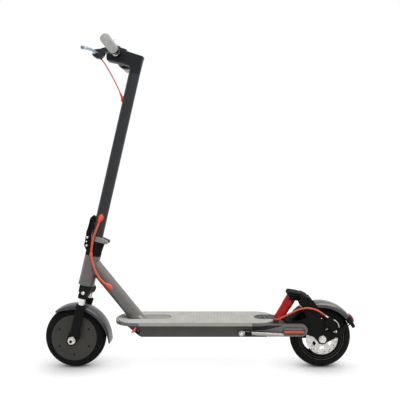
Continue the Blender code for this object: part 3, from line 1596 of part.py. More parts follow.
def bell():
    """Add the bell: a clamp with a post, a dome over it and its striker."""
    body = "stem"
    half = BELL_CLAMP_HALF_WIDTH
    clamp = (bar_at(BELL_Y - half), bar_at(BELL_Y + half))
    ring = pipe(*clamp, BELL_CLAMP_RADIUS, BAR_RADIUS + GAP, 24)
    whole = piece("bell", ring, "bright_steel", body)
    foot = bar_at(BELL_Y) + Vector((0, 0, BELL_CLAMP_RADIUS - 0.001))
    dome_foot = foot + Vector((0, 0, BELL_SHELF_HEIGHT))
    steps = 4
    outer = []
    inner = []
    for k in range(steps):
        angle = math.pi / 2 * k / steps
        for profile, wall in ((outer, 0), (inner, BELL_WALL)):
            reach = (BELL_RADIUS - wall) * math.cos(angle)
            profile.append((reach, (BELL_HEIGHT - wall) * math.sin(angle)))
    outer.append((0, BELL_HEIGHT))
    inner.append((0, BELL_HEIGHT - BELL_WALL))
    dome = turned(list(reversed(inner)) + outer, Matrix.Translation(dome_foot), 18)
    post_top = dome_foot + Vector((0, 0, BELL_HEIGHT - BELL_WALL / 2))
    post = rod(foot - Vector((0, 0, 0.001)), post_top, BELL_POST_RADIUS, 12)
    join(whole, post, body)
    join(whole, dome, body)
    shelf_top = dome_foot - Vector((0, 0, 0.0015))
    shelf = rod(foot - Vector((0, 0, 0.0005)), shelf_top, BELL_SHELF_RADIUS, 12)
    join(whole, shelf, body)
    px, py, pz = STRIKER_PIVOT
    eye = STRIKER_EYE_RADIUS
    tab_top = pz - STRIKER_HALF_THICKNESS - GAP
    tab = box((px - eye, BELL_Y, tab_top - 0.002), (px + eye, py + eye, tab_top))
    join(whole, tab, body)
    below = STRIKER_PIVOT - Vector((0, 0, PAST_FACE))
    cut(whole, rod(below, STRIKER_PIVOT, STRIKER_PIN_RADIUS + GAP, 12), body)


def bell_striker():
    """Add the bell's striker with its eye and pin."""
    body = "bell_striker"
    half = Vector((0, 0, STRIKER_HALF_THICKNESS))
    eye = rod(STRIKER_PIVOT - half, STRIKER_PIVOT + half, STRIKER_EYE_RADIUS, 12)
    striker = piece("bell_striker", eye, "black_plastic", body)
    join(striker, bent_bar(stations_at(STRIKER_PIVOT, FINGER_STATIONS), sides=8), body)
    foot = STRIKER_PIVOT - Vector((0, 0, STRIKER_EYE_RADIUS))
    join(striker, rod(foot, STRIKER_PIVOT, STRIKER_PIN_RADIUS, 12), body)


def throttle():
    """Add the throttle housing and its thumb lever."""
    low, high = THROTTLE_CLAMP
    place, length = along(bar_at(low), bar_at(high))
    chamfer = THROTTLE_CHAMFER
    profile = [
        (BAR_RADIUS + GAP, 0),
        (THROTTLE_RADIUS - chamfer, 0),
        (THROTTLE_RADIUS, chamfer),
        (THROTTLE_RADIUS, length - chamfer),
        (THROTTLE_RADIUS - chamfer, length),
        (BAR_RADIUS + GAP, length),
    ]
    shape = turned(profile, place, 24)
    housing = piece("throttle_housing", shape, "black_plastic", "stem")
    half = THROTTLE_SPLIT_HALF_WIDTH
    split = box(
        (BAR.x - half, low - PAST_FACE, BAR.z - THROTTLE_RADIUS - PAST_FACE),
        (BAR.x + half, high + PAST_FACE, BAR.z - BAR_RADIUS),
    )
    cut(housing, split, "stem")
    start = bar_at(high + 0.0005)
    end = bar_at(GRIP_INNER_END - 2 * GAP)
    ring = pipe(start, end, THROTTLE_RING_RADIUS, BAR_RADIUS + SLIDE_FIT + 0.0001, 24)
    lever = piece("throttle_lever", ring, "black_plastic", "throttle_lever")
    stations = stations_at(start, PADDLE_STATIONS)
    paddle = bent_bar(stations, up=(0.7, 0, -0.7), sides=8)
    join(lever, paddle, "throttle_lever")


# Cables


def clip_point():
    """Return the middle of the cable clip on the side of the fold base."""
    side = FOLD_BASE_RADIUS + SLEEVE_RADIUS + 0.003
    return steer(-0.001, -side, HEAD_TOP_T + 0.008)


def down_tube_foot():
    """Return the point where the down tube's axis meets the deck's underside."""
    return Vector((DOWN_TUBE_FOOT[0], 0, DOWN_TUBE_FOOT[1]))


def down_tube_direction():
    """Return the unit vector down the down tube."""
    return (down_tube_foot() - DOWN_TUBE_TOP).normalized()


def cables():
    """Add the four held stretches of cable, each on the body that holds it."""
    upper = [cable_barrel(-0.0190)]
    upper += [BAR + Vector(spot) for spot in UPPER_ROUTE]
    upper += [steer(-STEM_RADIUS - BOOT_STANDOFF, 0, STEM_CABLE_TOP_T + 0.004)]
    cable("brake_cable", upper, BRAKE_CABLE_RADIUS, "orange_rubber", "stem")
    clip = clip_point()
    clip_end = Vector((0, 0, CLIP_HALF_HEIGHT + GAP))
    out = -STEM_RADIUS - BOOT_STANDOFF - SLEEVE_RADIUS
    middle = [steer(0.001, out, STEM_CABLE_SIDE_T - 0.006)]
    middle += [steer(r, y, FOLD_BASE_TOP_T + t) for r, y, t in FOLD_ROUTE]
    middle += [clip + clip_end]
    cable("fold_cable", middle, SLEEVE_RADIUS, "orange_rubber", "stem")
    foot = DOWN_TUBE_TOP + down_tube_direction() * (DOWN_TUBE_BOOT - 0.005)
    foot += Vector((0, -DOWN_TUBE_RADIUS - BOOT_STANDOFF - SLEEVE_RADIUS, 0))
    lower = [clip - clip_end]
    lower += [DOWN_TUBE_TOP + Vector(spot) for spot in LOWER_ROUTE]
    lower += [foot]
    cable("steering_cable", lower, SLEEVE_RADIUS, "orange_rubber", "steering")
    rear = [REAR_CENTRE + Vector(spot) for spot in REAR_ROUTE] + [CABLE_STOP]
    cable("rear_brake_cable", rear, REAR_SLEEVE_RADIUS, "orange_rubber", "swingarm")


# Frame and deck


def frame_neck():
    """Add the head tube, the down tube and the nose casting as one weldment."""
    body = "frame"
    lip_top = HEAD_BOTTOM_T + HEAD_LIP_HEIGHT
    head = [
        (0, HEAD_BOTTOM_T),
        (HEAD_RADIUS + HEAD_LIP, HEAD_BOTTOM_T),
        (HEAD_RADIUS + HEAD_LIP, lip_top),
        (HEAD_RADIUS, lip_top + HEAD_LIP_SLOPE),
        (HEAD_RADIUS, HEAD_TOP_T),
        (0, HEAD_TOP_T),
    ]
    neck = piece("frame_neck", turned(head, STEER, 28), "frame_paint", body)
    run = down_tube_direction()
    foot = down_tube_foot()
    join(neck, rod(DOWN_TUBE_TOP, foot + run * 0.06, DOWN_TUBE_RADIUS, 28), body)
    join(neck, tube_flare(), body)
    join(neck, slab(nose_outline(), DECK_BOTTOM_Z, DECK_TOP_Z), body)
    reach = DECK_HALF_WIDTH + PAST_FACE
    cut(neck, box((0, -reach, 0), (WHEELBASE / 2, reach, DECK_BOTTOM_Z)), body)
    low = steer(0, 0, HEAD_BOTTOM_T - PAST_FACE)
    high = steer(0, 0, HEAD_TOP_T + PAST_FACE)
    cut(neck, rod(low, high, HEAD_BORE, 24), body)
    bore_top = DOWN_TUBE_TOP + run * DOWN_TUBE_BORE_START
    bore = rod(bore_top, foot + run * 0.07, DOWN_TUBE_RADIUS - DOWN_TUBE_WALL, 20)
    cut(neck, bore, body)


def tube_centre(z):
    """Return the X of the down tube's axis at a height."""
    share = (z - DOWN_TUBE_TOP.z) / (DOWN_TUBE_FOOT[1] - DOWN_TUBE_TOP.z)
    return DOWN_TUBE_TOP.x + share * (DOWN_TUBE_FOOT[0] - DOWN_TUBE_TOP.x)


def tube_flare():
    """Return the weld that widens the down tube's foot onto the deck."""
    run = down_tube_direction()
    stretch = math.hypot(1, run.x / run.z)
    turns = [math.tau * k / 24 for k in range(24)]
    rings = []
    for rise, grow in FLARE_RINGS:
        z = DECK_TOP_Z + rise
        middle = tube_centre(z)
        half_length = DOWN_TUBE_RADIUS * stretch + grow
        half_width = DOWN_TUBE_RADIUS + grow / 2
        rings.append(
            [
                (middle + half_length * math.cos(turn), half_width * math.sin(turn), z)
                for turn in turns
            ]
        )
    return lofted(rings)


def nose_curve(length, half_width):
    """Return half an ellipse about the nose's centre, round its front."""
    centre = NOSE_FRONT_X + NOSE_LENGTH
    turns = [math.radians(-90 - 180 * k / 16) for k in range(17)]
    return [
        (centre + length * math.cos(turn), half_width * math.sin(turn)) for turn in turns
    ]


def nose_outline():
    """Return the plan of the nose casting: half an ellipse with a tongue behind."""
    joint = NOSE_JOINT_X - GAP
    end = NOSE_TONGUE_X - GAP
    half = NOSE_TONGUE_HALF_WIDTH
    outline = [(end, -half), (joint, -half), (joint, -DECK_HALF_WIDTH)]
    outline += nose_curve(NOSE_LENGTH, DECK_HALF_WIDTH)
    outline += [(joint, DECK_HALF_WIDTH), (joint, half), (end, half)]
    return outline


def tail_outline(inset=0.0, start=TAIL_JOINT_X):
    """Return the plan of the deck's tail, rounded at both rear corners."""
    outline = [(start, -DECK_HALF_WIDTH + inset)]
    corner_x = TAIL_END_X - TAIL_LENGTH
    turns = [math.radians(90 * k / 7) for k in range(8)]
    for side in (-1, 1):
        points = []
        for turn in turns:
            reach = (TAIL_LENGTH - inset) * math.sin(turn)
            wide = DECK_HALF_WIDTH - TAIL_CORNER + (TAIL_CORNER - inset) * math.cos(turn)
            points.append((corner_x + reach, side * wide))
        outline += points if side < 0 else list(reversed(points))
    outline.append((start, DECK_HALF_WIDTH - inset))
    return outline


def deck_plate():
    """Add the middle of the deck, a shallow tray turned upside down."""
    body = "frame"
    shape = box(
        (NOSE_JOINT_X, -DECK_HALF_WIDTH, DECK_BOTTOM_Z),
        (TAIL_JOINT_X - GAP, DECK_HALF_WIDTH, DECK_TOP_Z),
    )
    plate = piece("deck_plate", shape, "deck_trim", body)
    notch_half = NOSE_TONGUE_HALF_WIDTH + GAP
    notch = box(
        (NOSE_JOINT_X - PAST_FACE, -notch_half, DECK_BOTTOM_Z - PAST_FACE),
        (NOSE_TONGUE_X, notch_half, DECK_TOP_Z + PAST_FACE),
    )
    cut(plate, notch, body)
    half = TUB_HALF_WIDTH - TUB_WALL
    pocket = box(
        (NOSE_TONGUE_X + 0.010, -half, DECK_BOTTOM_Z - PAST_FACE),
        (TAIL_JOINT_X - 0.010, half, DECK_TOP_Z - DECK_SKIN),
    )
    cut(plate, pocket, body)


def deck_mat():
    """Add the rubber mat with its slot behind the down tube."""
    body = "frame"
    half = DECK_HALF_WIDTH - MAT_EDGE
    outline = nose_curve(NOSE_LENGTH - MAT_NOSE_EDGE, half)
    straight = NOSE_FRONT_X + NOSE_LENGTH + 0.01
    outline += list(reversed(tail_outline(MAT_EDGE, straight)))
    bottom = DECK_TOP_Z + GAP
    sheet = slab(outline, bottom, bottom + MAT_THICKNESS)
    mat = piece("deck_mat", sheet, "mat_rubber", body)
    slot_half = MAT_SLOT_HALF_WIDTH
    front = tube_centre(DECK_TOP_Z) - MAT_SLOT_LEAD
    slot = arc((front + slot_half, 0), slot_half, 270, 90, 8)
    slot += arc((MAT_SLOT_END_X - slot_half, 0), slot_half, 90, -90, 8)
    cut(mat, slab(slot, bottom - PAST_FACE, bottom + PAST_FACE), body)
    half = SHOCK_PLATE_HALF_WIDTH + 0.001
    rear = arc((SHOCK_PLATE_FRONT_X - 0.001 + half, 0), half, 270, 90, 8)
    rear += [(TAIL_END_X + PAST_FACE, half), (TAIL_END_X + PAST_FACE, -half)]
    cut(mat, slab(rear, bottom - PAST_FACE, bottom + PAST_FACE), body)


def tub_outline(inset=0.0):
    """Return the side view of the tub, with its raked front."""
    slope = (TUB_KEEL_X - TUB_FRONT_X) / (DECK_BOTTOM_Z - TUB_BOTTOM_Z)
    top = DECK_BOTTOM_Z - GAP
    rake = inset * math.hypot(1, slope)
    back, rise = TUB_CHIN
    return [
        (TUB_FRONT_X + rake, top),
        (TUB_KEEL_X - back + rake, TUB_BOTTOM_Z + rise),
        (TUB_KEEL_X + rake, TUB_BOTTOM_Z),
        (TUB_REAR_X - inset, TUB_BOTTOM_Z),
        (TUB_REAR_X - inset, top),
    ]


def deck_tub():
    """Add the side walls, raked front and rear wall below the deck."""
    body = "frame"
    half = TUB_HALF_WIDTH
    tub = piece("deck_tub", prism(tub_outline(), -half, half), "tub_paint", body)
    front, chin, keel, rear, _ = tub_outline(TUB_WALL)
    inside = [
        (front[0] - 0.012, DECK_BOTTOM_Z + PAST_FACE),
        chin,
        (keel[0], TUB_BOTTOM_Z - PAST_FACE),
        (rear[0], TUB_BOTTOM_Z - PAST_FACE),
        (rear[0], DECK_BOTTOM_Z + PAST_FACE),
    ]
    cut(tub, prism(inside, -half + TUB_WALL, half - TUB_WALL), body)
    port_start = (PORT_X, -half - PAST_FACE, PORT_Z)
    port_end = (PORT_X, -half + 2 * PAST_FACE, PORT_Z)
    cut(tub, rod(port_start, port_end, PORT_RADIUS, 20), body)


def base_plate():
    """Add the bottom cover."""
    top = TUB_BOTTOM_Z - GAP
    half = TUB_HALF_WIDTH - 0.002
    plate = box(
        (TUB_KEEL_X + BASE_PLATE_LEAD, -half, top - BASE_PLATE_THICKNESS),
        (BASE_PLATE_REAR_X, half, top),
    )
    piece("base_plate", plate, "black_alloy", "frame")


def electrics():
    """Add the battery pack and the motor controller inside the tub."""
    bottom = TUB_BOTTOM_Z + ELECTRICS_FLOOR
    start = TUB_KEEL_X + CONTROLLER_LEAD
    end = start + CONTROLLER_LENGTH
    half = CONTROLLER_HALF_WIDTH
    block = box((start, -half, bottom), (end, half, bottom + CONTROLLER_HEIGHT))
    controller = piece("motor_controller", block, "alloy", "frame")
    soften(controller, 0.002, 1)
    start = end + BATTERY_LEAD
    end = TUB_REAR_X - BATTERY_TAIL
    half = TUB_HALF_WIDTH - TUB_WALL - BATTERY_SIDE
    block = box((start, -half, bottom), (end, half, bottom + BATTERY_HEIGHT))
    battery = piece("battery_pack", block, "battery_wrap", "frame")
    soften(battery, 0.004, 2)


def headset_bearings():
    """Add the two bearings about the steerer, on the sleeve between them."""
    width = BEARING_WIDTH
    low = HEAD_BOTTOM_T + 0.001
    high = HEAD_TOP_T - 0.001
    inner = STEERER_RADIUS + GAP
    outer = HEAD_BORE - GAP
    sleeve = STEERER_RADIUS + 0.0025
    profile = [
        (inner, low),
        (outer, low),
        (outer, low + width),
        (sleeve, low + width),
        (sleeve, high - width),
        (outer, high - width),
        (outer, high),
        (inner, high),
    ]
    piece("headset_bearings", turned(profile, STEER, 24), "bright_steel", "frame")


def rear_frame():
    """Add the tail casting: deck tail, cross block and the two rear arms."""
    body = "frame"
    tail = slab(tail_outline(), DECK_BOTTOM_Z, DECK_TOP_Z)
    frame = piece("rear_frame", tail, "frame_paint", body)
    front = TUB_REAR_X + JOINT_GAP
    block = box(
        (front, -TUB_HALF_WIDTH, TUB_BOTTOM_Z + GAP),
        (CROSS_BLOCK_END_X, TUB_HALF_WIDTH, DECK_BOTTOM_Z + 0.004),
    )
    join(frame, block, body)
    radius = (ARM_TOP_Z - ARM_BOTTOM_Z) / 2
    middle_z = (ARM_TOP_Z + ARM_BOTTOM_Z) / 2
    arm = [(BASE_PLATE_REAR_X + 0.002, ARM_BOTTOM_Z)]
    arm += arc((ARM_END_X - radius, middle_z), radius, -90, 90, 10)
    arm += [(BASE_PLATE_REAR_X + 0.002, ARM_TOP_Z)]
    for side in (-1, 1):
        low, high = sorted((side * ARM_INNER_Y, side * TUB_HALF_WIDTH))
        join(frame, prism(arm, low, high), body)
    rear_wall, side_wall, floor = CROSS_BLOCK_WALLS
    half = TUB_HALF_WIDTH - side_wall
    hollow = box(
        (front - PAST_FACE, -half, ARM_BOTTOM_Z + floor),
        (CROSS_BLOCK_END_X - rear_wall, half, DECK_BOTTOM_Z - 0.003),
    )
    cut(frame, hollow, body)
    recesses = []
    holes = []
    for side in (-1, 1):
        face = side * (TUB_HALF_WIDTH - REFLECTOR_DEPTH)
        low, high = sorted((face, side * (TUB_HALF_WIDTH + PAST_FACE)))
        recesses.append(prism(reflector_outline(), low, high))
        start = (PIVOT_X, side * (ARM_INNER_Y - PAST_FACE), PIVOT_Z)
        end = (PIVOT_X, side * (ARM_INNER_Y + PIVOT_DEPTH), PIVOT_Z)
        holes.append(rod(start, end, PIVOT_RADIUS + GAP, 16))
    cut(frame, merged(*recesses), body)
    cut(frame, merged(*holes), body)


def reflector_outline():
    """Return the pill outline of the recess in an arm's outer face."""
    low, high = REFLECTOR_Z
    radius = (high - low) / 2
    middle = (low + high) / 2
    outline = arc((REFLECTOR_X[0] + radius, middle), radius, 270, 90, 8)
    outline += arc((REFLECTOR_X[1] - radius, middle), radius, 90, -90, 8)
    return outline


def shock_mount():
    """Add the black plate on the tail with the two ears for the shock."""
    body = "frame"
    half = SHOCK_PLATE_HALF_WIDTH
    bottom = DECK_TOP_Z + GAP
    top = bottom + SHOCK_PLATE_THICKNESS
    outline = arc((SHOCK_PLATE_FRONT_X + half, 0), half, 270, 90, 10)
    outline += [(SHOCK_PLATE_REAR_X, half), (SHOCK_PLATE_REAR_X, -half)]
    mount = piece("shock_mount", slab(outline, bottom, top), "black_alloy", body)
    inner = SHOCK_EYE_HALF_WIDTH + CLEVIS_GAP
    outer = inner + CLEVIS_THICKNESS
    x, z = SHOCK_EYE_LOW
    front = TAIL_END_X + JOINT_GAP
    ear = [(front, top - 0.0005), (front, z - SHOCK_EAR_RADIUS - 0.002)]
    ear += arc((x, z), SHOCK_EAR_RADIUS, -100, 30, 6)
    ear += [(x - 0.002, top - 0.0005)]
    for side in (-1, 1):
        low, high = sorted((side * inner, side * outer))
        join(mount, prism(ear, low, high), body)
    low, _ = shock_ends()
    join(mount, across_rod(low, outer + SHOCK_PIN_HEAD, SHOCK_PIN_RADIUS, 16), body)


def kickstand():
    """Add the kickstand's bracket and its leg."""
    x, z = STAND_PIVOT
    face = -TUB_HALF_WIDTH - GAP
    near = face - STAND_BRACKET_THICKNESS - 0.0008
    corners = [(x + dx, z + dz, STAND_BRACKET_ROUND) for dx, dz in STAND_BRACKET_OUTLINE]
    shape = prism(filleted(corners, 2), face - STAND_BRACKET_THICKNESS, face)
    bracket = piece("kickstand_bracket", shape, "alloy", "frame")
    pin_end = near - STAND_HUB_WIDTH - 0.0007
    pin = rod((x, face - 0.001, z), (x, pin_end, z), STAND_PIN_RADIUS, 16)
    join(bracket, pin, "frame")
    body = "kickstand"
    hub = rod((x, near, z), (x, near - STAND_HUB_WIDTH, z), STAND_HUB_RADIUS, 20)
    leg = piece("kickstand_leg", hub, "alloy", body)
    middle = near - STAND_HUB_WIDTH / 2
    tip_x = x + STAND_LENGTH
    radius = STAND_TUBE_RADIUS
    shaft = bent_bar(
        [
            ((x + 0.004, middle, z + 0.001), radius - 0.001, radius + 0.001),
            ((x + 0.020, middle, z + 0.002), radius - 0.001, radius + 0.0007),
            ((x + 0.040, middle, z + 0.001), radius, radius),
            ((tip_x - 0.006, middle, z - 0.005), radius, radius),
            ((tip_x, middle, z - 0.0055), radius - 0.002, radius - 0.002),
        ]
    )
    join(leg, shaft, body)
    far = near - STAND_HUB_WIDTH - PAST_FACE
    hole = rod((x, near + PAST_FACE, z), (x, far, z), STAND_PIN_RADIUS + GAP, 16)
    cut(leg, hole, body)


def cap_frame():
    """Return the place of the charging cap's hinge: X into the port, Y outward."""
    out = Vector((0, -1, 0))
    centre = Vector((PORT_X, -TUB_HALF_WIDTH, PORT_Z))
    centre += out * CAP_HINGE_STANDOFF - CAP_OPENING * CAP_HINGE_REACH
    turn = Matrix((CAP_OPENING, out, CAP_OPENING.cross(out))).transposed().to_4x4()
    return Matrix.Translation(centre) @ turn


def charge_cap():
    """Add the red cap of the charging port, standing open on its hinge."""
    body = "charge_cap"
    place = cap_frame()
    lie = place @ Matrix.Translation((0, CAP_HINGE_REACH, 0))
    lie = lie @ Matrix.Rotation(math.radians(-90), 4, "Y")
    disc = [
        (0, 0),
        (CAP_RADIUS, 0),
        (CAP_RADIUS, CAP_THICKNESS - 0.001),
        (CAP_RADIUS - 0.001, CAP_THICKNESS),
        (0, CAP_THICKNESS),
    ]
    cap = piece("charge_cap", turned(disc, lie, 20), "orange_rubber", body)
    radius = PORT_RADIUS - 0.0015
    plug = [(0, -0.003), (radius, -0.003), (radius, 0.001), (0, 0.001)]
    join(cap, turned(plug, lie, 20), body)
    strap = box((-CAP_THICKNESS + 0.001, 0.0002, -0.005), (-0.0002, 0.006, 0.005), place)
    join(cap, strap, body)


# Swingarm and shock


def from_front(points):
    """Place side-view points given from the tyre's front edge and the pivot's height."""
    return [(TYRE_FRONT_X + x, PIVOT_Z + z, *rest) for x, z, *rest in points]


def from_top(points):
    """Place side-view points given from the tyre's front edge and the mudguard's top."""
    return [(TYRE_FRONT_X + x, GUARD_TOP_Z + z, *rest) for x, z, *rest in points]


def from_axle(points):
    """Place side-view points given from the rear axle."""
    return [(WHEELBASE + x, TYRE_RADIUS + z, *rest) for x, z, *rest in points]


def swing_outline():
    """Return the side view of one swingarm plate."""
    outline = from_front(SWING_FRONT) + from_top(SWING_TOP) + from_axle(SWING_REAR)
    outline += arc((WHEELBASE, TYRE_RADIUS), SWING_EYE_RADIUS, -35, -150, 7)
    outline += from_axle(SWING_UNDER_REAR) + from_front(SWING_UNDER_FRONT)
    return outline


def across_rod(centre, half_length, radius, steps):
    """Return a round bar across the scooter, centred on a point."""
    side = Vector((0, half_length, 0))
    return rod(centre - side, centre + side, radius, steps)


def swingarm():
    """Add the swingarm: two side plates, a cross block and the top yoke."""
    body = "swingarm"
    inner = SWING_PLATE_INNER
    outer = SWING_PLATE_OUTER
    arm = piece("swingarm", prism(swing_outline(), -outer, -inner), "black_alloy", body)
    join(arm, prism(swing_outline(), inner, outer), body)
    join(arm, prism(from_front(SWING_CROSS), -inner - 0.002, inner + 0.002), body)
    join(arm, prism(from_top(YOKE_OUTLINE), -outer, outer), body)
    pad = filleted(from_top(PAD_OUTLINE), 3)
    join(arm, prism(pad, -PAD_HALF_WIDTH, PAD_HALF_WIDTH), body)
    ear_inner = SHOCK_EYE_HALF_WIDTH + CLEVIS_GAP
    ear_outer = ear_inner + CLEVIS_THICKNESS
    ear = arc(SHOCK_EYE_HIGH, YOKE_EAR_RADIUS, 200, 285, 5) + from_top(YOKE_EAR)
    for side in (-1, 1):
        low, high = sorted((side * ear_inner, side * ear_outer))
        join(arm, prism(ear, low, high), body)
    _, eye = shock_ends()
    join(arm, across_rod(eye, ear_outer + SHOCK_PIN_HEAD, SHOCK_PIN_RADIUS, 16), body)
    for side in (-1, 1):
        start = (PIVOT_X, side * (inner + 0.001), PIVOT_Z)
        end = (PIVOT_X, side * (ARM_INNER_Y + PIVOT_DEPTH - JOINT_GAP), PIVOT_Z)
        join(arm, rod(start, end, PIVOT_RADIUS, 16), body)
    reach = outer + PAST_FACE
    cut(arm, across_rod(REAR_CENTRE, reach, AXLE_RADIUS + GAP, 20), body)


def rear_axle():
    """Add the rear axle with its nuts."""
    body = "swingarm"
    face = SWING_PLATE_OUTER + GAP
    shaft = across_rod(REAR_CENTRE, face + NUT_HEIGHT + 0.003, AXLE_RADIUS, 20)
    axle = piece("rear_axle", shaft, "bright_steel", body)
    for side in (-1, 1):
        start = REAR_CENTRE + Vector((0, side * face, 0))
        join(axle, hex_nut(start, (0, side, 0), NUT_RADIUS, NUT_HEIGHT), body)


def strut_middles(side):
    """Return the middles of one mudguard strut's four sections, from its foot up."""
    foot_y = side * (SWING_PLATE_OUTER + STRUT_FOOT_GAP)
    middles = [REAR_CENTRE + Vector((x, foot_y, z)) for x, z in STRUT_FOOT]
    for angle, gap, depth in STRUT_HEAD:
        turn = math.radians(angle)
        out = Vector((math.cos(turn), 0, math.sin(turn)))
        across = Vector((0, side * (GUARD_HALF_WIDTH - gap), 0))
        middles.append(REAR_CENTRE + out * (REAR_GUARD_RADIUS - depth) + across)
    return middles


def strut(side):
    """Return one flat mudguard strut."""
    across = Vector((-0.66, 0, 0.75)) * STRUT_HALF_WIDTH
    thick = Vector((0, STRUT_HALF_THICKNESS, 0))
    rings = [
        [
            middle - across - thick,
            middle + across - thick,
            middle + across + thick,
            middle - across + thick,
        ]
        for middle in strut_middles(side)
    ]
    return lofted(rings)


def rear_guard():
    """Add the rear mudguard with its struts."""
    body = "swingarm"
    shell = mudguard(
        REAR_AXLE,
        REAR_GUARD_ANGLES,
        REAR_GUARD_RADIUS,
        REAR_GUARD_FLARE,
        REAR_GUARD_SKIRT,
    )
    guard = piece("rear_mudguard", shell, "rear_guard_plastic", body)
    join(guard, merged(strut(-1), strut(1)), body)


def tail_light():
    """Add the tail light on the crown of the rear mudguard."""
    first, last = TAIL_LIGHT_ANGLES
    start, end = REAR_GUARD_ANGLES
    wide = TAIL_LIGHT_HALF_WIDTH
    flat = TAIL_LIGHT_FLAT_HALF_WIDTH
    rings = []
    for k, rise in enumerate(TAIL_LIGHT_RISE):
        angle = first + (last - first) * k / (len(TAIL_LIGHT_RISE) - 1)
        share = (start - angle) / (start - end)
        inner = REAR_GUARD_RADIUS + REAR_GUARD_FLARE * share**2 + GAP + 0.0004
        half = [(wide, inner), (wide, inner + rise / 2), (flat, inner + rise)]
        section = [(-y, reach) for y, reach in half] + list(reversed(half))
        turn = math.radians(angle)
        out = Vector((math.cos(turn), 0, math.sin(turn)))
        ring = [REAR_CENTRE + out * reach + Vector((0, y, 0)) for y, reach in section]
        rings.append(ring)
    piece("tail_light", lofted(rings), "red_lens", "swingarm")


def brake_caliper():
    """Add the caliper body around the disc, with its cable stop."""
    body = "swingarm"
    outline = filleted(from_axle(CALIPER_OUTLINE), 2)
    shape = prism(outline, CALIPER_NEAR, CALIPER_FAR)
    caliper = piece("brake_caliper", shape, "black_alloy", body)
    half = DISC_THICKNESS / 2 + DISC_SLOT_CLEARANCE
    radius = DISC_RADIUS + 0.0015
    slot = [(0, -half), (radius, -half), (radius, half), (0, half)]
    place = REAR_AXLE @ Matrix.Translation((0, 0, DISC_Y))
    cut(caliper, turned(slot, place, WHEEL_STEPS), body)
    near = -SWING_PLATE_OUTER - JOINT_GAP
    far = -SWING_PLATE_INNER + JOINT_GAP
    cut(caliper, prism(from_axle(CALIPER_RELIEF), near, far), body)
    stop = rod(
        CABLE_STOP + Vector((0.0035, -0.0005, -0.0030)),
        CABLE_STOP + Vector((0.0130, 0, -0.0108)),
        CABLE_STOP_RADIUS,
        12,
    )
    join(caliper, stop, body)
    x, _, z = CALIPER_ARM_PIVOT
    start = (x, CALIPER_NEAR - PAST_FACE, z)
    end = (x, CALIPER_NEAR + 0.008, z)
    cut(caliper, rod(start, end, CALIPER_PIN_RADIUS + GAP, 12), body)


def caliper_arm():
    """Add the curved arm that squeezes the caliper."""
    body = "caliper_arm"
    x, _, z = CALIPER_ARM_PIVOT
    face = CALIPER_NEAR - JOINT_GAP
    hub = rod((x, face + 0.0065, z), (x, face - 0.004, z), CALIPER_PIN_RADIUS, 12)
    arm = piece("caliper_arm", hub, "bright_steel", body)
    centre = (x - 0.001, z - 0.004)
    reach = CALIPER_ARM_REACH
    outline = arc((x, z), CALIPER_ARM_EYE_RADIUS, 250, 90, 6)
    outline += arc(centre, reach, 62, 12, 6)
    outline += arc(centre, reach - CALIPER_ARM_WIDTH, 12, 50, 6)
    outline += [(x + 0.006, z + 0.004)]
    join(arm, prism(outline, face - CALIPER_ARM_THICKNESS, face), body)


def shock_ends():
    """Return the centres of the shock's lower and upper eyes."""
    low = Vector((SHOCK_EYE_LOW[0], 0, SHOCK_EYE_LOW[1]))
    high = Vector((SHOCK_EYE_HIGH[0], 0, SHOCK_EYE_HIGH[1]))
    return low, high


def shock_can():
    """Add the shock's can with its lower eye."""
    body = "shock_body"
    low, high = shock_ends()
    run = (high - low).normalized()
    start = SHOCK_CAN_START
    chamfer = SHOCK_CAN_CHAMFER
    bore = SHOCK_ROD_RADIUS + SLIDE_FIT
    floor = start + SHOCK_BORE_FLOOR
    profile = [
        (0, start),
        (SHOCK_CAN_RADIUS - chamfer, start),
        (SHOCK_CAN_RADIUS, start + chamfer),
        (SHOCK_CAN_RADIUS, SHOCK_CAN_END - chamfer),
        (SHOCK_CAN_RADIUS - chamfer, SHOCK_CAN_END),
        (bore, SHOCK_CAN_END),
        (bore, floor),
        (0, floor),
    ]
    shape = turned(profile, along(low, high)[0], 24)
    can = piece("shock_body", shape, "shock_red", body)
    join(can, across_rod(low, SHOCK_EYE_HALF_WIDTH, SHOCK_EYE_RADIUS, 20), body)
    neck = rod(low + run * 0.005, low + run * (start + 0.004), SHOCK_NECK_RADIUS, 16)
    join(can, neck, body)
    reach = SHOCK_EYE_HALF_WIDTH + PAST_FACE
    cut(can, across_rod(low, reach, SHOCK_PIN_RADIUS + GAP, 16), body)


def shock_rod():
    """Add the shock's rod with its upper eye."""
    body = "shock_rod"
    low, high = shock_ends()
    run = (high - low).normalized()
    foot = low + run * (SHOCK_CAN_START + SHOCK_ROD_LEAD)
    shaft = rod(foot, high - run * 0.0055, SHOCK_ROD_RADIUS, 16)
    whole = piece("shock_rod", shaft, "shock_red", body)
    join(whole, across_rod(high, SHOCK_EYE_HALF_WIDTH, SHOCK_EYE_RADIUS, 20), body)
    reach = SHOCK_EYE_HALF_WIDTH + PAST_FACE
    cut(whole, across_rod(high, reach, SHOCK_PIN_RADIUS + SHOCK_EYE_PLAY, 16), body)


# Assembly


def place_at(x, z):
    """Return the place of a joint in the middle plane, with world axes."""
    return Matrix.Translation((x, 0, z))


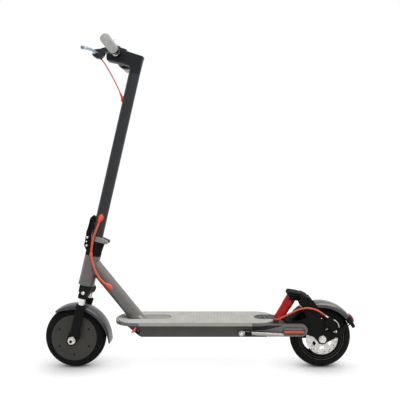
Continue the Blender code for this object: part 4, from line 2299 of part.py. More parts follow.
def make_bodies():
    """Add one empty for each body, on its joint."""
    add_body("frame", Matrix())
    add_body("steering", STEER, "frame")
    add_body("stem", Matrix.Translation(steer(FOLD_PIN_R, 0, FOLD_PIN_T)), "steering")
    latch = Matrix.Translation(steer(LEVER_PIVOT_R, 0, LEVER_PIVOT_T))
    add_body("fold_lever", latch, "steering")
    add_body("fork_lowers", STEER, "steering")
    add_body("front_wheel", place_at(0, TYRE_RADIUS), "fork_lowers")
    add_body("brake_lever", Matrix.Translation(BRAKE_PIVOT), "stem")
    add_body("throttle_lever", Matrix.Translation(BAR), "stem")
    add_body("bell_striker", Matrix.Translation(STRIKER_PIVOT), "stem")
    add_body("power_button", Matrix.Translation(button_line(0, 0)[0]), "stem")
    add_body("swingarm", place_at(PIVOT_X, PIVOT_Z), "frame")
    add_body("rear_wheel", Matrix.Translation(REAR_CENTRE), "swingarm")
    add_body("caliper_arm", Matrix.Translation(CALIPER_ARM_PIVOT), "swingarm")
    add_body("shock_body", place_at(*SHOCK_EYE_LOW), "frame")
    add_body("shock_rod", place_at(*SHOCK_EYE_HIGH), "shock_body")
    add_body("kickstand", place_at(*STAND_PIVOT), "frame")
    add_body("charge_cap", Matrix.Translation(cap_frame().translation), "frame")


def main():
    """Build the scooter."""
    clear_scene()
    make_bodies()
    frame_neck()
    deck_plate()
    deck_mat()
    deck_tub()
    base_plate()
    electrics()
    headset_bearings()
    rear_frame()
    shock_mount()
    kickstand()
    charge_cap()
    fork_crown()
    stanchion("stanchion_left", -1)
    stanchion("stanchion_right", 1)
    fold_base()
    fold_pin()
    fold_lever()
    stem_foot()
    stem_tube()
    stem_head()
    display_and_lamp()
    handlebar()
    brake_bracket()
    brake_lever()
    bell()
    bell_striker()
    throttle()
    fork_leg("fork_leg_left", -1)
    fork_leg("fork_leg_right", 1)
    front_axle()
    front_guard()
    front_wheel()
    swingarm()
    rear_axle()
    rear_guard()
    tail_light()
    brake_caliper()
    caliper_arm()
    rear_wheel()
    shock_can()
    shock_rod()
    cables()


main()
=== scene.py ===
"""Dress the folding electric scooter and stand it in a plain studio.

Metres, +Z up, forward along -X, the rider's left along -Y. Places are written in
scooter coordinates: X counts rearward from the front axle, Y from the middle plane
and Z up from the ground. Steering coordinates (r, y, t) follow the leaning steering
axis: t runs up it from the front axle's height and r rearward, square to it.
"""

from __future__ import annotations

import logging
import math
from collections.abc import Iterable, Sequence
from dataclasses import dataclass
from enum import Enum

import bmesh
import bpy
from mathutils import Matrix, Vector


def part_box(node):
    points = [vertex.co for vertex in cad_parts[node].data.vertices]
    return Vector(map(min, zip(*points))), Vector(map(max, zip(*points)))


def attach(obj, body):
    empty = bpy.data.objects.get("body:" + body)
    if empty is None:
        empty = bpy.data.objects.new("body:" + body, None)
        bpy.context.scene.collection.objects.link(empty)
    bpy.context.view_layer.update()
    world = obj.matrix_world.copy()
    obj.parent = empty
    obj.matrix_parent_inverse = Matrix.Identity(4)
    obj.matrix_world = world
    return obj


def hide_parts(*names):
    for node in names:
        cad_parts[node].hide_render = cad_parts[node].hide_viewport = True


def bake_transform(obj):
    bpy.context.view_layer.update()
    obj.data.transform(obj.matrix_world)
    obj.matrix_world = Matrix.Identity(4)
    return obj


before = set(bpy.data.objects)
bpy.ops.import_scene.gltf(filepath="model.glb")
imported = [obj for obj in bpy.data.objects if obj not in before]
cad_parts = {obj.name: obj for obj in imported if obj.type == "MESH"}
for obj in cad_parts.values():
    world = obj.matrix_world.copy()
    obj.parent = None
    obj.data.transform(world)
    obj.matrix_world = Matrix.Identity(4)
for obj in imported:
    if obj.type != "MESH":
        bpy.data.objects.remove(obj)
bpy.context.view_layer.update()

LOG = logging.getLogger("scooter")

Mesh = bmesh.types.BMesh
Point = tuple[float, float, float]
Pair = tuple[float, float]
Spots = list[Pair]
Outline = Sequence[Pair]
Rows = Sequence[tuple[float, float, bool]]
Colour = tuple[int, int, int]
Socket = bpy.types.NodeSocket

TYRE_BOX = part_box("front_tyre")
AXLE_X = (TYRE_BOX[0].x + TYRE_BOX[1].x) / 2
TYRE_RADIUS = 0.108
WHEELBASE = 0.874
STEER_LEAN = math.radians(12.85)
STEER_FOOT_X = -0.0057
STEM_TOP_T = 0.963
STEM_RADIUS = 0.02
EMBED = 0.0004
ON_AXIS = 1e-6
SMOOTH_ANGLE = 38.0
UP = Vector((0, 0, 1))
LEFTWARD = Vector((0, -1, 0))


class Slot(str, Enum):
    """Material slots of the scooter's record."""

    FRAME = "frame_paint"
    TRIM = "deck_trim"
    TUB = "tub_paint"
    MAT = "mat_rubber"
    BLACK_ALLOY = "black_alloy"
    STEM = "stem_black"
    BLACK_PLASTIC = "black_plastic"
    WINDOW = "window_plastic"
    STEEL = "bright_steel"
    CHROME = "bright_chrome"
    ALLOY = "alloy"
    MOTOR = "motor_paint"
    TYRE = "tyre_rubber"
    GUARD = "guard_plastic"
    GRIP = "grip_rubber"
    ORANGE = "orange_rubber"
    SHOCK = "shock_red"
    RED_LENS = "red_lens"
    LAMP = "lamp_lens"
    BATTERY = "battery_wrap"


class Body(str, Enum):
    """Moving bodies of the scooter."""

    FRAME = "frame"
    STEERING = "steering"
    STEM = "stem"
    FOLD_LEVER = "fold_lever"
    BRAKE_LEVER = "brake_lever"
    THROTTLE_LEVER = "throttle_lever"
    FORK = "fork_lowers"
    FRONT_WHEEL = "front_wheel"
    SWINGARM = "swingarm"
    REAR_WHEEL = "rear_wheel"
    CALIPER_ARM = "caliper_arm"
    SHOCK_BODY = "shock_body"
    SHOCK_ROD = "shock_rod"
    KICKSTAND = "kickstand"


class Side(Enum):
    """The rider's left and right, as the sign of Y."""

    LEFT = -1
    RIGHT = 1

    @property
    def word(self) -> str:
        """Return the side's name as it stands in a piece's name."""
        return self.name.lower()

    @property
    def outward(self) -> Vector:
        """Return the direction away from the scooter on this side."""
        return Vector((0, self.value, 0))


# Places


def place(x: float, y: float, z: float) -> Vector:
    """Return a point given in scooter coordinates."""
    return Vector((AXLE_X + x, y, z))


STEER = Matrix.Translation(place(STEER_FOOT_X, 0, TYRE_RADIUS)) @ Matrix.Rotation(STEER_LEAN, 4, "Y")
ACROSS = Matrix.Rotation(math.radians(-90), 4, "X")
FRONT_AXLE = Matrix.Translation(place(0, 0, TYRE_RADIUS)) @ ACROSS
REAR_AXLE = Matrix.Translation(place(WHEELBASE, 0, TYRE_RADIUS)) @ ACROSS


def steer(r: float, y: float, t: float) -> Vector:
    """Return a point given in steering coordinates."""
    return STEER @ Vector((r, y, t))


BAR = steer(0, 0, STEM_TOP_T) + Vector((-0.0585, 0, 0.0661))
REAR_CENTRE = place(WHEELBASE, 0, TYRE_RADIUS)
DOWN_TUBE_TOP = steer(0, 0, 0.272)
DOWN_TUBE_RUN = (place(0.2267, 0, 0.163) - DOWN_TUBE_TOP).normalized()


def from_bar(x: float, y: float, z: float) -> Vector:
    """Return a point given from the handlebar's middle."""
    return BAR + Vector((x, y, z))


def along(start: Vector, end: Vector) -> Matrix:
    """Return a place at start whose Z axis points to end."""
    turn = (end - start).to_track_quat("Z", "Y")
    return Matrix.Translation(start) @ turn.to_matrix().to_4x4()


# Mesh tools


def joined(*meshes: Mesh) -> Mesh:
    """Return one mesh that holds all the given ones.

    Args:
        meshes: The meshes to put together; they are freed.

    Returns:
        The joined mesh.
    """
    whole = bmesh.new()
    for mesh in meshes:
        data = bpy.data.meshes.new("joining")
        mesh.to_mesh(data)
        mesh.free()
        whole.from_mesh(data)
        bpy.data.meshes.remove(data)
    return whole


def spanned(rings: Sequence[Sequence[Vector]], closed: bool = False) -> Mesh:
    """Span a skin over rings of points.

    Args:
        rings: Rings of equal length, or single points where the skin closes.
        closed: Whether the last ring joins the first.

    Returns:
        The skin, capped at its ends where it is not closed.
    """
    mesh = bmesh.new()
    made = [[mesh.verts.new(point) for point in ring] for ring in rings]
    pairs = list(zip(made, made[1:]))
    if closed:
        pairs.append((made[-1], made[0]))
    for low, high in pairs:
        count = max(len(low), len(high))
        for k in range(count):
            corners = [low[k % len(low)], low[(k + 1) % len(low)]]
            corners += [high[(k + 1) % len(high)], high[k % len(high)]]
            distinct = list(dict.fromkeys(corners))
            if len(distinct) > 2:
                mesh.faces.new(distinct)
    if not closed:
        for ring in (made[0], made[-1]):
            if len(ring) > 2:
                mesh.faces.new(ring)
    bmesh.ops.recalc_face_normals(mesh, faces=mesh.faces)
    return mesh


def polar(radius: float, turn: float, height: float = 0.0) -> Vector:
    """Return a point at a radius, a turn in radians and a height."""
    return Vector((radius * math.cos(turn), radius * math.sin(turn), height))


def turns_round(count: int, start: float = 0.0) -> list[float]:
    """Return evenly spaced turns round a circle, from a share of a step on."""
    return [math.tau * (k + start) / count for k in range(count)]


def turned(profile: Outline, axis: Matrix, steps: int = 64) -> Mesh:
    """Turn a profile about an axis, as on a lathe.

    Args:
        profile: Points (radius, height) round the section, radius 0 on the axis.
        axis: The place whose Z is the axis.
        steps: The number of steps round it.

    Returns:
        The turned solid.
    """
    rings = []
    for radius, height in profile:
        turns = turns_round(steps if radius > ON_AXIS else 1)
        rings.append([axis @ polar(radius, turn, height) for turn in turns])
    return spanned(rings, closed=profile[0][0] > ON_AXIS)


def knurled(rows: Rows, axis: Matrix, steps: int, every: int = 3, depth: float = 0.0002) -> Mesh:
    """Turn a profile with notches cut along some of its rows.

    Args:
        rows: Rows (radius, height, notched), from one end of the solid to the other.
        axis: The place whose Z is the axis.
        steps: The number of steps round it.
        every: How many steps lie between notches.
        depth: The depth of a notch.

    Returns:
        The knurled solid.
    """
    rings = []
    for radius, height, notched in rows:
        ring = []
        for k, turn in enumerate(turns_round(steps if radius > 0 else 1)):
            reach = radius - (depth if notched and k % every == 0 else 0.0)
            ring.append(axis @ polar(reach, turn, height))
        rings.append(ring)
    return spanned(rings)


def rounded_ring(centre: Vector, reach: Vector, half_width: float, corner: float) -> list[Vector]:
    """Return a ring round a rounded rectangle that stands across the scooter.

    Args:
        centre: Its centre.
        reach: From the centre to the middle of one end, square to Y.
        half_width: Half its width along Y.
        corner: The radius of its corners.

    Returns:
        The ring's points.
    """
    length = reach.length
    along_reach = reach / length
    ring = []
    for quarter in range(4):
        for step in range(7):
            turn = math.radians(90 * quarter + 15 * step)
            u = corner * math.cos(turn)
            v = corner * math.sin(turn)
            u += (length - corner) * (1 if quarter in (0, 3) else -1)
            v += (half_width - corner) * (1 if quarter < 2 else -1)
            ring.append(centre + along_reach * u + Vector((0, v, 0)))
    return ring


def tube(points: Sequence[Vector], radii: Sequence[float], sides: int = 16) -> Mesh:
    """Sweep a circle along points without twisting it.

    Args:
        points: The centres.
        radii: The radius at each centre.
        sides: The number of sides.

    Returns:
        The tube with flat ends.
    """
    rings = []
    normal = Vector((0.0, 1.0, 0.0))
    for k, (centre, radius) in enumerate(zip(points, radii)):
        run = points[min(k + 1, len(points) - 1)] - points[max(k - 1, 0)]
        run.normalize()
        normal = (normal - run * normal.dot(run)).normalized()
        other = run.cross(normal)
        ring = []
        for step in range(sides):
            turn = math.tau * step / sides
            ring.append(centre + (normal * math.cos(turn) + other * math.sin(turn)) * radius)
        rings.append(ring)
    return spanned(rings)


def prism(outline: Iterable[Sequence[float]], low: float, high: float) -> Mesh:
    """Draw a side view (x, z) out across the scooter from low Y to high Y."""
    points = list(outline)
    return spanned([[place(x, y, z) for x, z in points] for y in (low, high)])


def slab(outline: Iterable[Sequence[float]], low: float, high: float) -> Mesh:
    """Draw a plan (x, y) up from low Z to high Z."""
    points = list(outline)
    return spanned([[place(x, y, z) for x, y in points] for z in (low, high)])


def rod(start: Vector, end: Vector, radius: float, chamfer: float = 0.0, steps: int = 32) -> Mesh:
    """Return a round bar between two points, chamfered at both ends."""
    length = (end - start).length
    profile = [(0, 0), (radius - chamfer, 0), (radius, chamfer)]
    profile += [(radius, length - chamfer), (radius - chamfer, length), (0, length)]
    if chamfer <= 0:
        profile = profile[:2] + profile[4:]
    return turned(profile, along(start, end), steps)


def arc(centre: Sequence[float], radius: float, start: float, end: float, steps: int) -> Spots:
    """Return points on an arc between two angles in degrees."""
    turns = [math.radians(start + (end - start) * k / steps) for k in range(steps + 1)]
    x, y = centre
    return [(x + radius * math.cos(a), y + radius * math.sin(a)) for a in turns]


def pill(start: float, end: float, middle: float, radius: float, steps: int) -> Spots:
    """Return an outline with two straight sides and two round ends.

    Args:
        start: Where it begins, along its length.
        end: Where it ends.
        middle: The place of its middle line.
        radius: The radius of its ends.
        steps: The number of steps round each end.

    Returns:
        The outline.
    """
    first = arc((start, middle), radius, 90, 270, steps)
    return first + arc((end, middle), radius, 270, 450, steps)


def filleted(corners: Sequence[Sequence[float]], steps: int = 5) -> Spots:
    """Round an outline's corners.

    Args:
        corners: Points (x, y, corner radius).
        steps: The number of steps round each corner.

    Returns:
        The rounded outline.
    """
    outline = []
    for k, (x, y, radius) in enumerate(corners):
        here = Vector((x, y))
        to_last = Vector(corners[k - 1][:2]) - here
        to_next = Vector(corners[(k + 1) % len(corners)][:2]) - here
        opening = to_last.angle(to_next)
        if radius <= 0 or opening > math.pi - 0.02:
            outline.append((x, y))
            continue
        reach = radius / math.tan(opening / 2)
        reach = min(reach, to_last.length * 0.48, to_next.length * 0.48)
        first = here + to_last.normalized() * reach
        last = here + to_next.normalized() * reach
        for step in range(steps + 1):
            u = step / steps
            spot = first * (1 - u) ** 2 + here * 2 * u * (1 - u) + last * u**2
            outline.append((spot.x, spot.y))
    return outline


def smooth_route(points: Sequence[Vector], count: int) -> list[Vector]:
    """Read evenly spaced points from one smooth curve through a route's points.

    Args:
        points: The route's points.
        count: The number of steps wanted.

    Returns:
        The points along the curve.
    """
    padded = [2 * points[0] - points[1], *points, 2 * points[-1] - points[-2]]
    fine = []
    for p0, p1, p2, p3 in zip(padded, padded[1:], padded[2:], padded[3:]):
        for step in range(12):
            u = step / 12
            bend = (2 * p0 - 5 * p1 + 4 * p2 - p3) * u**2
            twist = (3 * p1 - p0 - 3 * p2 + p3) * u**3
            fine.append(0.5 * (2 * p1 + (p2 - p0) * u + bend + twist))
    fine.append(points[-1].copy())
    lengths = [0.0]
    for a, b in zip(fine, fine[1:]):
        lengths.append(lengths[-1] + (b - a).length)
    route = []
    spot = 0
    for k in range(count + 1):
        target = lengths[-1] * k / count
        while spot < len(fine) - 2 and lengths[spot + 1] < target:
            spot += 1
        share = (target - lengths[spot]) / (lengths[spot + 1] - lengths[spot])
        route.append(fine[spot].lerp(fine[spot + 1], share))
    return route


def carved(solid: Mesh, *cutters: Mesh) -> Mesh:
    """Cut solids out of another.

    Args:
        solid: The solid to carve.
        cutters: What is taken out; they don't overlap one another.

    Returns:
        The carved solid.
    """
    objects = []
    for name, mesh in (("carving", solid), ("cutter", joined(*cutters))):
        data = bpy.data.meshes.new(name)
        mesh.to_mesh(data)
        mesh.free()
        made = bpy.data.objects.new(name, data)
        bpy.context.scene.collection.objects.link(made)
        objects.append(made)
    block, tool = objects
    cut = block.modifiers.new("cut", "BOOLEAN")
    cut.operation = "DIFFERENCE"
    cut.solver = "EXACT"
    cut.object = tool
    graph = bpy.context.evaluated_depsgraph_get()
    result = bmesh.new()
    result.from_mesh(block.evaluated_get(graph).to_mesh())
    for made in objects:
        data = made.data
        bpy.data.objects.remove(made)
        bpy.data.meshes.remove(data)
    return result


# Finishes


def linear(colour: Colour, level: float = 1.0) -> tuple[float, float, float, float]:
    """Return a screen colour as the linear values that a shader takes.

    Args:
        colour: Red, green and blue from 0 to 255.
        level: A factor on the linear values.

    Returns:
        Red, green, blue and 1.
    """
    values = []
    for part in colour:
        share = part / 255
        value = share / 12.92 if share <= 0.04045 else ((share + 0.055) / 1.055) ** 2.4
        values.append(min(value * level, 1.0))
    return (*values, 1.0)


class Nodes:
    """A node tree, with short ways to add to it."""

    def __init__(self, owner: bpy.types.Material | bpy.types.World) -> None:
        """Start an empty tree for a material or a world."""
        owner.use_nodes = True
        self.tree = owner.node_tree
        self.tree.nodes.clear()

    def node(self, kind: str, inputs: dict | None = None, **settings: object) -> bpy.types.Node:
        """Add a node.

        Args:
            kind: The node's type.
            inputs: Values or sockets by input name or index.
            settings: The node's own settings.

        Returns:
            The node.
        """
        made = self.tree.nodes.new(kind)
        for name, value in settings.items():
            setattr(made, name, value)
        for name, value in (inputs or {}).items():
            self.feed(made.inputs[name], value)
        return made

    def feed(self, socket: Socket, value: object) -> None:
        """Link a socket to an input, or set the input's own value."""
        if isinstance(value, Socket):
            self.tree.links.new(value, socket)
        else:
            socket.default_value = value

    def maths(self, operation: str, first: object, second: object) -> Socket:
        """Return the result of a sum on two values."""
        return self.node("ShaderNodeMath", {0: first, 1: second}, operation=operation).outputs[0]

    def seen(self) -> Socket:
        """Return 1 for camera, glossy and transmission rays, and 0 for others."""
        path = self.node("ShaderNodeLightPath").outputs
        value = path["Is Camera Ray"]
        for name in ("Is Glossy Ray", "Is Transmission Ray"):
            value = self.maths("MAXIMUM", value, path[name])
        return value


class Wiring(Nodes):
    """The node tree of one finish, with the few nodes that every finish uses."""

    def __init__(self, name: str) -> None:
        """Start a material with one principled shader."""
        self.material = bpy.data.materials.new(name)
        super().__init__(self.material)
        self.shader = self.node("ShaderNodeBsdfPrincipled")
        self.node("ShaderNodeOutputMaterial", {"Surface": self.shader.outputs["BSDF"]})
        self.place = self.node("ShaderNodeTexCoord").outputs["Object"]

    def paint(self, colour: Socket) -> None:
        """Give the surface its colour."""
        self.feed(self.shader.inputs["Base Color"], colour)

    def stretched(self, scale: Point) -> Socket:
        """Return the place scaled along each axis."""
        inputs = {0: self.place, 1: scale}
        return self.node("ShaderNodeVectorMath", inputs, operation="MULTIPLY").outputs[0]

    def noise(self, scale: float, detail: float = 3.0, vector: Socket | None = None) -> Socket:
        """Return a noise value of a scale in grains a metre."""
        inputs = {"Vector": vector or self.place, "Scale": scale, "Detail": detail}
        return self.node("ShaderNodeTexNoise", inputs).outputs["Fac"]

    def cells(self, scale: float) -> Socket:
        """Return the distance to the nearest of scattered points."""
        inputs = {"Vector": self.place, "Scale": scale}
        return self.node("ShaderNodeTexVoronoi", inputs).outputs["Distance"]

    def spread(
        self, value: Socket, low: float, high: float, to_low: float = 0.0, to_high: float = 1.0
    ) -> Socket:
        """Map a value from one range to another, clamped."""
        inputs = {0: value, 1: low, 2: high, 3: to_low, 4: to_high}
        return self.node("ShaderNodeMapRange", inputs).outputs[0]

    def mixed(self, share: object, first: object, second: object) -> Socket:
        """Mix two colours by a share."""
        inputs = {0: share, 6: first, 7: second}
        return self.node("ShaderNodeMix", inputs, data_type="RGBA").outputs[2]

    def edges(self, radius: float) -> tuple[Socket, Socket]:
        """Find the edges.

        Args:
            radius: How far from an edge it counts, in metres.

        Returns:
            A value that is 1 on sharp edges, and the normal rounded over them.
        """
        soft = self.node("ShaderNodeBevel", {"Radius": radius}, samples=4).outputs[0]
        flat = self.node("ShaderNodeNewGeometry").outputs["Normal"]
        dot = self.node("ShaderNodeVectorMath", {0: soft, 1: flat}, operation="DOT_PRODUCT")
        return self.spread(dot.outputs["Value"], 0.97, 0.86), soft

    def relief(
        self, height: Socket, strength: float, distance: float, normal: Socket | None = None
    ) -> None:
        """Raise a surface relief from a height value."""
        inputs = {"Height": height, "Strength": strength, "Distance": distance}
        if normal is not None:
            inputs["Normal"] = normal
        bump = self.node("ShaderNodeBump", inputs)
        self.feed(self.shader.inputs["Normal"], bump.outputs["Normal"])


@dataclass(frozen=True)
class Finish:
    """What a surface is made of; each kind wires its own nodes."""

    name: str
    slot: Slot
    colour: Colour
    rough: float
    metallic: float = 0.0
    specular: float = 0.5
    coat: float = 0.0

    def material(self) -> bpy.types.Material:
        """Return the finish's material, made on first use."""
        found = bpy.data.materials.get(self.name)
        if found is not None:
            return found
        wiring = Wiring(self.name)
        self.settle(wiring)
        self.wire(wiring)
        return wiring.material

    def settle(self, wiring: Wiring) -> None:
        """Set the values that are the same all over the surface."""
        inputs = wiring.shader.inputs
        inputs["Metallic"].default_value = self.metallic
        inputs["Specular IOR Level"].default_value = self.specular
        inputs["Coat Weight"].default_value = self.coat
        inputs["Coat Roughness"].default_value = 0.12

    def wire(self, wiring: Wiring) -> None:
        """Wire the colour, the roughness and the relief."""
        raise NotImplementedError

    def shades(self, wiring: Wiring, scale: float, depth: float) -> Socket:
        """Return the colour, clouded lighter and darker by a depth."""
        cloud = wiring.spread(wiring.noise(scale, 4.0), 0.3, 0.7)
        dark = linear(self.colour, 1 - depth)
        light = linear(self.colour, 1 + depth)
        return wiring.mixed(cloud, dark, light)

    def handled(
        self, wiring: Wiring, scale: float, detail: float, less: float, more: float, low: float = 0.3
    ) -> None:
        """Make the gloss uneven.

        Args:
            wiring: The finish's node tree.
            scale: The grains a metre of the handled patches.
            detail: How finely they are broken up.
            less: How far the roughness falls below the finish's own.
            more: How far it rises above it.
            low: The noise value at which it starts to rise.
        """
        patches = wiring.noise(scale, detail)
        rough = wiring.spread(patches, low, 0.7, self.rough - less, self.rough + more)
        wiring.feed(wiring.shader.inputs["Roughness"], rough)


@dataclass(frozen=True)
class Paint(Finish):
    """Sprayed or powder-coated metal with fine flakes and rubbed edges."""

    bare: Colour = (170, 168, 160)
    wear: float = 0.5
    flakes: float = 0.1
    peel: float = 900.0
    rounding: float = 0.0009

    def wire(self, wiring: Wiring) -> None:
        """Wire clouded colour, flakes, rubbed edges and orange peel."""
        base = self.shades(wiring, 14.0, 0.07)
        fleck = wiring.spread(wiring.noise(2600.0, 1.0), 0.56, 0.72, 0.0, self.flakes)
        base = wiring.mixed(fleck, base, linear(self.bare))
        edge, soft = wiring.edges(self.rounding)
        patches = wiring.spread(wiring.noise(210.0, 5.0), 0.46, 0.66)
        worn = wiring.maths("MULTIPLY", edge, patches)
        worn = wiring.maths("MULTIPLY", worn, self.wear)
        wiring.paint(wiring.mixed(worn, base, linear(self.bare)))
        self.handled(wiring, 32.0, 5.0, 0.06, 0.08)
        wiring.relief(wiring.noise(self.peel, 2.0), 0.25, 0.00012, soft)


@dataclass(frozen=True)
class Rubber(Finish):
    """Moulded rubber with pores and pale dust."""

    dust: Colour = (92, 88, 80)
    dusty: float = 0.18
    pores: float = 1500.0
    depth: float = 0.35

    def wire(self, wiring: Wiring) -> None:
        """Wire clouded colour, dust, pores and a dry, uneven gloss."""
        base = self.shades(wiring, 24.0, 0.07)
        drift = wiring.spread(wiring.noise(60.0, 6.0), 0.48, 0.74, 0.0, self.dusty)
        wiring.paint(wiring.mixed(drift, base, linear(self.dust)))
        self.handled(wiring, 90.0, 4.0, 0.08, 0.08)
        grain = wiring.maths("ADD", wiring.noise(self.pores, 2.0), wiring.cells(1100.0))
        wiring.relief(grain, self.depth, 0.00016)


@dataclass(frozen=True)
class Metal(Finish):
    """Bare or plated metal, brushed along or turned about an axis."""

    brushed: Point = (1.0, 1.0, 1.0)
    scratch: float = 0.1
    stains: float = 0.1

    def wire(self, wiring: Wiring) -> None:
        """Wire brush lines, faint stains, a painted highlight on sharp edges and an uneven polish."""
        lines = wiring.noise(700.0, 3.0, wiring.stretched(self.brushed))
        base = self.shades(wiring, 40.0, self.stains)
        shade = wiring.spread(lines, 0.35, 0.65, 0.0, 0.25)
        base = wiring.mixed(shade, base, linear(self.colour, 0.72))
        edge, soft = wiring.edges(0.0005)
        # Painted highlight: sharp edges are lightened towards near-white, as if they caught the light.
        bright = wiring.maths("MULTIPLY", edge, 0.35)
        wiring.paint(wiring.mixed(bright, base, (0.86, 0.86, 0.85, 1.0)))
        self.handled(wiring, 150.0, 5.0, 0.05, 0.12)
        wiring.relief(lines, self.scratch, 0.00006, soft)


@dataclass(frozen=True)
class Plastic(Finish):
    """Injection-moulded plastic with a spark-eroded grain."""

    grain: float = 1300.0
    depth: float = 0.25

    def wire(self, wiring: Wiring) -> None:
        """Wire clouded colour, a painted highlight on sharp edges, moulded grain and handled gloss."""
        base = self.shades(wiring, 18.0, 0.06)
        edge, soft = wiring.edges(0.0008)
        # Painted highlight: sharp edges are lightened, as if they caught the light.
        pale = wiring.maths("MULTIPLY", edge, 0.25)
        wiring.paint(wiring.mixed(pale, base, linear(self.colour, 1.9)))
        self.handled(wiring, 45.0, 5.0, 0.06, 0.08)
        wiring.relief(wiring.cells(self.grain), self.depth, 0.0001, soft)


@dataclass(frozen=True)
class Lens(Finish):
    """Clear or tinted plastic over a moulded prism field."""

    prisms: float = 700.0

    def wire(self, wiring: Wiring) -> None:
        """Wire depth of tint, fine smudges and the prism field."""
        field = wiring.cells(self.prisms)
        shade = wiring.spread(field, 0.1, 0.7)
        wiring.paint(wiring.mixed(shade, linear(self.colour, 1.15), linear(self.colour, 0.7)))
        self.handled(wiring, 70.0, 6.0, 0.0, 0.14, 0.35)
        wiring.relief(field, 0.2, 0.0002)


FRAME_PAINT = Paint("frame_grey_paint", Slot.FRAME, (90, 88, 85), 0.36, 0.3, 0.6, coat=0.6)
TRIM_PAINT = Paint("deck_trim_paint", Slot.TRIM, (170, 167, 161), 0.5, 0.2, 0.2, bare=(192, 190, 184))
INLAY_PAINT = Paint(
    "deck_inlay_paint", Slot.TRIM, (142, 139, 134), 0.55, 0.2, 0.2, bare=(190, 188, 182)
)
TUB_PAINT = Paint("deck_tub_paint", Slot.TUB, (84, 83, 80), 0.5, 0.3, 0.15, bare=(120, 118, 112))
PLATE_PAINT = Paint(
    "shock_plate_paint", Slot.BLACK_ALLOY, (76, 75, 71), 0.5, 0.3, 0.15, bare=(140, 138, 130)
)
# Painted shadow: the dark grey of the shade that the deck trim's overhang casts on the rear arms.
PAINTED_SHADOW = Paint("tail_panel_paint", Slot.TUB, (48, 47, 45), 0.55, 0.2, 0.1, bare=(90, 88, 84))
RAIL_PAINT = Paint("reflector_rail_paint", Slot.FRAME, (122, 124, 126), 0.45, 0.3, 0.2)
MAT_RUBBER = Rubber(
    "deck_mat_rubber", Slot.MAT, (185, 183, 178), 0.8, specular=0.15,
    dust=(168, 165, 158), dusty=0.06, depth=0.25,
)
BLACK_ALLOY = Paint(
    "black_alloy_coat", Slot.BLACK_ALLOY, (29, 29, 28), 0.6, 0.0, 0.03, wear=0.2,
    flakes=0.02, bare=(90, 90, 88),
)
STEM_PAINT = Paint(
    "stem_black_coat", Slot.STEM, (50, 51, 53), 0.4, 0.2, 0.25, wear=0.15, flakes=0.03,
    bare=(110, 110, 110),
)
HEAD_PAINT = Paint(
    "head_black_coat", Slot.STEM, (41, 42, 47), 0.42, 0.2, 0.12, wear=0.2, flakes=0.03,
    bare=(110, 110, 112),
)
MOTOR_PAINT = Paint(
    "motor_grey_paint", Slot.MOTOR, (68, 67, 63), 0.45, 0.3, 0.15, flakes=0.05, bare=(130, 128, 122)
)
BLACK_PLASTIC = Plastic(
    "black_moulding", Slot.BLACK_PLASTIC, (30, 31, 35), 0.38, specular=0.3, coat=0.08
)
SCREW_BLACK = Plastic("blackened_screw_steel", Slot.BLACK_ALLOY, (18, 18, 18), 0.4, 0.4, 0.2, depth=0.1)
GUARD_FRONT = Plastic("front_guard_moulding", Slot.GUARD, (47, 47, 51), 0.32, specular=0.4, coat=0.15)
GUARD_REAR = Plastic("rear_guard_moulding", Slot.GUARD, (50, 50, 52), 0.28, specular=0.5, coat=0.4)
STEEL = Metal("plated_steel", Slot.STEEL, (214, 213, 208), 0.24, 1.0, brushed=(1.0, 6.0, 1.0))
STANCHION_CHROME = Metal(
    "stanchion_chrome", Slot.CHROME, (226, 226, 224), 0.14, 1.0, brushed=(8.0, 8.0, 1.0), scratch=0.04
)
DISC_STEEL = Metal(
    "ground_disc_steel", Slot.STEEL, (206, 203, 198), 0.34, 0.9, brushed=(3.0, 1.0, 3.0), scratch=0.2
)
BELL_CHROME = Metal("bell_chrome", Slot.CHROME, (222, 224, 234), 0.1, 1.0, scratch=0.02, stains=0.04)
ALLOY = Metal("cast_alloy", Slot.ALLOY, (138, 138, 135), 0.42, 0.7)
BLADE_ALLOY = Metal("brake_blade_alloy", Slot.ALLOY, (178, 204, 220), 0.4, 0.1, brushed=(4.0, 1.0, 4.0))
TIP_GREY = Plastic("blade_tip_grey", Slot.ALLOY, (128, 136, 144), 0.4, specular=0.3, grain=2200.0)
STAND_ALLOY = Metal("kickstand_alloy", Slot.ALLOY, (170, 167, 162), 0.42, 0.5, brushed=(1.0, 5.0, 5.0))
TYRE_RUBBER = Rubber("tyre_tread_rubber", Slot.TYRE, (22, 22, 21), 0.75, specular=0.08, dusty=0.05)
GRIP_RUBBER = Rubber(
    "grip_grey_rubber", Slot.GRIP, (188, 187, 184), 0.72, specular=0.2,
    dust=(172, 170, 166), dusty=0.04, depth=0.12,
)
BLACK_RUBBER = Rubber("black_seal_rubber", Slot.TYRE, (18, 18, 18), 0.66, specular=0.1, dusty=0.04)
ORANGE_RUBBER = Rubber(
    "orange_boot_rubber", Slot.ORANGE, (238, 84, 54), 0.5, specular=0.3, dust=(200, 70, 46), coat=0.05
)
SLEEVE = Rubber(
    "orange_cable_sleeve", Slot.ORANGE, (224, 94, 64), 0.42, specular=0.3, dust=(184, 76, 52), coat=0.1
)
REFLECTOR = Lens("orange_reflector", Slot.ORANGE, (240, 98, 70), 0.2, specular=0.2)
SHOCK_RED = Paint(
    "shock_red_anodised", Slot.SHOCK, (188, 32, 27), 0.3, 0.2, 0.15, coat=0.06,
    bare=(214, 96, 84), wear=0.2, flakes=0.02,
)
RED_LENS = Lens("tail_lens", Slot.RED_LENS, (176, 26, 22), 0.15, specular=0.3, coat=0.1)
LAMP_LENS = Lens("lamp_glass", Slot.LAMP, (214, 218, 222), 0.08, coat=0.4, prisms=420.0)
WINDOW = Lens("display_glass", Slot.WINDOW, (22, 26, 34), 0.06, coat=0.3, prisms=90.0)
BATTERY_WRAP = Plastic("battery_shrink_wrap", Slot.BATTERY, (38, 82, 150), 0.3, coat=0.2)


# The bench on which pieces are made


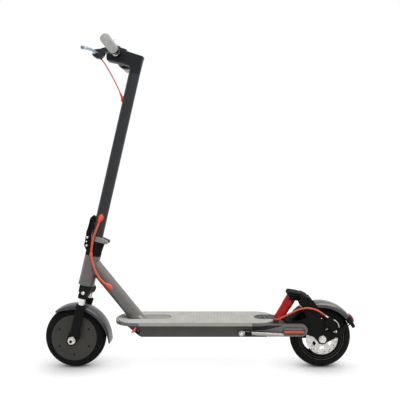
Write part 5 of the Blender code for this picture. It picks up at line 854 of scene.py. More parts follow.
class Bench:
    """Turns meshes into named pieces, and dresses what the frame brings."""

    def __init__(self) -> None:
        """Start with no node dressed."""
        self.dressed: set[str] = set()

    def add(
        self,
        name: str,
        mesh: Mesh,
        finish: Finish,
        body: Body,
        replaces: Sequence[str] = (),
        bevel: float = 0.0,
        smooth: float = SMOOTH_ANGLE,
    ) -> None:
        """Make a piece that rides on one body.

        Args:
            name: The piece's name.
            mesh: Its shape, which is freed.
            finish: Its finish.
            body: What it rides on.
            replaces: The nodes that it stands for.
            bevel: The width of its rounded edges.
            smooth: The angle in degrees above which an edge stays sharp.
        """
        piece = self.loose(name, mesh, finish, bevel, smooth)
        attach(piece, body.value)
        self.stand_for(replaces)
        LOG.info("%s rides %s in %s", name, body.value, finish.name)

    def bridge(
        self,
        name: str,
        mesh: Mesh,
        finish: Finish,
        bodies: tuple[Body, Body],
        replaces: Sequence[str] = (),
    ) -> None:
        """Make a soft piece that runs between two bodies from start to end; it stays where it lies and
        rides on neither.
        """
        piece = self.loose(name, mesh, finish, 0.0, SMOOTH_ANGLE)
        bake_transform(piece)
        self.stand_for(replaces)
        LOG.info("%s bends from %s to %s", name, bodies[0].value, bodies[1].value)

    def stand_for(self, replaces: Sequence[str]) -> None:
        """Put a piece in the place of the nodes that it stands for, if any."""
        if replaces:
            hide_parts(*replaces)
            self.dressed.update(replaces)

    def loose(
        self, name: str, mesh: Mesh, finish: Finish, bevel: float, smooth: float
    ) -> bpy.types.Object:
        """Make an object of a mesh, with its finish and rounded edges."""
        data = bpy.data.meshes.new(name)
        mesh.to_mesh(data)
        mesh.free()
        data.shade_smooth()
        data.set_sharp_from_angle(angle=math.radians(smooth))
        data.materials.append(finish.material())
        piece = bpy.data.objects.new(name, data)
        bpy.context.scene.collection.objects.link(piece)
        if bevel > 0:
            edge = piece.modifiers.new("rounded_edges", "BEVEL")
            edge.width = bevel
            edge.segments = 2
            edge.limit_method = "ANGLE"
            edge.harden_normals = True
        return piece

    def dress(self, finish: Finish, *nodes: str) -> None:
        """Give nodes of the frame their finish."""
        for node in nodes:
            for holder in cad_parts[node].material_slots:
                holder.material = finish.material()
            self.dressed.add(node)
            LOG.info("%s keeps its shape and takes %s", node, finish.name)

    def report_bare(self) -> None:
        """Report nodes that no sub-assembly has dressed."""
        for node in sorted(set(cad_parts) - self.dressed):
            LOG.warning("%s has no finish yet", node)


@dataclass(frozen=True)
class Screw:
    """A domed screw head with a hex socket."""

    radius: float
    height: float
    socket: float = 0.48

    def mesh(self, foot: Vector, outward: Vector) -> Mesh:
        """Return the head standing on a face.

        Args:
            foot: The middle of the head's foot.
            outward: The direction away from the face.

        Returns:
            The head.
        """
        axis = along(foot, foot + outward.normalized())
        hexed = self.radius * self.socket
        rows = [
            (0.0, 0.35, False), (hexed, 0.35, True), (hexed, 0.92, True),
            (self.radius * 0.66, 1.0, False), (self.radius * 0.88, 0.8, False),
            (self.radius, 0.42, False), (self.radius, -0.15, False), (0.0, -0.15, False),
        ]
        flat = math.pi / 6
        rings = []
        for radius, share, six_sided in rows:
            ring = []
            for turn in turns_round(24 if radius > 0 else 1):
                reach = radius
                if six_sided:
                    reach *= math.cos(flat) / math.cos((turn + flat) % (2 * flat) - flat)
                ring.append(axis @ polar(reach, turn, share * self.height))
            rings.append(ring)
        return spanned(rings)

    def row(self, feet: Iterable[Vector], outward: Vector) -> Mesh:
        """Return one mesh of equal heads that stand on one side of a piece."""
        return joined(*(self.mesh(foot, outward) for foot in feet))


def washer(foot: Vector, outward: Vector, bore: float, radius: float, thick: float) -> Mesh:
    """Return a flat washer that stands on a face."""
    ring = [(bore, 0.0), (radius, 0.0), (radius, thick), (bore, thick)]
    return turned(ring, along(foot, foot + outward), 48)


# Wheels


@dataclass(frozen=True)
class Tyre:
    """A solid tyre with grooves round its tread and lugs on its shoulders."""

    name: str
    node: str
    body: Body
    axle: Matrix
    core_radius: float = 0.086
    half_width: float = 0.025
    bead_radius: float = 0.0803
    bead_half_width: float = 0.017
    last_angle: int = 99
    steps: int = 144
    groove_angles: tuple[int, ...] = (-39, -13, 13, 39)
    groove_depth: float = 0.0012
    lug_angles: tuple[int, int] = (48, 63)
    lug_depth: float = 0.0009
    ridge_angles: tuple[int, int] = (75, 78)
    ridge_height: float = 0.0005
    seam_angles: tuple[int, int] = (90, 93)
    seam_depth: float = 0.0006

    def sunk(self, angle: int, lug: bool) -> float:
        """Return how deep the skin lies at an angle, on a lug or between lugs."""
        first, last = self.lug_angles
        if any(abs(angle - groove) <= 1 for groove in self.groove_angles):
            return self.groove_depth
        if first <= abs(angle) <= last and not lug:
            return self.lug_depth
        if abs(angle) in self.ridge_angles:
            return -self.ridge_height
        return self.seam_depth if abs(angle) in self.seam_angles else 0.0

    def section(self, lug: bool) -> Spots:
        """Return the tyre's section, cut down between its lugs."""
        height = TYRE_RADIUS - self.core_radius
        profile = [(self.bead_radius, -self.bead_half_width)]
        for angle in range(-self.last_angle, self.last_angle + 1, 3):
            turn = math.radians(angle)
            sunk = self.sunk(angle, lug)
            radius = self.core_radius + (height - sunk) * math.cos(turn)
            profile.append((radius, (self.half_width - sunk) * math.sin(turn)))
        profile.append((self.bead_radius, self.bead_half_width))
        return profile

    def build(self, bench: Bench) -> None:
        """Make the tyre in place of the plain one."""
        rings = []
        for k, turn in enumerate(turns_round(self.steps)):
            section = self.section(k % 6 < 4)
            rings.append([self.axle @ polar(radius, turn, y) for radius, y in section])
        shape = spanned(rings, closed=True)
        bench.add(self.name, shape, TYRE_RUBBER, self.body, (self.node,), smooth=50)


@dataclass(frozen=True)
class FrontWheel:
    """Front wheel: tyre, hub motor shell, its cover with screws, bearings."""

    cover_radius: float = 0.082
    edge_y: float = -0.0255
    back_y: float = -0.0243
    face_y: float = -0.0286
    boss_radius: float = 0.02
    boss_bore: float = 0.012
    boss_y: float = -0.0315
    screw_circle: float = 0.06
    screw_count: int = 6
    pocket_radius: float = 0.004
    pocket_depth: float = 0.0014
    bead: Outline = (
        (0.0796, -0.0262), (0.0796, -0.0286), (0.0806, -0.0292), (0.0842, -0.0286), (0.0862, -0.0262),
        (0.0862, -0.024), (0.083, -0.0235), (0.0822, -0.0262),
    )

    def cover(self) -> Mesh:
        """Return the cover: a stepped disc with a boss, from its rim inward and back."""
        face = self.face_y
        profile = [
            (self.cover_radius, self.edge_y), (self.cover_radius, -0.0272), (0.0812, -0.0281),
            (0.0795, face), (0.0705, face), (0.0698, face + 0.0008), (0.068, face + 0.0008),
            (0.0672, face - 0.0002), (0.056, face - 0.0005), (0.04, face - 0.0009),
            (0.026, face - 0.0012), (0.0226, face - 0.0012), (0.0212, face - 0.0024),
            (self.boss_radius, self.boss_y), (self.boss_bore + 0.0006, self.boss_y),
            (self.boss_bore, self.boss_y + 0.0005), (self.boss_bore, self.boss_y + 0.0012),
            (0.0163, self.boss_y + 0.0012), (0.0163, -0.019), (0.022, self.back_y),
            (0.0795, self.back_y), (0.0795, self.edge_y),
        ]
        return turned(profile, FRONT_AXLE, 120)

    def build(self, bench: Bench) -> None:
        """Make and dress the front wheel."""
        body = Body.FRONT_WHEEL
        Tyre("front_tyre_tread", "front_tyre", body, FRONT_AXLE).build(bench)
        turns = turns_round(self.screw_count, 0.5)
        level = self.face_y - EMBED
        circle = [FRONT_AXLE @ polar(self.screw_circle, turn, level) for turn in turns]
        pockets = [
            rod(spot + LEFTWARD * 0.003, spot - LEFTWARD * self.pocket_depth, self.pocket_radius)
            for spot in circle
        ]
        cover = carved(self.cover(), *pockets)
        bench.add("hub_cover_disc", cover, MOTOR_PAINT, body, ("hub_cover",), 0.0, 30)
        floors = [spot - LEFTWARD * (self.pocket_depth + 0.0001) for spot in circle]
        heads = Screw(0.0031, 0.0013).row(floors, LEFTWARD)
        bench.add("hub_cover_screws", heads, SCREW_BLACK, body)
        bench.add("front_tyre_bead", turned(self.bead, FRONT_AXLE, 120), TYRE_RUBBER, body)
        bench.dress(MOTOR_PAINT, "hub_shell")
        bench.dress(STEEL, "front_bearing_left", "front_bearing_right")


@dataclass(frozen=True)
class RearWheel:
    """Rear wheel: tyre, cast rim, drilled disc with its screws, bearings."""

    disc_radius: float = 0.056
    disc_y: float = -0.0355
    disc_half: float = 0.001
    disc_chamfer: float = 0.0004
    bore: float = 0.012
    arms: int = 6
    window_radii: Pair = (0.027, 0.0378)
    window_corner: float = 0.0016
    hole_rows: int = 15
    hole_radius: float = 0.002
    first_hole: float = 0.0425
    hole_pitch: float = 0.0048
    hole_slant: float = 0.28
    screw_circle: float = 0.019
    lips: Outline = ((0.0788, 0.0249), (0.0716, 0.0214))
    lip_depth: float = 0.008

    def disc(self) -> Mesh:
        """Return the disc with windows between its arms and slanting hole rows."""
        edge = self.disc_radius - self.disc_chamfer
        near, far = self.disc_y - self.disc_half, self.disc_y + self.disc_half
        profile = [(self.bore, near), (edge, near), (self.disc_radius, self.disc_y)]
        profile += [(edge, far), (self.bore, far)]
        low, high = self.disc_y - 0.004, self.disc_y + 0.004
        inner, outer = self.window_radii
        cutters = []
        for k in range(self.arms):
            middle = 360 * (k + 0.5) / self.arms
            outline = arc((0, 0), outer, middle - 15, middle + 15, 8)
            outline += arc((0, 0), inner, middle + 11, middle - 11, 5)
            corners = filleted([(x, y, self.window_corner) for x, y in outline], 2)
            rings = [[REAR_AXLE @ Vector((*spot, level)) for spot in corners] for level in (low, high)]
            cutters.append(spanned(rings))
        for step in range(3):
            reach = self.first_hole + self.hole_pitch * step
            for turn in turns_round(self.hole_rows, self.hole_slant * step):
                ends = (REAR_AXLE @ polar(reach, turn, level) for level in (low, high))
                cutters.append(rod(*ends, self.hole_radius, steps=12))
        return carved(turned(profile, REAR_AXLE, 120), *cutters)

    def rim_lip(self, radius: float, y: float) -> Mesh:
        """Return one raised lip round the rim's left side."""
        ring = [(radius - 0.0008, self.lip_depth - y), (radius - 0.0007, -y)]
        ring += [(radius, -y - 0.0005), (radius + 0.0012, -y)]
        ring.append((radius + 0.0013, self.lip_depth - y))
        return turned(ring, REAR_AXLE, 120)

    def build(self, bench: Bench) -> None:
        """Make and dress the rear wheel."""
        body = Body.REAR_WHEEL
        Tyre("rear_tyre_tread", "rear_tyre", body, REAR_AXLE).build(bench)
        bench.add("brake_disc_drilled", self.disc(), DISC_STEEL, body, ("brake_disc",))
        level = self.disc_y - self.disc_half
        feet = [REAR_AXLE @ polar(self.screw_circle, turn, level) for turn in turns_round(self.arms)]
        heads = Screw(0.0026, 0.0016).row(feet, LEFTWARD)
        bench.add("brake_disc_screws", heads, SCREW_BLACK, body)
        lips = joined(*(self.rim_lip(*lip) for lip in self.lips))
        bench.add("rear_rim_lips", lips, PLATE_PAINT, body)
        bench.dress(BLACK_ALLOY, "rear_rim")
        bench.dress(STEEL, "rear_bearings")


@dataclass(frozen=True)
class Mudguard:
    """An arched guard that follows a wheel and flares at its rear end."""

    name: str
    node: str
    body: Body
    centre: Vector
    finish: Finish
    radius: float
    flare: float
    skirt: float
    angles: Pair
    taper: Pair
    tips: Pair
    bend: int = 2
    # Spans in degrees at the front and the rear end that are drawn black, as painted shadow.
    ends: Pair = (0.0, 0.0)
    half_width: float = 0.033
    crown_half_width: float = 0.01
    wall: float = 0.0025
    hem: float = 0.0006

    def section(self, top: float, share: float) -> Spots:
        """Return the guard's section.

        Args:
            top: The crown's radius.
            share: How deep the sides reach down here, 1 in full.

        Returns:
            The section's points (y, radius).
        """
        edge = self.half_width
        wall = self.wall
        low = top - self.skirt * share
        drop = top - 0.009 * share
        ledge = top - 0.003 * share
        outer = [
            (edge, low, self.hem), (edge, drop, 0.006 * share), (edge - 0.005, ledge, 0.004 * share),
            (self.crown_half_width, top, 0.01),
        ]
        inner = [
            (edge - wall, low, self.hem), (edge - wall, drop - wall / 2 * share, 0.004 * share),
            (edge - 0.006, ledge - wall, 0.003),
        ]
        corners = [(-y, reach, corner) for y, reach, corner in outer] + outer[::-1] + inner
        corners += [(-y, reach, corner) for y, reach, corner in inner[::-1]]
        return filleted(corners, 4)

    def depth(self, angle: float) -> float:
        """Return how deep the sides reach at an angle, 1 in full."""
        deep = 1.0
        for end, span, tip in zip(self.angles, self.taper, self.tips):
            near = min(abs(angle - end) / span, 1.0)
            deep = min(deep, tip + (1 - tip) * math.sin(near * math.pi / 2))
        return deep

    def shell(self, first: float, last: float) -> Mesh:
        """Return the arched shell from one angle in degrees to another."""
        start, end = self.angles
        steps = max(4, round(abs(first - last) / 2))
        rings = []
        for k in range(steps + 1):
            angle = first + (last - first) * k / steps
            share = (start - angle) / (start - end)
            turn = math.radians(angle)
            out = Vector((math.cos(turn), 0, math.sin(turn)))
            section = self.section(self.radius + self.flare * share**self.bend, self.depth(angle))
            rings.append([self.centre + out * reach + Vector((0, y, 0)) for y, reach in section])
        return spanned(rings)

    def build(self, bench: Bench) -> None:
        """Make the guard, and black pieces at its ends where it has them, painted shadow for the shade
        on the guard's ends.
        """
        first, last = self.angles
        front, rear = self.ends
        whole = self.shell(first - front, last + rear)
        bench.add(self.name, whole, self.finish, self.body, (self.node,), smooth=45)
        # Each end span is a black piece: painted shadow for the shade that falls on that end of the
        # guard.
        for word, span, angles in (
            ("front", front, (first, first - front + 0.2)), ("rear", rear, (last + rear - 0.2, last))
        ):
            if span:
                lip = self.shell(*angles)
                bench.add(f"{self.name}_{word}_lip", lip, BLACK_RUBBER, self.body)


# Front end


@dataclass(frozen=True)
class Fork:
    """Fork: crown with its bolts, chromed tubes, lower legs, axle hardware."""

    leg_r: float = 0.0095
    leg_y: float = 0.055
    leg_top_t: float = 0.126
    crown_bolt_r: float = 0.0097
    crown_bolt_t: float = 0.1735
    crown_side_y: float = 0.071
    nut_face_y: float = 0.0603
    nut_height: float = 0.009
    wiper_profile: Outline = (
        (0.0112, 0.0), (0.0163, 0.0), (0.0166, 0.0012), (0.0152, 0.0024), (0.0125, 0.0031),
        (0.0112, 0.0031),
    )
    plug_profile: Outline = (
        (0, -0.0004), (0.0053, -0.0004), (0.0053, 0.0004), (0.0046, 0.001), (0, 0.0012),
    )
    tab: Outline = ((0.0015, 0.012), (0.0065, 0.0105), (0.0078, 0.015), (0.003, 0.0165))

    def wiper(self, side: Side) -> Mesh:
        """Return the seal ring on top of one lower leg."""
        y = side.value * self.leg_y
        foot = steer(self.leg_r, y, self.leg_top_t - EMBED)
        return turned(self.wiper_profile, along(foot, steer(self.leg_r, y, 0.2)), 48)

    def axle_hardware(self, side: Side, bench: Bench) -> None:
        """Make the tabbed washer and the dark end plug of one axle end."""
        out = side.outward
        centre = place(0, side.value * (self.nut_face_y - EMBED), TYRE_RADIUS)
        ring = washer(centre, out, 0.0068, 0.013, 0.0016)
        levels = sorted((centre.y, centre.y + side.value * 0.003))
        tab = prism([(x, TYRE_RADIUS + z) for x, z in self.tab], *levels)
        bench.add(f"front_axle_washer_{side.word}", joined(ring, tab), STEEL, Body.FORK)
        end = centre + out * (self.nut_height + 0.003 + EMBED)
        plug = turned(self.plug_profile, along(end, end + out), 32)
        bench.add(f"front_axle_plug_{side.word}", plug, BLACK_RUBBER, Body.FORK)

    def build(self, bench: Bench) -> None:
        """Make and dress the fork."""
        bench.dress(BLACK_ALLOY, "fork_crown", "fork_leg_left", "fork_leg_right")
        bench.dress(STANCHION_CHROME, "stanchion_left", "stanchion_right")
        bench.dress(STEEL, "front_axle")
        bench.dress(ALLOY, "motor_stator")
        bolt = Screw(0.006, 0.003, 0.42)
        for side in Side:
            foot = steer(self.crown_bolt_r, side.value * self.crown_side_y, self.crown_bolt_t)
            head = bolt.mesh(foot, side.outward)
            bench.add(f"crown_bolt_{side.word}", head, STEEL, Body.STEERING)
            bench.add(f"leg_wiper_{side.word}", self.wiper(side), BLACK_RUBBER, Body.FORK)
            self.axle_hardware(side, bench)
        Mudguard(
            "front_mudguard_shell",
            "front_mudguard",
            Body.FORK,
            place(0, 0, TYRE_RADIUS),
            GUARD_FRONT,
            radius=0.116,
            flare=0.012,
            skirt=0.0155,
            angles=(126.0, -9.0),
            taper=(30.0, 70.0),
            tips=(0.4, 0.3),
            bend=4,
        ).build(bench)


@dataclass(frozen=True)
class FoldingJoint:
    """Folding joint: collar, yoke, hinge pin, latch lever and their screws."""

    pin: Pair = (0.038, 0.353)
    pin_end_y: float = 0.0265
    pivot: Pair = (-0.031, 0.3555)
    ear_y: float = 0.0138
    small_screw: Pair = (-0.031, 0.34)
    large_screw: Pair = (-0.0275, 0.3265)
    pads: Outline = ((0.386, 0.402), (0.412, 0.431))
    pad_edge: float = 0.0002
    pad_thick: float = 0.0013
    pad_slope: float = 0.002

    @staticmethod
    def head(screw: Screw, spot: Pair, y: float, side: Side) -> Mesh:
        """Return a screw head at a spot (r, t) of the side view, out at a Y."""
        r, t = spot
        return screw.mesh(steer(r, side.value * y, t), side.outward)

    def build(self, bench: Bench) -> None:
        """Make and dress the folding joint."""
        bench.dress(BLACK_ALLOY, "fold_base", "fold_lever")
        bench.dress(ALLOY, "stem_foot")
        bench.dress(STEEL, "fold_pin", "headset_bearings")
        for side in Side:
            head = self.head(Screw(0.0046, 0.0024), self.pivot, self.ear_y + 0.0014, side)
            bench.add(f"latch_pivot_{side.word}", head, STEEL, Body.FOLD_LEVER)
            small = self.head(Screw(0.0032, 0.0018), self.small_screw, self.ear_y, side)
            large = self.head(Screw(0.0044, 0.0024), self.large_screw, self.ear_y, side)
            heads = joined(small, large)
            bench.add(f"latch_block_screws_{side.word}", heads, STEEL, Body.STEERING)
            head = self.head(Screw(0.0056, 0.0022), self.pin, self.pin_end_y - EMBED, side)
            bench.add(f"hinge_pin_head_{side.word}", head, ALLOY, Body.STEERING)
        pads = joined(*(self.pad(low, high) for low, high in self.pads))
        bench.add("latch_strike_pads", pads, BLACK_RUBBER, Body.STEM)

    def pad(self, low: float, high: float) -> Mesh:
        """Return one black pad on the stem that the latch lever closes on."""
        turns = [math.radians(turn) for turn in range(150, 211, 6)]
        rings = []
        for t, thick in (
            (low, self.pad_edge), (low + self.pad_slope, self.pad_thick),
            (high - self.pad_slope, self.pad_thick), (high, self.pad_edge),
        ):
            ring = [STEER @ polar(STEM_RADIUS + thick, turn, t) for turn in turns]
            ring += [STEER @ polar(STEM_RADIUS - EMBED, turn, t) for turn in turns[::-1]]
            rings.append(ring)
        return spanned(rings)


@dataclass(frozen=True)
class Boot:
    """A rubber boot that hugs a tube where a cable goes into it."""

    name: str
    body: Body
    axis: Matrix
    tube_radius: float
    half_length: float
    half_width: float
    rise: float
    nose: tuple[Vector, ...]
    nose_radii: tuple[float, ...]

    def spot(self, share: float, turn: float, lift: float) -> Vector:
        """Return a point over the tube, at a share of the oval's half sizes."""
        across = self.half_width * share * math.sin(turn)
        length = self.half_length * share * math.cos(turn)
        foot = math.sqrt(self.tube_radius**2 - across**2)
        return self.axis @ Vector((foot + lift, across, length))

    def dome(self) -> Mesh:
        """Return the oval dome, its foot bent round the tube."""
        levels = []
        for step in range(1, 11):
            angle = math.pi / 2 * step / 10
            levels.append((0.86 * math.sin(angle), self.rise * (0.16 + 0.84 * math.cos(angle))))
        levels += [(0.94, self.rise * 0.15), (0.99, self.rise * 0.11), (1.0, self.rise * 0.05)]
        levels += [(1.0, -EMBED), (0.5, -EMBED)]
        turns = turns_round(40)
        rings = [[self.spot(share, turn, lift) for turn in turns] for share, lift in levels]
        return spanned([[self.spot(0, 0, self.rise)], *rings, [self.spot(0, 0, -EMBED)]])

    def build(self, bench: Bench) -> None:
        """Make the boot with the nose that holds the cable."""
        points = smooth_route(self.nose, 10)
        spans = len(self.nose_radii) - 1
        radii = []
        for k in range(len(points)):
            share = k / (len(points) - 1) * spans
            low = min(int(share), spans - 1)
            first, last = self.nose_radii[low : low + 2]
            radii.append(first + (last - first) * (share - low))
        shape = joined(self.dome(), tube(points, radii, 20))
        bench.add(self.name, shape, ORANGE_RUBBER, self.body, smooth=60)


@dataclass(frozen=True)
class Cables:
    """The orange cable sleeves, each bent between the bodies that hold it."""

    brake_radius: float = 0.0021
    sleeve_radius: float = 0.0038
    rear_radius: float = 0.0028
    clip: Point = (-0.001, -0.0342, 0.304)
    clip_half_height: float = 0.0043
    clip_sleeve_radius: float = 0.0058
    barrel_foot: Point = (-0.04425, -0.0735, -0.031)
    stem_front_t: float = 0.874
    beside_stem: float = -0.0302
    tube_entry: float = 0.105
    tube_side_y: float = -0.0342
    upper: tuple[Point, ...] = (
        (-0.035, -0.06, -0.043), (-0.024, -0.048, -0.063), (-0.0135, -0.034, -0.084),
        (-0.003, -0.02, -0.107), (0.006, -0.008, -0.129),
    )
    folding: tuple[Point, ...] = (
        (0.0005, -0.033, 0.412), (-0.003, -0.0345, 0.385), (-0.006, -0.035, 0.358),
        (-0.004, -0.0348, 0.33),
    )
    lower: tuple[Point, ...] = (
        (0.014, -0.0355, -0.006), (0.0205, -0.036, -0.024), (0.03, -0.036, -0.042),
        (0.042, -0.036, -0.06),
    )
    rear: tuple[Point, ...] = (
        (-0.1665, -0.033, 0.066), (-0.155, -0.039, 0.0685), (-0.139, -0.044, 0.0775),
        (-0.122, -0.049, 0.0875), (-0.104, -0.0505, 0.097), (-0.086, -0.051, 0.105),
        (-0.068, -0.051, 0.1098), (-0.05, -0.051, 0.1105), (-0.032, -0.051, 0.1075),
        (-0.014, -0.0505, 0.1), (0.002, -0.0495, 0.0895), (0.014, -0.048, 0.0805),
    )

    def sleeve(self, points: Sequence[Vector], radius: float, count: int) -> Mesh:
        """Return one round sleeve along a smooth route."""
        route = smooth_route(points, count)
        return tube(route, [radius] * len(route), 14)

    def build(self, bench: Bench) -> None:
        """Make the four stretches of sleeve and the boots at their ends."""
        front = steer(-STEM_RADIUS - 0.007, 0, self.stem_front_t)
        upper = [from_bar(*spot) for spot in (self.barrel_foot, *self.upper)] + [front]
        shape = self.sleeve(upper, self.brake_radius, 60)
        bench.add("brake_cable_sleeve", shape, SLEEVE, Body.STEM, ("brake_cable",))
        self.folding_loop(bench)
        rear = [REAR_CENTRE + Vector(spot) for spot in self.rear]
        bodies = (Body.FRAME, Body.SWINGARM)
        shape = self.sleeve(rear, self.rear_radius, 72)
        bench.bridge(
            "rear_cable_sleeve", shape, SLEEVE, bodies, ("rear_brake_cable",)
        )
        end = rear[-1]
        run = (end - rear[-2]).normalized()
        ferrule = rod(end - run * 0.005, end + run * 0.006, 0.0036, 0.0006)
        bench.add("rear_cable_ferrule", ferrule, STEEL, Body.SWINGARM)
        self.stem_boots(bench, front, upper[-2])
        self.down_tube_boot(bench)

    def folding_loop(self, bench: Bench) -> None:
        """Make the sleeve past the folding joint: above the clip, in it and below it."""
        clip = steer(*self.clip)
        rise = UP * self.clip_half_height
        head = steer(0.001, self.beside_stem, 0.428)
        folding = [head] + [steer(*spot) for spot in self.folding] + [clip + rise]
        bodies = (Body.STEERING, Body.STEM)
        shape = self.sleeve(folding, self.sleeve_radius, 48)
        bench.bridge("fold_cable_sleeve", shape, SLEEVE, bodies, ("fold_cable",))
        foot = DOWN_TUBE_TOP + DOWN_TUBE_RUN * self.tube_entry + Vector((0, self.tube_side_y, 0))
        lower = [clip - rise] + [DOWN_TUBE_TOP + Vector(spot) for spot in self.lower] + [foot]
        bodies = (Body.STEERING, Body.FRAME)
        shape = self.sleeve(lower, self.sleeve_radius, 40)
        bench.bridge(
            "steering_cable_sleeve", shape, SLEEVE, bodies, ("steering_cable",)
        )
        in_clip = rod(clip - rise * 1.25, clip + rise * 1.25, self.clip_sleeve_radius, 0.0014)
        bench.add("clip_cable_sleeve", in_clip, SLEEVE, Body.STEERING)

    def stem_boots(self, bench: Bench, front: Vector, before: Vector) -> None:
        """Make the two boots on the stem.

        Args:
            bench: The bench.
            front: Where the brake cable meets the stem's front.
            before: The cable's last point before it.
        """
        upright = STEER.to_3x3().to_4x4()
        Boot(
            "stem_front_boot",
            Body.STEM,
            Matrix.Translation(steer(0, 0, 0.865)) @ upright @ Matrix.Rotation(math.pi, 4, "Z"),
            STEM_RADIUS,
            half_length=0.012,
            half_width=0.007,
            rise=0.007,
            nose=(steer(-0.023, 0, 0.866), front, front + (before - front).normalized() * 0.013),
            nose_radii=(0.0044, 0.0038, 0.0026),
        ).build(bench)
        leftward = Matrix.Rotation(math.radians(-90), 4, "Z")
        nose = ((0.0015, -0.0262, 0.436), (0.001, self.beside_stem, 0.428))
        nose += ((0.0007, -0.0318, 0.418),)
        Boot(
            "stem_side_boot",
            Body.STEM,
            Matrix.Translation(steer(0.0015, 0, 0.4345)) @ upright @ leftward,
            STEM_RADIUS,
            half_length=0.0138,
            half_width=0.0092,
            rise=0.0092,
            nose=tuple(steer(*spot) for spot in nose),
            nose_radii=(0.0058, 0.0058, 0.0046),
        ).build(bench)

    def down_tube_boot(self, bench: Bench) -> None:
        """Make the boot on the left of the down tube."""
        centre = DOWN_TUBE_TOP + DOWN_TUBE_RUN * 0.11
        upright = along(centre, centre - DOWN_TUBE_RUN)
        out = upright.inverted().to_3x3() @ LEFTWARD
        spin = Matrix.Rotation(math.atan2(out.y, out.x), 4, "Z")
        nose = ((0.03, 0.0), (0.0342, 0.008), (0.035, 0.018))
        Boot(
            "down_tube_boot",
            Body.FRAME,
            upright @ spin,
            0.024,
            half_length=0.0142,
            half_width=0.0082,
            rise=0.0085,
            nose=tuple(centre + LEFTWARD * reach - DOWN_TUBE_RUN * rise for reach, rise in nose),
            nose_radii=(0.0058, 0.0056, 0.0046),
        ).build(bench)


# Stem, head and controls


@dataclass(frozen=True)
class Grip:
    """One rubber grip with ringed ribs and a rounded, closed end."""

    side: Side
    inner_y: float = 0.095
    outer_y: float = 0.215
    radius: float = 0.0165
    bore: float = 0.0113
    floor: float = 0.0017
    rib_pitch: float = 0.004
    rib_depth: float = 0.0003
    rib_slope: float = 0.0004
    first_rib: float = 0.0075
    last_rib: float = 0.01
    steps: int = 60

    def rows(self, length: float) -> Rows:
        """Return the rows (radius, height, notched) from the bore round to the end."""
        outer = self.radius
        floor = length - self.floor
        rows = [(0.0, floor, False), (self.bore, floor, False), (self.bore, 0.0, False)]
        rows += [(0.0158, 0.0, False), (outer, 0.0008, False), (outer, 0.0045, False)]
        rows.append((outer - 0.0008, 0.0052, False))
        height = self.first_rib
        while height < length - self.last_rib:
            low = outer - self.rib_depth
            rib = height + 0.001
            top = height + self.rib_pitch - self.rib_slope
            rows += [(low, height, False), (low, rib, False)]
            rows += [(outer, rib + self.rib_slope, True), (outer, top, True)]
            height += self.rib_pitch
        rows += [(outer - 0.0005, length - 0.0064, False), (outer, length - 0.0056, False)]
        rows += [(outer, length - 0.0028, False), (outer - 0.0008, length - 0.0009, False)]
        return rows + [(outer - 0.0026, length, False), (0.0, length, False)]

    def build(self, bench: Bench) -> None:
        """Make the grip in place of the plain one."""
        start = from_bar(0, self.side.value * self.inner_y, 0)
        axis = along(start, from_bar(0, self.side.value * self.outer_y, 0))
        whole = knurled(self.rows(self.outer_y - self.inner_y), axis, self.steps, 5)
        node = f"grip_{self.side.word}"
        bench.add(f"{node}_ribbed", whole, GRIP_RUBBER, Body.STEM, (node,), smooth=50)


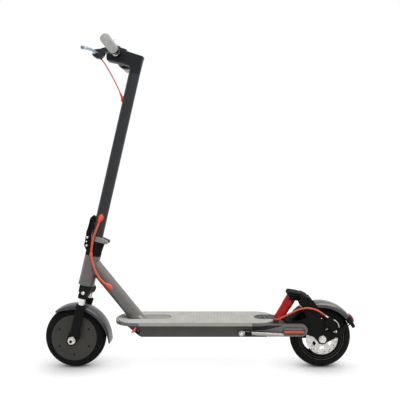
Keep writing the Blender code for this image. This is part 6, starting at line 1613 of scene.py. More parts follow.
@dataclass(frozen=True)
class Cockpit:
    """Stem, head casting, display, lamp, bar, bell, brake and throttle."""

    bell_y: float = -0.05
    bell_radius: float = 0.0165
    bell_height: float = 0.026
    bell_wall: float = 0.0016
    bell_clamp_half: float = 0.006
    bar_bore: float = 0.0112
    lamp: Point = (-0.0372, 0.0, -0.0005)
    lamp_aim: Point = (-1.0, 0.0, 0.04)
    lamp_radius: float = 0.0114
    lamp_clearance: float = 0.0005
    lamp_depth: float = 0.0062
    button: Point = (0.022, 0.0, 0.0162)
    button_aim: Point = (0.3072, 0.0, 0.9517)
    button_bore: float = 0.0066
    button_depth: float = 0.0047
    clamp_start: float = -0.092
    clamp_width: float = 0.025
    clamp_radius: float = 0.017
    perch_sides: Pair = (-0.0905, -0.0685)
    perch_chamfer: float = 0.0022
    brake_pivot: Point = (-0.055, -0.079, -0.012)
    slot_x: Pair = (-0.03, 0.0095)
    slot_half: Pair = (0.03, 0.0036)
    pivot_bore: float = 0.0028
    blade_tip: Point = (-0.023, -0.113, -0.0103)
    blade_tip_radius: float = 0.0057
    blade: tuple[tuple[Point, float, float], ...] = (
        ((-0.001, -0.004, 0.0), 0.0052, 0.0026), ((-0.007, -0.02, 0.001), 0.0062, 0.0031),
        ((-0.012, -0.05, 0.0), 0.0062, 0.0052), ((-0.018, -0.085, -0.005), 0.0058, 0.0058),
        ((-0.0225, -0.11, -0.0098), 0.005, 0.0052),
    )
    head: tuple[tuple[float, float, float, float, float, float], ...] = (
        (0.0403, -0.0616, 0.0768, -0.0699, 0.0188, 0.0186),
        (0.0396, -0.0606, 0.078, -0.0693, 0.0197, 0.0195),
        (0.0418, -0.0535, 0.0802, -0.059, 0.0203, 0.017),
        (0.0436, -0.0478, 0.0832, -0.045, 0.0209, 0.014),
        (0.043, -0.044, 0.087, -0.027, 0.0214, 0.0115),
        (0.0405, -0.041, 0.091, -0.0105, 0.0219, 0.0095),
        (0.0375, -0.039, 0.0925, -0.0072, 0.0221, 0.008),
        (0.033, -0.0369, 0.088, -0.0052, 0.0226, 0.007), (0.022, -0.0336, 0.06, 0.0036, 0.0228, 0.006),
        (0.008, -0.03, 0.036, 0.0113, 0.023, 0.0055), (-0.005, -0.0272, 0.005, 0.0213, 0.023, 0.0055),
        (-0.025, -0.0229, -0.024, 0.0307, 0.023, 0.0055),
        (-0.0345, -0.0209, -0.03, 0.0278, 0.0229, 0.0055),
        (-0.0376, -0.0186, -0.0358, 0.0195, 0.0222, 0.005),
        (-0.0381, -0.014, -0.0378, 0.014, 0.0208, 0.0045),
    )
    paddle: tuple[Point, ...] = (
        (-0.02, -0.003, 0.003), (-0.015, -0.0165, 0.005), (0.0, -0.027, 0.007), (0.027, -0.0285, 0.004),
        (0.029, -0.0185, 0.004), (0.014, -0.011, 0.006), (0.002, -0.01, 0.004), (-0.004, -0.003, 0.002),
    )
    perch: tuple[Point, ...] = (
        (-0.0727, -0.008, 0.004), (-0.0655, -0.001, 0.006), (-0.044, 0.0015, 0.008),
        (-0.03, 0.006, 0.005), (-0.0125, 0.007, 0.002), (-0.0125, -0.009, 0.002),
        (-0.029, -0.011, 0.005), (-0.0335, -0.023, 0.006), (-0.042, -0.031, 0.008),
        (-0.057, -0.031, 0.008), (-0.0695, -0.023, 0.008), (-0.0735, -0.015, 0.004),
    )

    @staticmethod
    def side_view(corners: Sequence[Point]) -> Spots:
        """Return a rounded outline, given from the bar, in scooter coordinates (x, z)."""
        return [(BAR.x - AXLE_X + x, BAR.z + z) for x, z in filleted(corners)]

    def head_casting(self) -> Mesh:
        """Return the head: round on the stem, bent forward to a square nose.

        Its stations give the inner and the outer point of the side view from the
        bar, half the width and the corner radius.
        """
        rings = []
        for in_x, in_z, out_x, out_z, half_width, corner in self.head:
            low, high = from_bar(in_x, 0, in_z), from_bar(out_x, 0, out_z)
            ring = rounded_ring((low + high) / 2, (high - low) / 2, half_width, corner)
            rings.append(ring)
        bar_hole = rod(from_bar(0, -0.03, 0), from_bar(0, 0.03, 0), self.bar_bore)
        up = Vector(self.button_aim)
        foot = from_bar(*self.button)
        button_hole = rod(foot - up * self.button_depth, foot + up * 0.02, self.button_bore)
        lamp = from_bar(*self.lamp)
        ahead = Vector(self.lamp_aim).normalized()
        lamp_bore = self.lamp_radius + self.lamp_clearance
        lamp_hole = rod(lamp - ahead * self.lamp_depth, lamp + ahead * 0.02, lamp_bore)
        return carved(spanned(rings), bar_hole, button_hole, lamp_hole)

    def brake_perch(self) -> Mesh:
        """Return the brake's clamp with the fork that holds the blade."""
        radius = self.clamp_radius
        width = self.clamp_width
        profile = [(self.bar_bore, 0.0), (radius - 0.0008, 0.0), (radius, 0.0008)]
        profile += [(radius, width - 0.0008), (radius - 0.0008, width), (self.bar_bore, width)]
        ring = turned(profile, along(from_bar(0, self.clamp_start, 0), from_bar(0, 0, 0)), 48)
        side = self.side_view(self.perch)
        middle = Vector((sum(x for x, _ in side), sum(z for _, z in side))) / len(side)
        low, high = self.perch_sides
        slope = self.perch_chamfer
        rings = []
        for y, inset in ((low, slope), (low + slope, 0), (high - slope, 0), (high, slope)):
            moves = [(middle - Vector(spot)).normalized() * inset for spot in side]
            rings.append([place(x + m.x, y, z + m.y) for (x, z), m in zip(side, moves)])
        pivot = from_bar(*self.brake_pivot)
        x = pivot.x - AXLE_X
        back, front = (x + reach for reach in self.slot_x)
        reach, half = self.slot_half
        near, far = pivot.y - reach, pivot.y + reach
        plan = [(back, near), (front, near), (front, far), (back, far)]
        slot = slab(plan, pivot.z - half, pivot.z + half)
        over = rod(pivot + UP * 0.003, pivot + UP * 0.0098, self.pivot_bore)
        under = rod(pivot - UP * 0.0098, pivot - UP * 0.003, self.pivot_bore)
        return joined(ring, carved(carved(spanned(rings), slot), over, under))

    def brake_blade(self) -> Mesh:
        """Return the brake lever: eye, pin and a smooth oval blade."""
        pivot = from_bar(*self.brake_pivot)
        count = 28
        spots = smooth_route([pivot + Vector(spot) for spot, _, _ in self.blade], count)
        rings = []
        for k, centre in enumerate(spots):
            share = k / count * (len(self.blade) - 1)
            low = min(int(share), len(self.blade) - 2)
            part = share - low
            (_, wide, high), (_, wide_next, high_next) = self.blade[low : low + 2]
            run = spots[min(k + 1, count)] - spots[max(k - 1, 0)]
            across = run.cross(UP).normalized()
            up = across.cross(run).normalized()
            across *= wide + (wide_next - wide) * part
            up *= high + (high_next - high) * part
            turns = turns_round(20)
            rings.append([centre + across * math.cos(a) + up * math.sin(a) for a in turns])
        eye = rod(pivot - UP * 0.003, pivot + UP * 0.003, 0.0075, 0.0006)
        pin = rod(pivot - UP * 0.0095, pivot + UP * 0.0095, 0.0025, 0.0004)
        return joined(spanned(rings), eye, pin)

    def tip_ball(self) -> Mesh:
        """Return the round ball at the end of the blade."""
        radius = self.blade_tip_radius
        turns = [math.pi * k / 12 for k in range(1, 12)]
        profile = [(radius * math.sin(turn), -radius * math.cos(turn)) for turn in turns]
        centre = from_bar(*self.brake_pivot) + Vector(self.blade_tip)
        profile = [(0.0, -radius), *profile, (0.0, radius)]
        return turned(profile, Matrix.Translation(centre), 28)

    def quarter(self, less: float) -> Spots:
        """Return the bell's profile, or one that lies inside it, from its rim up."""
        turns = [math.pi / 2 * k / 12 for k in range(12)]
        wide, high = self.bell_radius - less, self.bell_height - less
        return [(wide * math.cos(a), high * math.sin(a)) for a in turns] + [(0.0, high)]

    def bell(self) -> Mesh:
        """Return the bell: clamp, shelf, post, thin dome and the striker's tab."""
        half = self.bell_clamp_half
        clamp = [(0.0113, -half), (0.0141, -half), (0.0145, -half + 0.0006)]
        clamp += [(0.0145, half - 0.0006), (0.0141, half), (0.0113, half)]
        centre = from_bar(0, self.bell_y, 0)
        ring = turned(clamp, along(centre, centre - LEFTWARD), 48)
        foot = centre + UP * 0.0135
        dome_foot = foot + UP * 0.005
        rim = self.bell_radius + 0.0004
        profile = self.quarter(self.bell_wall)[::-1] + [(rim, 0.0), (rim, 0.0009)]
        profile += self.quarter(0.0)[1:]
        dome = turned(profile, Matrix.Translation(dome_foot), 56)
        post = rod(foot - UP * 0.001, dome_foot + UP * (self.bell_height - 0.001), 0.004)
        shelf = rod(foot - UP * 0.0005, foot + UP * 0.0035, 0.007)
        pivot = from_bar(0, self.bell_y + 0.0145, 0.0165)
        top = pivot.z - 0.0015
        x, y = pivot.x - AXLE_X, pivot.y + 0.003
        plan = [(x - 0.0035, self.bell_y), (x + 0.0035, self.bell_y), (x + 0.0035, y), (x - 0.0035, y)]
        tab = slab(plan, top - 0.002, top)
        return joined(ring, post, shelf, dome, tab)

    def lamp_bezel(self) -> Mesh:
        """Return the thin black ring round the headlight."""
        centre = from_bar(*self.lamp)
        radius = self.lamp_radius
        profile = [(radius - 0.0006, 0.0002), (radius + 0.0016, -0.0006)]
        profile += [(radius + 0.0017, 0.0006), (radius + 0.0008, 0.0016), (radius - 0.0004, 0.0014)]
        return turned(profile, along(centre, centre + Vector(self.lamp_aim)), 48)

    def brake_fittings(self, bench: Bench) -> None:
        """Make the cable adjuster, the clamp bolt and the pivot's screw."""
        run = Vector((-0.25, 0, -1)).normalized()
        low = from_bar(-0.0395, -0.0735, -0.012) + run * 0.0175
        rows = [(0.0, 0.0, False), (0.0034, 0.0, False), (0.0036, 0.0006, True)]
        rows += [(0.0036, 0.0034, True), (0.0032, 0.004, False), (0.0, 0.004, False)]
        adjuster = knurled(rows, along(low, low + run), 36)
        bench.add("brake_cable_adjuster", adjuster, SCREW_BLACK, Body.STEM)
        clamp = Screw(0.0028, 0.002).mesh(from_bar(0.001, -0.0795, -0.0165), -UP)
        bench.add("brake_clamp_bolt", clamp, STEEL, Body.STEM)
        screw = Screw(0.0042, 0.002).mesh(from_bar(-0.055, -0.079, 0.0002), UP)
        bench.add("brake_pivot_screw", screw, SCREW_BLACK, Body.STEM)

    def clamp_bolts(self) -> Mesh:
        """Return the four bolts under the head that clamp the bar."""
        feet = [
            from_bar(x, y, -0.0222 - (x + 0.02) * 0.23)
            for x in (-0.018, 0.016)
            for y in (-0.014, 0.014)
        ]
        return Screw(0.003, 0.0016).row(feet, Vector((-0.22, 0, -1)))

    def build(self, bench: Bench) -> None:
        """Make and dress the stem and everything on it."""
        stem = Body.STEM
        lever = Body.BRAKE_LEVER
        bench.dress(STEM_PAINT, "stem_tube")
        bench.add("head_casting", self.head_casting(), HEAD_PAINT, stem, ("stem_head",))
        bench.dress(BLACK_ALLOY, "handlebar")
        bench.add("brake_perch", self.brake_perch(), BLACK_PLASTIC, stem, ("brake_bracket",))
        bench.dress(BLACK_PLASTIC, "throttle_housing", "throttle_lever", "bell_striker")
        near, far = (spot.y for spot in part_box("throttle_lever"))
        paddle = prism(self.side_view(self.paddle), near + 0.0005, far - 0.0005)
        bench.add("throttle_paddle", paddle, BLACK_PLASTIC, Body.THROTTLE_LEVER, (), 0.0015)
        bench.dress(WINDOW, "display_window")
        bench.dress(ALLOY, "power_button")
        bench.dress(LAMP_LENS, "headlight")
        for side in Side:
            Grip(side).build(bench)
        bench.add("bell_dome", self.bell(), BELL_CHROME, stem, ("bell",), smooth=45)
        bench.add("brake_blade", self.brake_blade(), BLADE_ALLOY, lever, ("brake_lever",))
        bench.add("brake_blade_tip", self.tip_ball(), TIP_GREY, lever)
        bench.add("headlight_bezel", self.lamp_bezel(), BLACK_PLASTIC, stem)
        self.brake_fittings(bench)
        bench.add("bar_clamp_bolts", self.clamp_bolts(), SCREW_BLACK, stem)


# Frame and deck


@dataclass(frozen=True)
class Deck:
    """Deck: mat with grip studs, tub, tail casting, painted shadow panels, port, reflectors, screws."""

    mat_top: float = 0.1743
    nose_centre: float = 0.206
    mat_nose: float = 0.053
    mat_half: float = 0.0745
    tail_corner_x: float = 0.64
    tail_length: float = 0.063
    tail_half: float = 0.0275
    tail_corner: float = 0.047
    stud_pitch: Pair = (0.0105, 0.0062)
    stud_size: Pair = (0.0058, 0.0016)
    stud_height: float = 0.0007
    stud_margin: float = 0.0045
    stud_turn: float = 32.0
    stud_rows: int = 13
    stud_run: Pair = (0.15, 0.705)
    slot: Point = (0.1738, 0.342, 0.0285)
    plate: Pair = (0.637, 0.028)
    arm_face: float = 0.062
    bed: tuple[float, float, float, float] = (0.743, 0.797, 0.1415, 0.014)
    bed_depth: float = 0.0022
    bed_floor: float = 0.0009
    bar: tuple[float, float, float, float] = (0.7375, 0.8065, 0.1345, 0.1425)
    rail: tuple[float, float, float, float] = (0.736, 0.805, 0.1466, 0.1508)
    port: Pair = (0.2305, 0.1405)
    plate_bolts: Outline = (
        (0.652, 0.0), (0.668, -0.014), (0.668, 0.014), (0.686, 0.0), (0.7, -0.018), (0.7, 0.018),
    )

    def on_mat(self, x: float, y: float, margin: float) -> bool:
        """Return whether a point lies on the mat, clear of its edges."""
        half = self.mat_half - margin
        if x < self.nose_centre:
            reach = (self.nose_centre - x) / (self.mat_nose - margin)
            if reach >= 1 or abs(y) > half * math.sqrt(1 - reach**2):
                return False
        elif x > self.tail_corner_x:
            reach = (x - self.tail_corner_x) / (self.tail_length - margin)
            corner = (self.tail_corner - margin) * math.sqrt(max(1 - reach**2, 0))
            if reach >= 1 or abs(y) > self.tail_half + corner:
                return False
        elif abs(y) > half:
            return False
        start, end, slot_half = self.slot
        middle = min(max(x, start + slot_half), end - slot_half)
        if math.hypot(x - middle, y) < slot_half + margin:
            return False
        plate_x, plate_half = self.plate
        middle = max(x, plate_x + plate_half)
        return math.hypot(x - middle, y) > plate_half + margin

    def stud(self, x: float, y: float, slant: float) -> list[list[Vector]]:
        """Return the rings of one stud, from its foot to its narrower top."""
        turn = math.radians(slant)
        length, width = self.stud_size
        run = Vector((math.cos(turn), math.sin(turn), 0))
        side = Vector((-run.y, run.x, 0)) * width / 2
        run *= length / 2
        high = self.mat_top + self.stud_height
        rings = []
        for level, share in ((self.mat_top - 0.0003, 1.0), (high - 0.0002, 0.92), (high, 0.62)):
            middle = place(x, y, level)
            corners = ((-1, -1), (1, -1), (1, 1), (-1, 1))
            rings.append([middle + (run * a + side * b) * share for a, b in corners])
        return rings

    def studs(self) -> Mesh:
        """Return the mat's raised studs, in slanting rows that cross."""
        mesh = bmesh.new()
        step_x, step_y = self.stud_pitch
        first, last = self.stud_run
        for row in range(-self.stud_rows, self.stud_rows + 1):
            odd = row % 2
            x = first + (step_x / 2 if odd else 0.0)
            while x < last:
                if self.on_mat(x, row * step_y, self.stud_margin):
                    rings = self.stud(x, row * step_y, self.stud_turn if odd else -self.stud_turn)
                    made = [[mesh.verts.new(point) for point in ring] for ring in rings]
                    for lower, upper in zip(made, made[1:]):
                        for k in range(4):
                            j = (k + 1) % 4
                            mesh.faces.new((lower[k], lower[j], upper[j], upper[k]))
                    mesh.faces.new(made[-1])
                    mesh.faces.new(made[0][::-1])
                x += step_x
        return mesh

    @staticmethod
    def strip(box: Sequence[float], corner: float, steps: int, low: float, high: float) -> Mesh:
        """Return a rounded strip (first x, last x, low z, high z) between two Ys."""
        start, end, foot, top = box
        corners = [(start, foot, corner), (end, foot, corner), (end, top, corner), (start, top, corner)]
        return prism(filleted(corners, steps), *sorted((low, high)))

    def reflector(self, side: Side, bench: Bench) -> None:
        """Make the orange bar and its rim in the recess of one rear arm."""
        start, end, middle, radius = self.bed
        outline = pill(start, end, middle, radius - EMBED, 12)
        inset = pill(start, end, middle, radius - 0.003, 12)
        face = side.value * self.arm_face
        floor = side.value * (self.arm_face - self.bed_depth)
        inner = side.value * (self.arm_face - self.bed_floor)
        levels = ((outline, floor), (outline, face), (inset, face), (inset, inner))
        bed = spanned([[place(x, y, z) for x, z in spots] for spots, y in levels])
        bench.add(f"reflector_bed_{side.word}", bed, TUB_PAINT, Body.FRAME, (), 0.0003)
        foot = inner - side.value * EMBED
        bar = self.strip(self.bar, 0.0036, 6, foot, face + side.value * 0.0006)
        bench.add(f"reflector_{side.word}", bar, REFLECTOR, Body.FRAME, (), 0.0006)
        rail = self.strip(self.rail, 0.0018, 4, foot, face - side.value * 0.0001)
        bench.add(f"reflector_rail_{side.word}", rail, RAIL_PAINT, Body.FRAME, (), 0.0005)

    def tail_panel(self, side: Side, bench: Bench) -> None:
        """Make the dark panel on the front of one arm: painted shadow where the trim's overhang shades
        the arm.
        """
        corners = [(0.6262, 0.1456, 0.0015), (0.671, 0.1456, 0.004), (0.73, 0.159, 0.004)]
        corners += [(0.73, 0.1612, 0.001), (0.6262, 0.1612, 0.0015)]
        levels = sorted(side.value * (self.arm_face + out) for out in (-EMBED, 0.0007))
        panel = prism(filleted(corners), *levels)
        bench.add(f"tail_panel_{side.word}", panel, PAINTED_SHADOW, Body.FRAME, (), 0.0003)

    def inlay(self, bench: Bench) -> None:
        """Make the smooth inlay in the mat's slot, with its raised dark rim, which is painted shade
        along the edges of the recess.
        """
        start, end, half = self.slot
        # The rim in the tub's dark paint is painted shade along the edges of the slot's recess.
        for name, inset, top, finish in (
            ("deck_inlay", 0.0032, 0.173, INLAY_PAINT), ("deck_inlay_rim", 0.0006, 0.1724, TUB_PAINT)
        ):
            outline = pill(start + half, end - half, 0.0, half - inset, 20)
            bench.add(name, slab(outline, 0.1712, top), finish, Body.FRAME, (), 0.0003)

    def charging_port(self, bench: Bench) -> None:
        """Make the charging socket and its pin."""
        x, z = self.port
        centre = place(x, -self.arm_face, z)
        profile = [(0.0, -0.0095), (0.0086, -0.0095), (0.0086, -0.0001), (0.008, -0.0001)]
        profile += [(0.0076, -0.0006), (0.0074, -0.0075), (0.0, -0.0075)]
        socket = turned(profile, along(centre, centre + LEFTWARD), 48)
        bench.add("charge_socket", socket, BLACK_PLASTIC, Body.FRAME)
        pin = rod(centre - LEFTWARD * 0.0078, centre - LEFTWARD * 0.0042, 0.0013, 0.0004)
        bench.add("charge_socket_pin", pin, STEEL, Body.FRAME)

    def screws(self, bench: Bench) -> None:
        """Make the screws of the base plate and of the shock's plate."""
        spots = (0.258, 0.34, 0.422, 0.504, 0.586, 0.66)
        feet = [place(x, y, 0.1213) for x in spots for y in (-0.052, 0.052)]
        heads = Screw(0.0034, 0.001).row(feet, -UP)
        bench.add("base_plate_screws", heads, SCREW_BLACK, Body.FRAME)
        feet = [place(x, y, 0.1753) for x, y in self.plate_bolts]
        heads = Screw(0.0056, 0.0012, 0.5).row(feet, UP)
        bench.add("shock_plate_screws", heads, BLACK_PLASTIC, Body.FRAME)

    def build(self, bench: Bench) -> None:
        """Make and dress the frame and the deck."""
        bench.dress(FRAME_PAINT, "frame_neck", "rear_frame")
        bench.dress(TRIM_PAINT, "deck_plate")
        bench.dress(MAT_RUBBER, "deck_mat")
        bench.dress(TUB_PAINT, "deck_tub")
        bench.dress(BLACK_ALLOY, "base_plate")
        bench.dress(PLATE_PAINT, "shock_mount")
        bench.dress(BATTERY_WRAP, "battery_pack")
        bench.dress(BLACK_PLASTIC, "motor_controller")
        bench.dress(ORANGE_RUBBER, "charge_cap")
        bench.add("deck_mat_studs", self.studs(), MAT_RUBBER, Body.FRAME, smooth=20)
        for side in Side:
            self.reflector(side, bench)
            self.tail_panel(side, bench)
        self.inlay(bench)
        self.charging_port(bench)
        self.screws(bench)


@dataclass(frozen=True)
class Kickstand:
    """Kickstand: bracket, leg, ribbed boot and pivot bolt."""

    pivot: Pair = (0.588, 0.137)
    near_y: float = -0.0691
    hub_width: float = 0.0095
    boot_y: float = -0.0764
    boot_radius: float = 0.007
    ribs: int = 5
    rib_pitch: float = 0.0038
    groove_depth: float = 0.0004

    def boot(self) -> Mesh:
        """Return the ribbed boot over the leg's upper end."""
        x, z = self.pivot
        start = place(x + 0.0125, self.boot_y, z + 0.001)
        end = place(x + 0.0355, self.boot_y, z - 0.0002)
        length = (end - start).length
        outer = self.boot_radius
        inner = outer - self.groove_depth
        profile = [(0.0, 0.0), (0.0064, 0.0), (outer, 0.0006)]
        for k in range(self.ribs):
            low = 0.002 + k * self.rib_pitch
            profile += [(outer, low), (inner, low + 0.0008), (inner, low + 0.0014)]
            profile.append((outer, low + 0.0022))
        profile += [(outer, length - 0.0008), (0.0062, length), (0.0, length)]
        return turned(profile, along(start, end), 36)

    def build(self, bench: Bench) -> None:
        """Make and dress the kickstand."""
        bench.dress(PLATE_PAINT, "kickstand_bracket")
        bench.dress(STAND_ALLOY, "kickstand_leg")
        bench.add("kickstand_boot", self.boot(), BLACK_RUBBER, Body.KICKSTAND)
        x, z = self.pivot
        face = place(x, self.near_y - self.hub_width - 0.0007, z)
        bolt = Screw(0.0052, 0.0026, 0.45).mesh(face, LEFTWARD)
        bench.add("kickstand_bolt", bolt, STEEL, Body.FRAME)


# Rear end


@dataclass(frozen=True)
class RearEnd:
    """Swingarm, shock, rear mudguard, tail light, caliper and axle."""

    guard_radius: float = 0.1245
    guard_half_width: float = 0.033
    strut_y: float = 0.0472
    strut_foot: Outline = ((0.044, 0.008), (0.06, 0.021))
    strut_head: tuple[Point, ...] = ((27.82, -0.0015, 0.02273), (29.13, 0.0005, 0.00945))
    shock_low: Point = (0.716, 0.0, 0.154)
    shock_high: Point = (0.773, 0.0, 0.247)
    shock_bolt_y: float = 0.0208
    can_radius: float = 0.017
    can_ends: Pair = (0.019, 0.0825)
    can_grooves: Pair = (0.028, 0.0315)
    groove_depth: float = 0.0008
    rod_bore: float = 0.0063
    eye_half: float = 0.011
    eye_radius: float = 0.0075
    collar_radius: float = 0.0176
    shroud: Outline = (
        (0.0173, 0.0722), (0.0178, 0.0718), (0.0182, 0.0728), (0.0182, 0.1085), (0.017, 0.11),
        (0.0062, 0.1102), (0.0062, 0.0979), (0.0163, 0.0978), (0.0173, 0.0968),
    )
    ear_foot: float = 0.0972
    ear_room: float = 0.03
    carrier: tuple[Point, ...] = (
        (-0.012, 0.016, 0.004), (-0.012, 0.062, 0.004), (0.006, 0.078, 0.006), (0.034, 0.076, 0.006),
        (0.05, 0.056, 0.005), (0.05, 0.03, 0.005), (0.03, 0.024, 0.006),
    )
    carrier_sides: Pair = (-0.0445, -0.0402)
    carrier_window: Point = (0.0165, 0.032, 0.0052)
    caliper_face: float = -0.053
    arm_hub: Pair = (0.026, 0.048)
    bow_centre: Pair = (0.0255, 0.044)

    def strut(self, side: Side) -> Mesh:
        """Return one flat strut that holds the mudguard."""
        across = side.outward
        middles = [REAR_CENTRE + across * self.strut_y + Vector((x, 0, z)) for x, z in self.strut_foot]
        for angle, gap, depth in self.strut_head:
            turn = math.radians(angle)
            out = Vector((math.cos(turn), 0, math.sin(turn))) * (self.guard_radius - depth)
            middles.append(REAR_CENTRE + out + across * (self.guard_half_width - gap))
        wide = Vector((-0.66, 0, 0.75)) * 0.006
        thick = Vector((0, 0.0012, 0))
        offsets = (-wide - thick, wide - thick, wide + thick, thick - wide)
        return spanned([[middle + offset for offset in offsets] for middle in middles])

    def shock_can(self, axis: Matrix, low: Vector, run: Vector) -> Mesh:
        """Return the shock's can with its two grooves, its neck and its lower eye."""
        radius = self.can_radius
        foot, top = self.can_ends
        profile = [(0.0, foot), (radius - 0.0015, foot), (radius, foot + 0.0015)]
        sunk = radius - self.groove_depth
        for groove in self.can_grooves:
            profile += [(radius, groove), (sunk, groove + 0.0006)]
            profile += [(sunk, groove + 0.0016), (radius, groove + 0.0022)]
        profile += [(radius, top - 0.0015), (radius - 0.0015, top), (self.rod_bore, top)]
        profile += [(self.rod_bore, 0.039), (0.0, 0.039)]
        neck = rod(low + run * 0.0076, low + run * 0.023, 0.0068)
        half = self.eye_half
        outer = self.eye_radius
        ring = [(0.0042, -half), (outer - 0.0005, -half), (outer, 0.0005 - half)]
        ring += [(outer, half - 0.0005), (outer - 0.0005, half), (0.0042, half)]
        eye = turned(ring, along(low, low - LEFTWARD), 40)
        return joined(turned(profile, axis), neck, eye)

    def shock_pieces(self, bench: Bench) -> None:
        """Make the shock's can with its lower eye, a collar and the rod's shroud."""
        low, high = place(*self.shock_low), place(*self.shock_high)
        axis = along(low, high)
        run = (high - low).normalized()
        can = self.shock_can(axis, low, run)
        bench.add("shock_can", can, SHOCK_RED, Body.SHOCK_BODY, ("shock_body",))
        outer = self.collar_radius
        rows = [(0.0, 0.0188, False), (0.0165, 0.0188, False), (outer, 0.0194, True)]
        rows += [(outer, 0.0244, True), (0.0165, 0.025, False), (0.0, 0.025, False)]
        collar = knurled(rows, axis, 72)
        bench.add("shock_collar", collar, SHOCK_RED, Body.SHOCK_BODY, smooth=30)
        across = Vector((run.z, 0, -run.x)) * self.ear_room
        foot = low + run * self.ear_foot
        corners = [foot - across, foot + across]
        corners += [corner + run * self.ear_room for corner in (corners[1], corners[0])]
        ears = []
        for levels in ((-0.0308, -0.0108), (0.0108, 0.0308)):
            ears.append(spanned([[corner - LEFTWARD * y for corner in corners] for y in levels]))
        shroud = carved(turned(self.shroud, axis), *ears)
        bench.add("shock_shroud", shroud, SHOCK_RED, Body.SHOCK_ROD)

    def caliper_pieces(self, bench: Bench) -> None:
        """Make the caliper's carrier plate and its bow-shaped arm."""
        x, z = WHEELBASE, TYRE_RADIUS
        outline = [(x + a, z + b) for a, b in filleted(self.carrier)]
        plate = prism(outline, *self.carrier_sides)
        right, up, radius = self.carrier_window
        ends = (place(x + right, y, z + up) for y in (-0.05, -0.03))
        carrier = carved(plate, rod(*ends, radius))
        bench.add("caliper_carrier", carrier, BLACK_ALLOY, Body.SWINGARM, (), 0.0005)
        face = self.caliper_face - 0.0005
        right, up = self.arm_hub
        hub = (x + right, z + up)
        ends = (place(hub[0], y, hub[1]) for y in (face + 0.0065, face - 0.0035))
        eye = rod(*ends, 0.0029)
        right, up = self.bow_centre
        centre = (x + right, z + up)
        link = arc(hub, 0.0062, 230, 80, 10)
        link += arc(centre, 0.0305, 66, 58, 3)
        link += arc(centre, 0.0265, 54, 46, 3)
        arm = joined(eye, prism(link, face - 0.003, face))
        bench.add("caliper_arm_link", arm, BLACK_ALLOY, Body.CALIPER_ARM, ("caliper_arm",))
        outline = arc(centre, 0.031, 68, 2, 16) + arc(centre, 0.0285, 2, 68, 16)
        bow = prism(outline, face - 0.0036, face - 0.0006)
        bench.add("caliper_arm_bow", bow, STEEL, Body.CALIPER_ARM, (), 0.0004)

    def side_fasteners(self, side: Side, bench: Bench) -> None:
        """Make one side's bolts of the struts and the shock, and its axle washer."""
        out = side.outward
        spot = REAR_CENTRE + Vector((0.0925, side.value * 0.0352, 0.05))
        head = Screw(0.003, 0.0016).mesh(spot, out)
        bench.add(f"strut_bolt_{side.word}", head, STEEL, Body.SWINGARM)
        ring = washer(REAR_CENTRE + out * 0.0456, out, 0.0066, 0.0128, 0.0013)
        bench.add(f"rear_axle_washer_{side.word}", ring, STEEL, Body.SWINGARM)
        for name, (x, _, z), body in (
            ("low", self.shock_low, Body.FRAME), ("high", self.shock_high, Body.SWINGARM)
        ):
            head = Screw(0.0058, 0.003).mesh(place(x, side.value * self.shock_bolt_y, z), out)
            bench.add(f"shock_bolt_{name}_{side.word}", head, SCREW_BLACK, body)

    def caliper_screws(self, bench: Bench) -> None:
        """Make the bolt and screws of the caliper and the screw of its arm."""
        face = self.caliper_face
        bolt = Screw(0.0036, 0.002).mesh(place(0.8895, face, 0.162), LEFTWARD)
        bench.add("caliper_bolt", bolt, SCREW_BLACK, Body.SWINGARM)
        feet = [place(0.917, face, 0.148), place(0.896, face, 0.176)]
        screws = Screw(0.0034, 0.0018).row(feet, LEFTWARD)
        bench.add("caliper_screws", screws, SCREW_BLACK, Body.SWINGARM)
        pivot = Screw(0.0044, 0.0022).mesh(place(0.9, face - 0.0035, 0.156), LEFTWARD)
        bench.add("caliper_arm_screw", pivot, SCREW_BLACK, Body.CALIPER_ARM)

    def build(self, bench: Bench) -> None:
        """Make and dress the rear end."""
        bench.dress(BLACK_ALLOY, "swingarm", "brake_caliper")
        bench.dress(SHOCK_RED, "shock_rod")
        bench.dress(RED_LENS, "tail_light")
        bench.dress(STEEL, "rear_axle")
        Mudguard(
            "rear_mudguard_shell",
            "rear_mudguard",
            Body.SWINGARM,
            REAR_CENTRE,
            GUARD_REAR,
            radius=self.guard_radius,
            flare=0.004,
            skirt=0.0185,
            angles=(148.0, 18.0),
            taper=(60.0, 16.0),
            tips=(0.15, 0.75),
            ends=(24.0, 20.0),
            half_width=self.guard_half_width,
        ).build(bench)
        struts = joined(*(self.strut(side) for side in Side))
        bench.add("mudguard_struts", struts, BLACK_ALLOY, Body.SWINGARM, (), 0.0006)
        self.shock_pieces(bench)
        self.caliper_pieces(bench)
        for side in Side:
            self.side_fasteners(side, bench)
        self.caliper_screws(bench)


# Studio


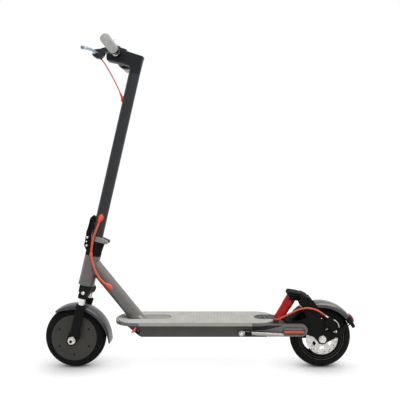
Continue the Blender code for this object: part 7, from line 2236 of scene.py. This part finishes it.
@dataclass(frozen=True)
class Studio:
    """White floor, soft light and the camera, square on to the left side."""

    frame_pixels: int = 400
    distance: float = 1.766
    across: float = 0.489
    height: float = 0.664
    focal_pixels: float = 491.5
    axis_pixel: Pair = (212.5, 180.5)
    fill: float = 0.36
    key: float = 2.35
    rim: float = 0.4
    floor_reach: float = 30.0
    floor_glow: float = 0.94
    floor_grey: float = 0.12
    floor_bounce: float = 0.7
    contact_reach: float = 0.12
    contact_dark: float = 0.02
    contact_range: Pair = (0.15, 0.95)

    def floor(self) -> None:
        """Make the floor: pale paper that shows white and keeps the shadow."""
        data = bpy.data.meshes.new("studio_floor")
        reach = self.floor_reach
        corners = [(-reach, -reach, 0), (reach, -reach, 0), (reach, reach, 0), (-reach, reach, 0)]
        data.from_pydata(corners, [], [(0, 1, 2, 3)])
        floor = bpy.data.objects.new("studio_floor", data)
        bpy.context.scene.collection.objects.link(floor)
        paper = bpy.data.materials.new("studio_paper")
        nodes = Nodes(paper)
        inputs = {"Distance": self.contact_reach}
        nearby = nodes.node("ShaderNodeAmbientOcclusion", inputs, samples=8)
        low, high = self.contact_range
        inputs = {"Value": nearby.outputs["AO"], "From Min": low, "From Max": high}
        inputs |= {"To Min": self.contact_dark, "To Max": self.floor_glow}
        shade = nodes.node("ShaderNodeMapRange", inputs).outputs["Result"]
        glow = nodes.node("ShaderNodeEmission", {"Strength": shade}).outputs[0]
        pale = self.diffuse(nodes, self.floor_grey)
        bright = nodes.node("ShaderNodeAddShader", {0: pale, 1: glow}).outputs[0]
        bounce = self.diffuse(nodes, self.floor_bounce)
        inputs = {0: nodes.seen(), 1: bounce, 2: bright}
        both = nodes.node("ShaderNodeMixShader", inputs).outputs[0]
        nodes.node("ShaderNodeOutputMaterial", {"Surface": both})
        data.materials.append(paper)

    @staticmethod
    def diffuse(nodes: Nodes, grey: float) -> Socket:
        """Return a plain grey surface."""
        return nodes.node("ShaderNodeBsdfDiffuse", {"Color": (grey, grey, grey, 1.0)}).outputs[0]

    def world(self) -> None:
        """Light the studio evenly, with a white background."""
        world = bpy.data.worlds.new("studio_light")
        bpy.context.scene.world = world
        nodes = Nodes(world)
        white = (1.0, 1.0, 1.0, 1.0)
        inputs = {0: nodes.seen()}
        for k, strength in enumerate((self.fill, 1.0), 1):
            values = {"Color": white, "Strength": strength}
            inputs[k] = nodes.node("ShaderNodeBackground", values).outputs[0]
        mix = nodes.node("ShaderNodeMixShader", inputs).outputs[0]
        nodes.node("ShaderNodeOutputWorld", {"Surface": mix})

    def lamp(self, name: str, toward: Point, strength: float, spread: float) -> None:
        """Hang a broad, far lamp that shines from a direction."""
        data = bpy.data.lights.new(name, "SUN")
        data.energy = strength
        data.angle = math.radians(spread)
        lamp = bpy.data.objects.new(name, data)
        bpy.context.scene.collection.objects.link(lamp)
        lamp.rotation_euler = Vector(toward).to_track_quat("Z", "Y").to_euler()

    def camera(self) -> None:
        """Set the camera where the picture was taken."""
        data = bpy.data.cameras.new("studio_camera")
        data.sensor_width = 36.0
        data.lens = self.focal_pixels / self.frame_pixels * data.sensor_width
        x, y = self.axis_pixel
        middle = self.frame_pixels / 2
        data.shift_x = (middle - x) / self.frame_pixels
        data.shift_y = (y - middle) / self.frame_pixels
        camera = bpy.data.objects.new("studio_camera", data)
        camera.location = place(self.across, -self.distance, self.height)
        camera.rotation_euler = (math.radians(90), 0, 0)
        bpy.context.scene.collection.objects.link(camera)
        bpy.context.scene.camera = camera

    def build(self) -> None:
        """Set up the camera, the floor and the light."""
        bpy.context.scene.view_settings.view_transform = "Standard"
        self.camera()
        self.floor()
        self.world()
        self.lamp("key_lamp", (0.4, -0.32, 1.0), self.key, 45.0)
        self.lamp("rim_lamp", (0.8, 0.4, 1.0), self.rim, 60.0)


def main() -> None:
    """Build the studio and every sub-assembly, from the front to the rear."""
    logging.basicConfig(level=logging.INFO, format="%(name)s: %(message)s")
    Studio().build()
    bench = Bench()
    for assembly in (
        FrontWheel(),
        Fork(),
        FoldingJoint(),
        Cockpit(),
        Cables(),
        Deck(),
        Kickstand(),
        RearEnd(),
        RearWheel(),
    ):
        assembly.build(bench)
    bench.report_bare()


if __name__ == "__main__":
    main()
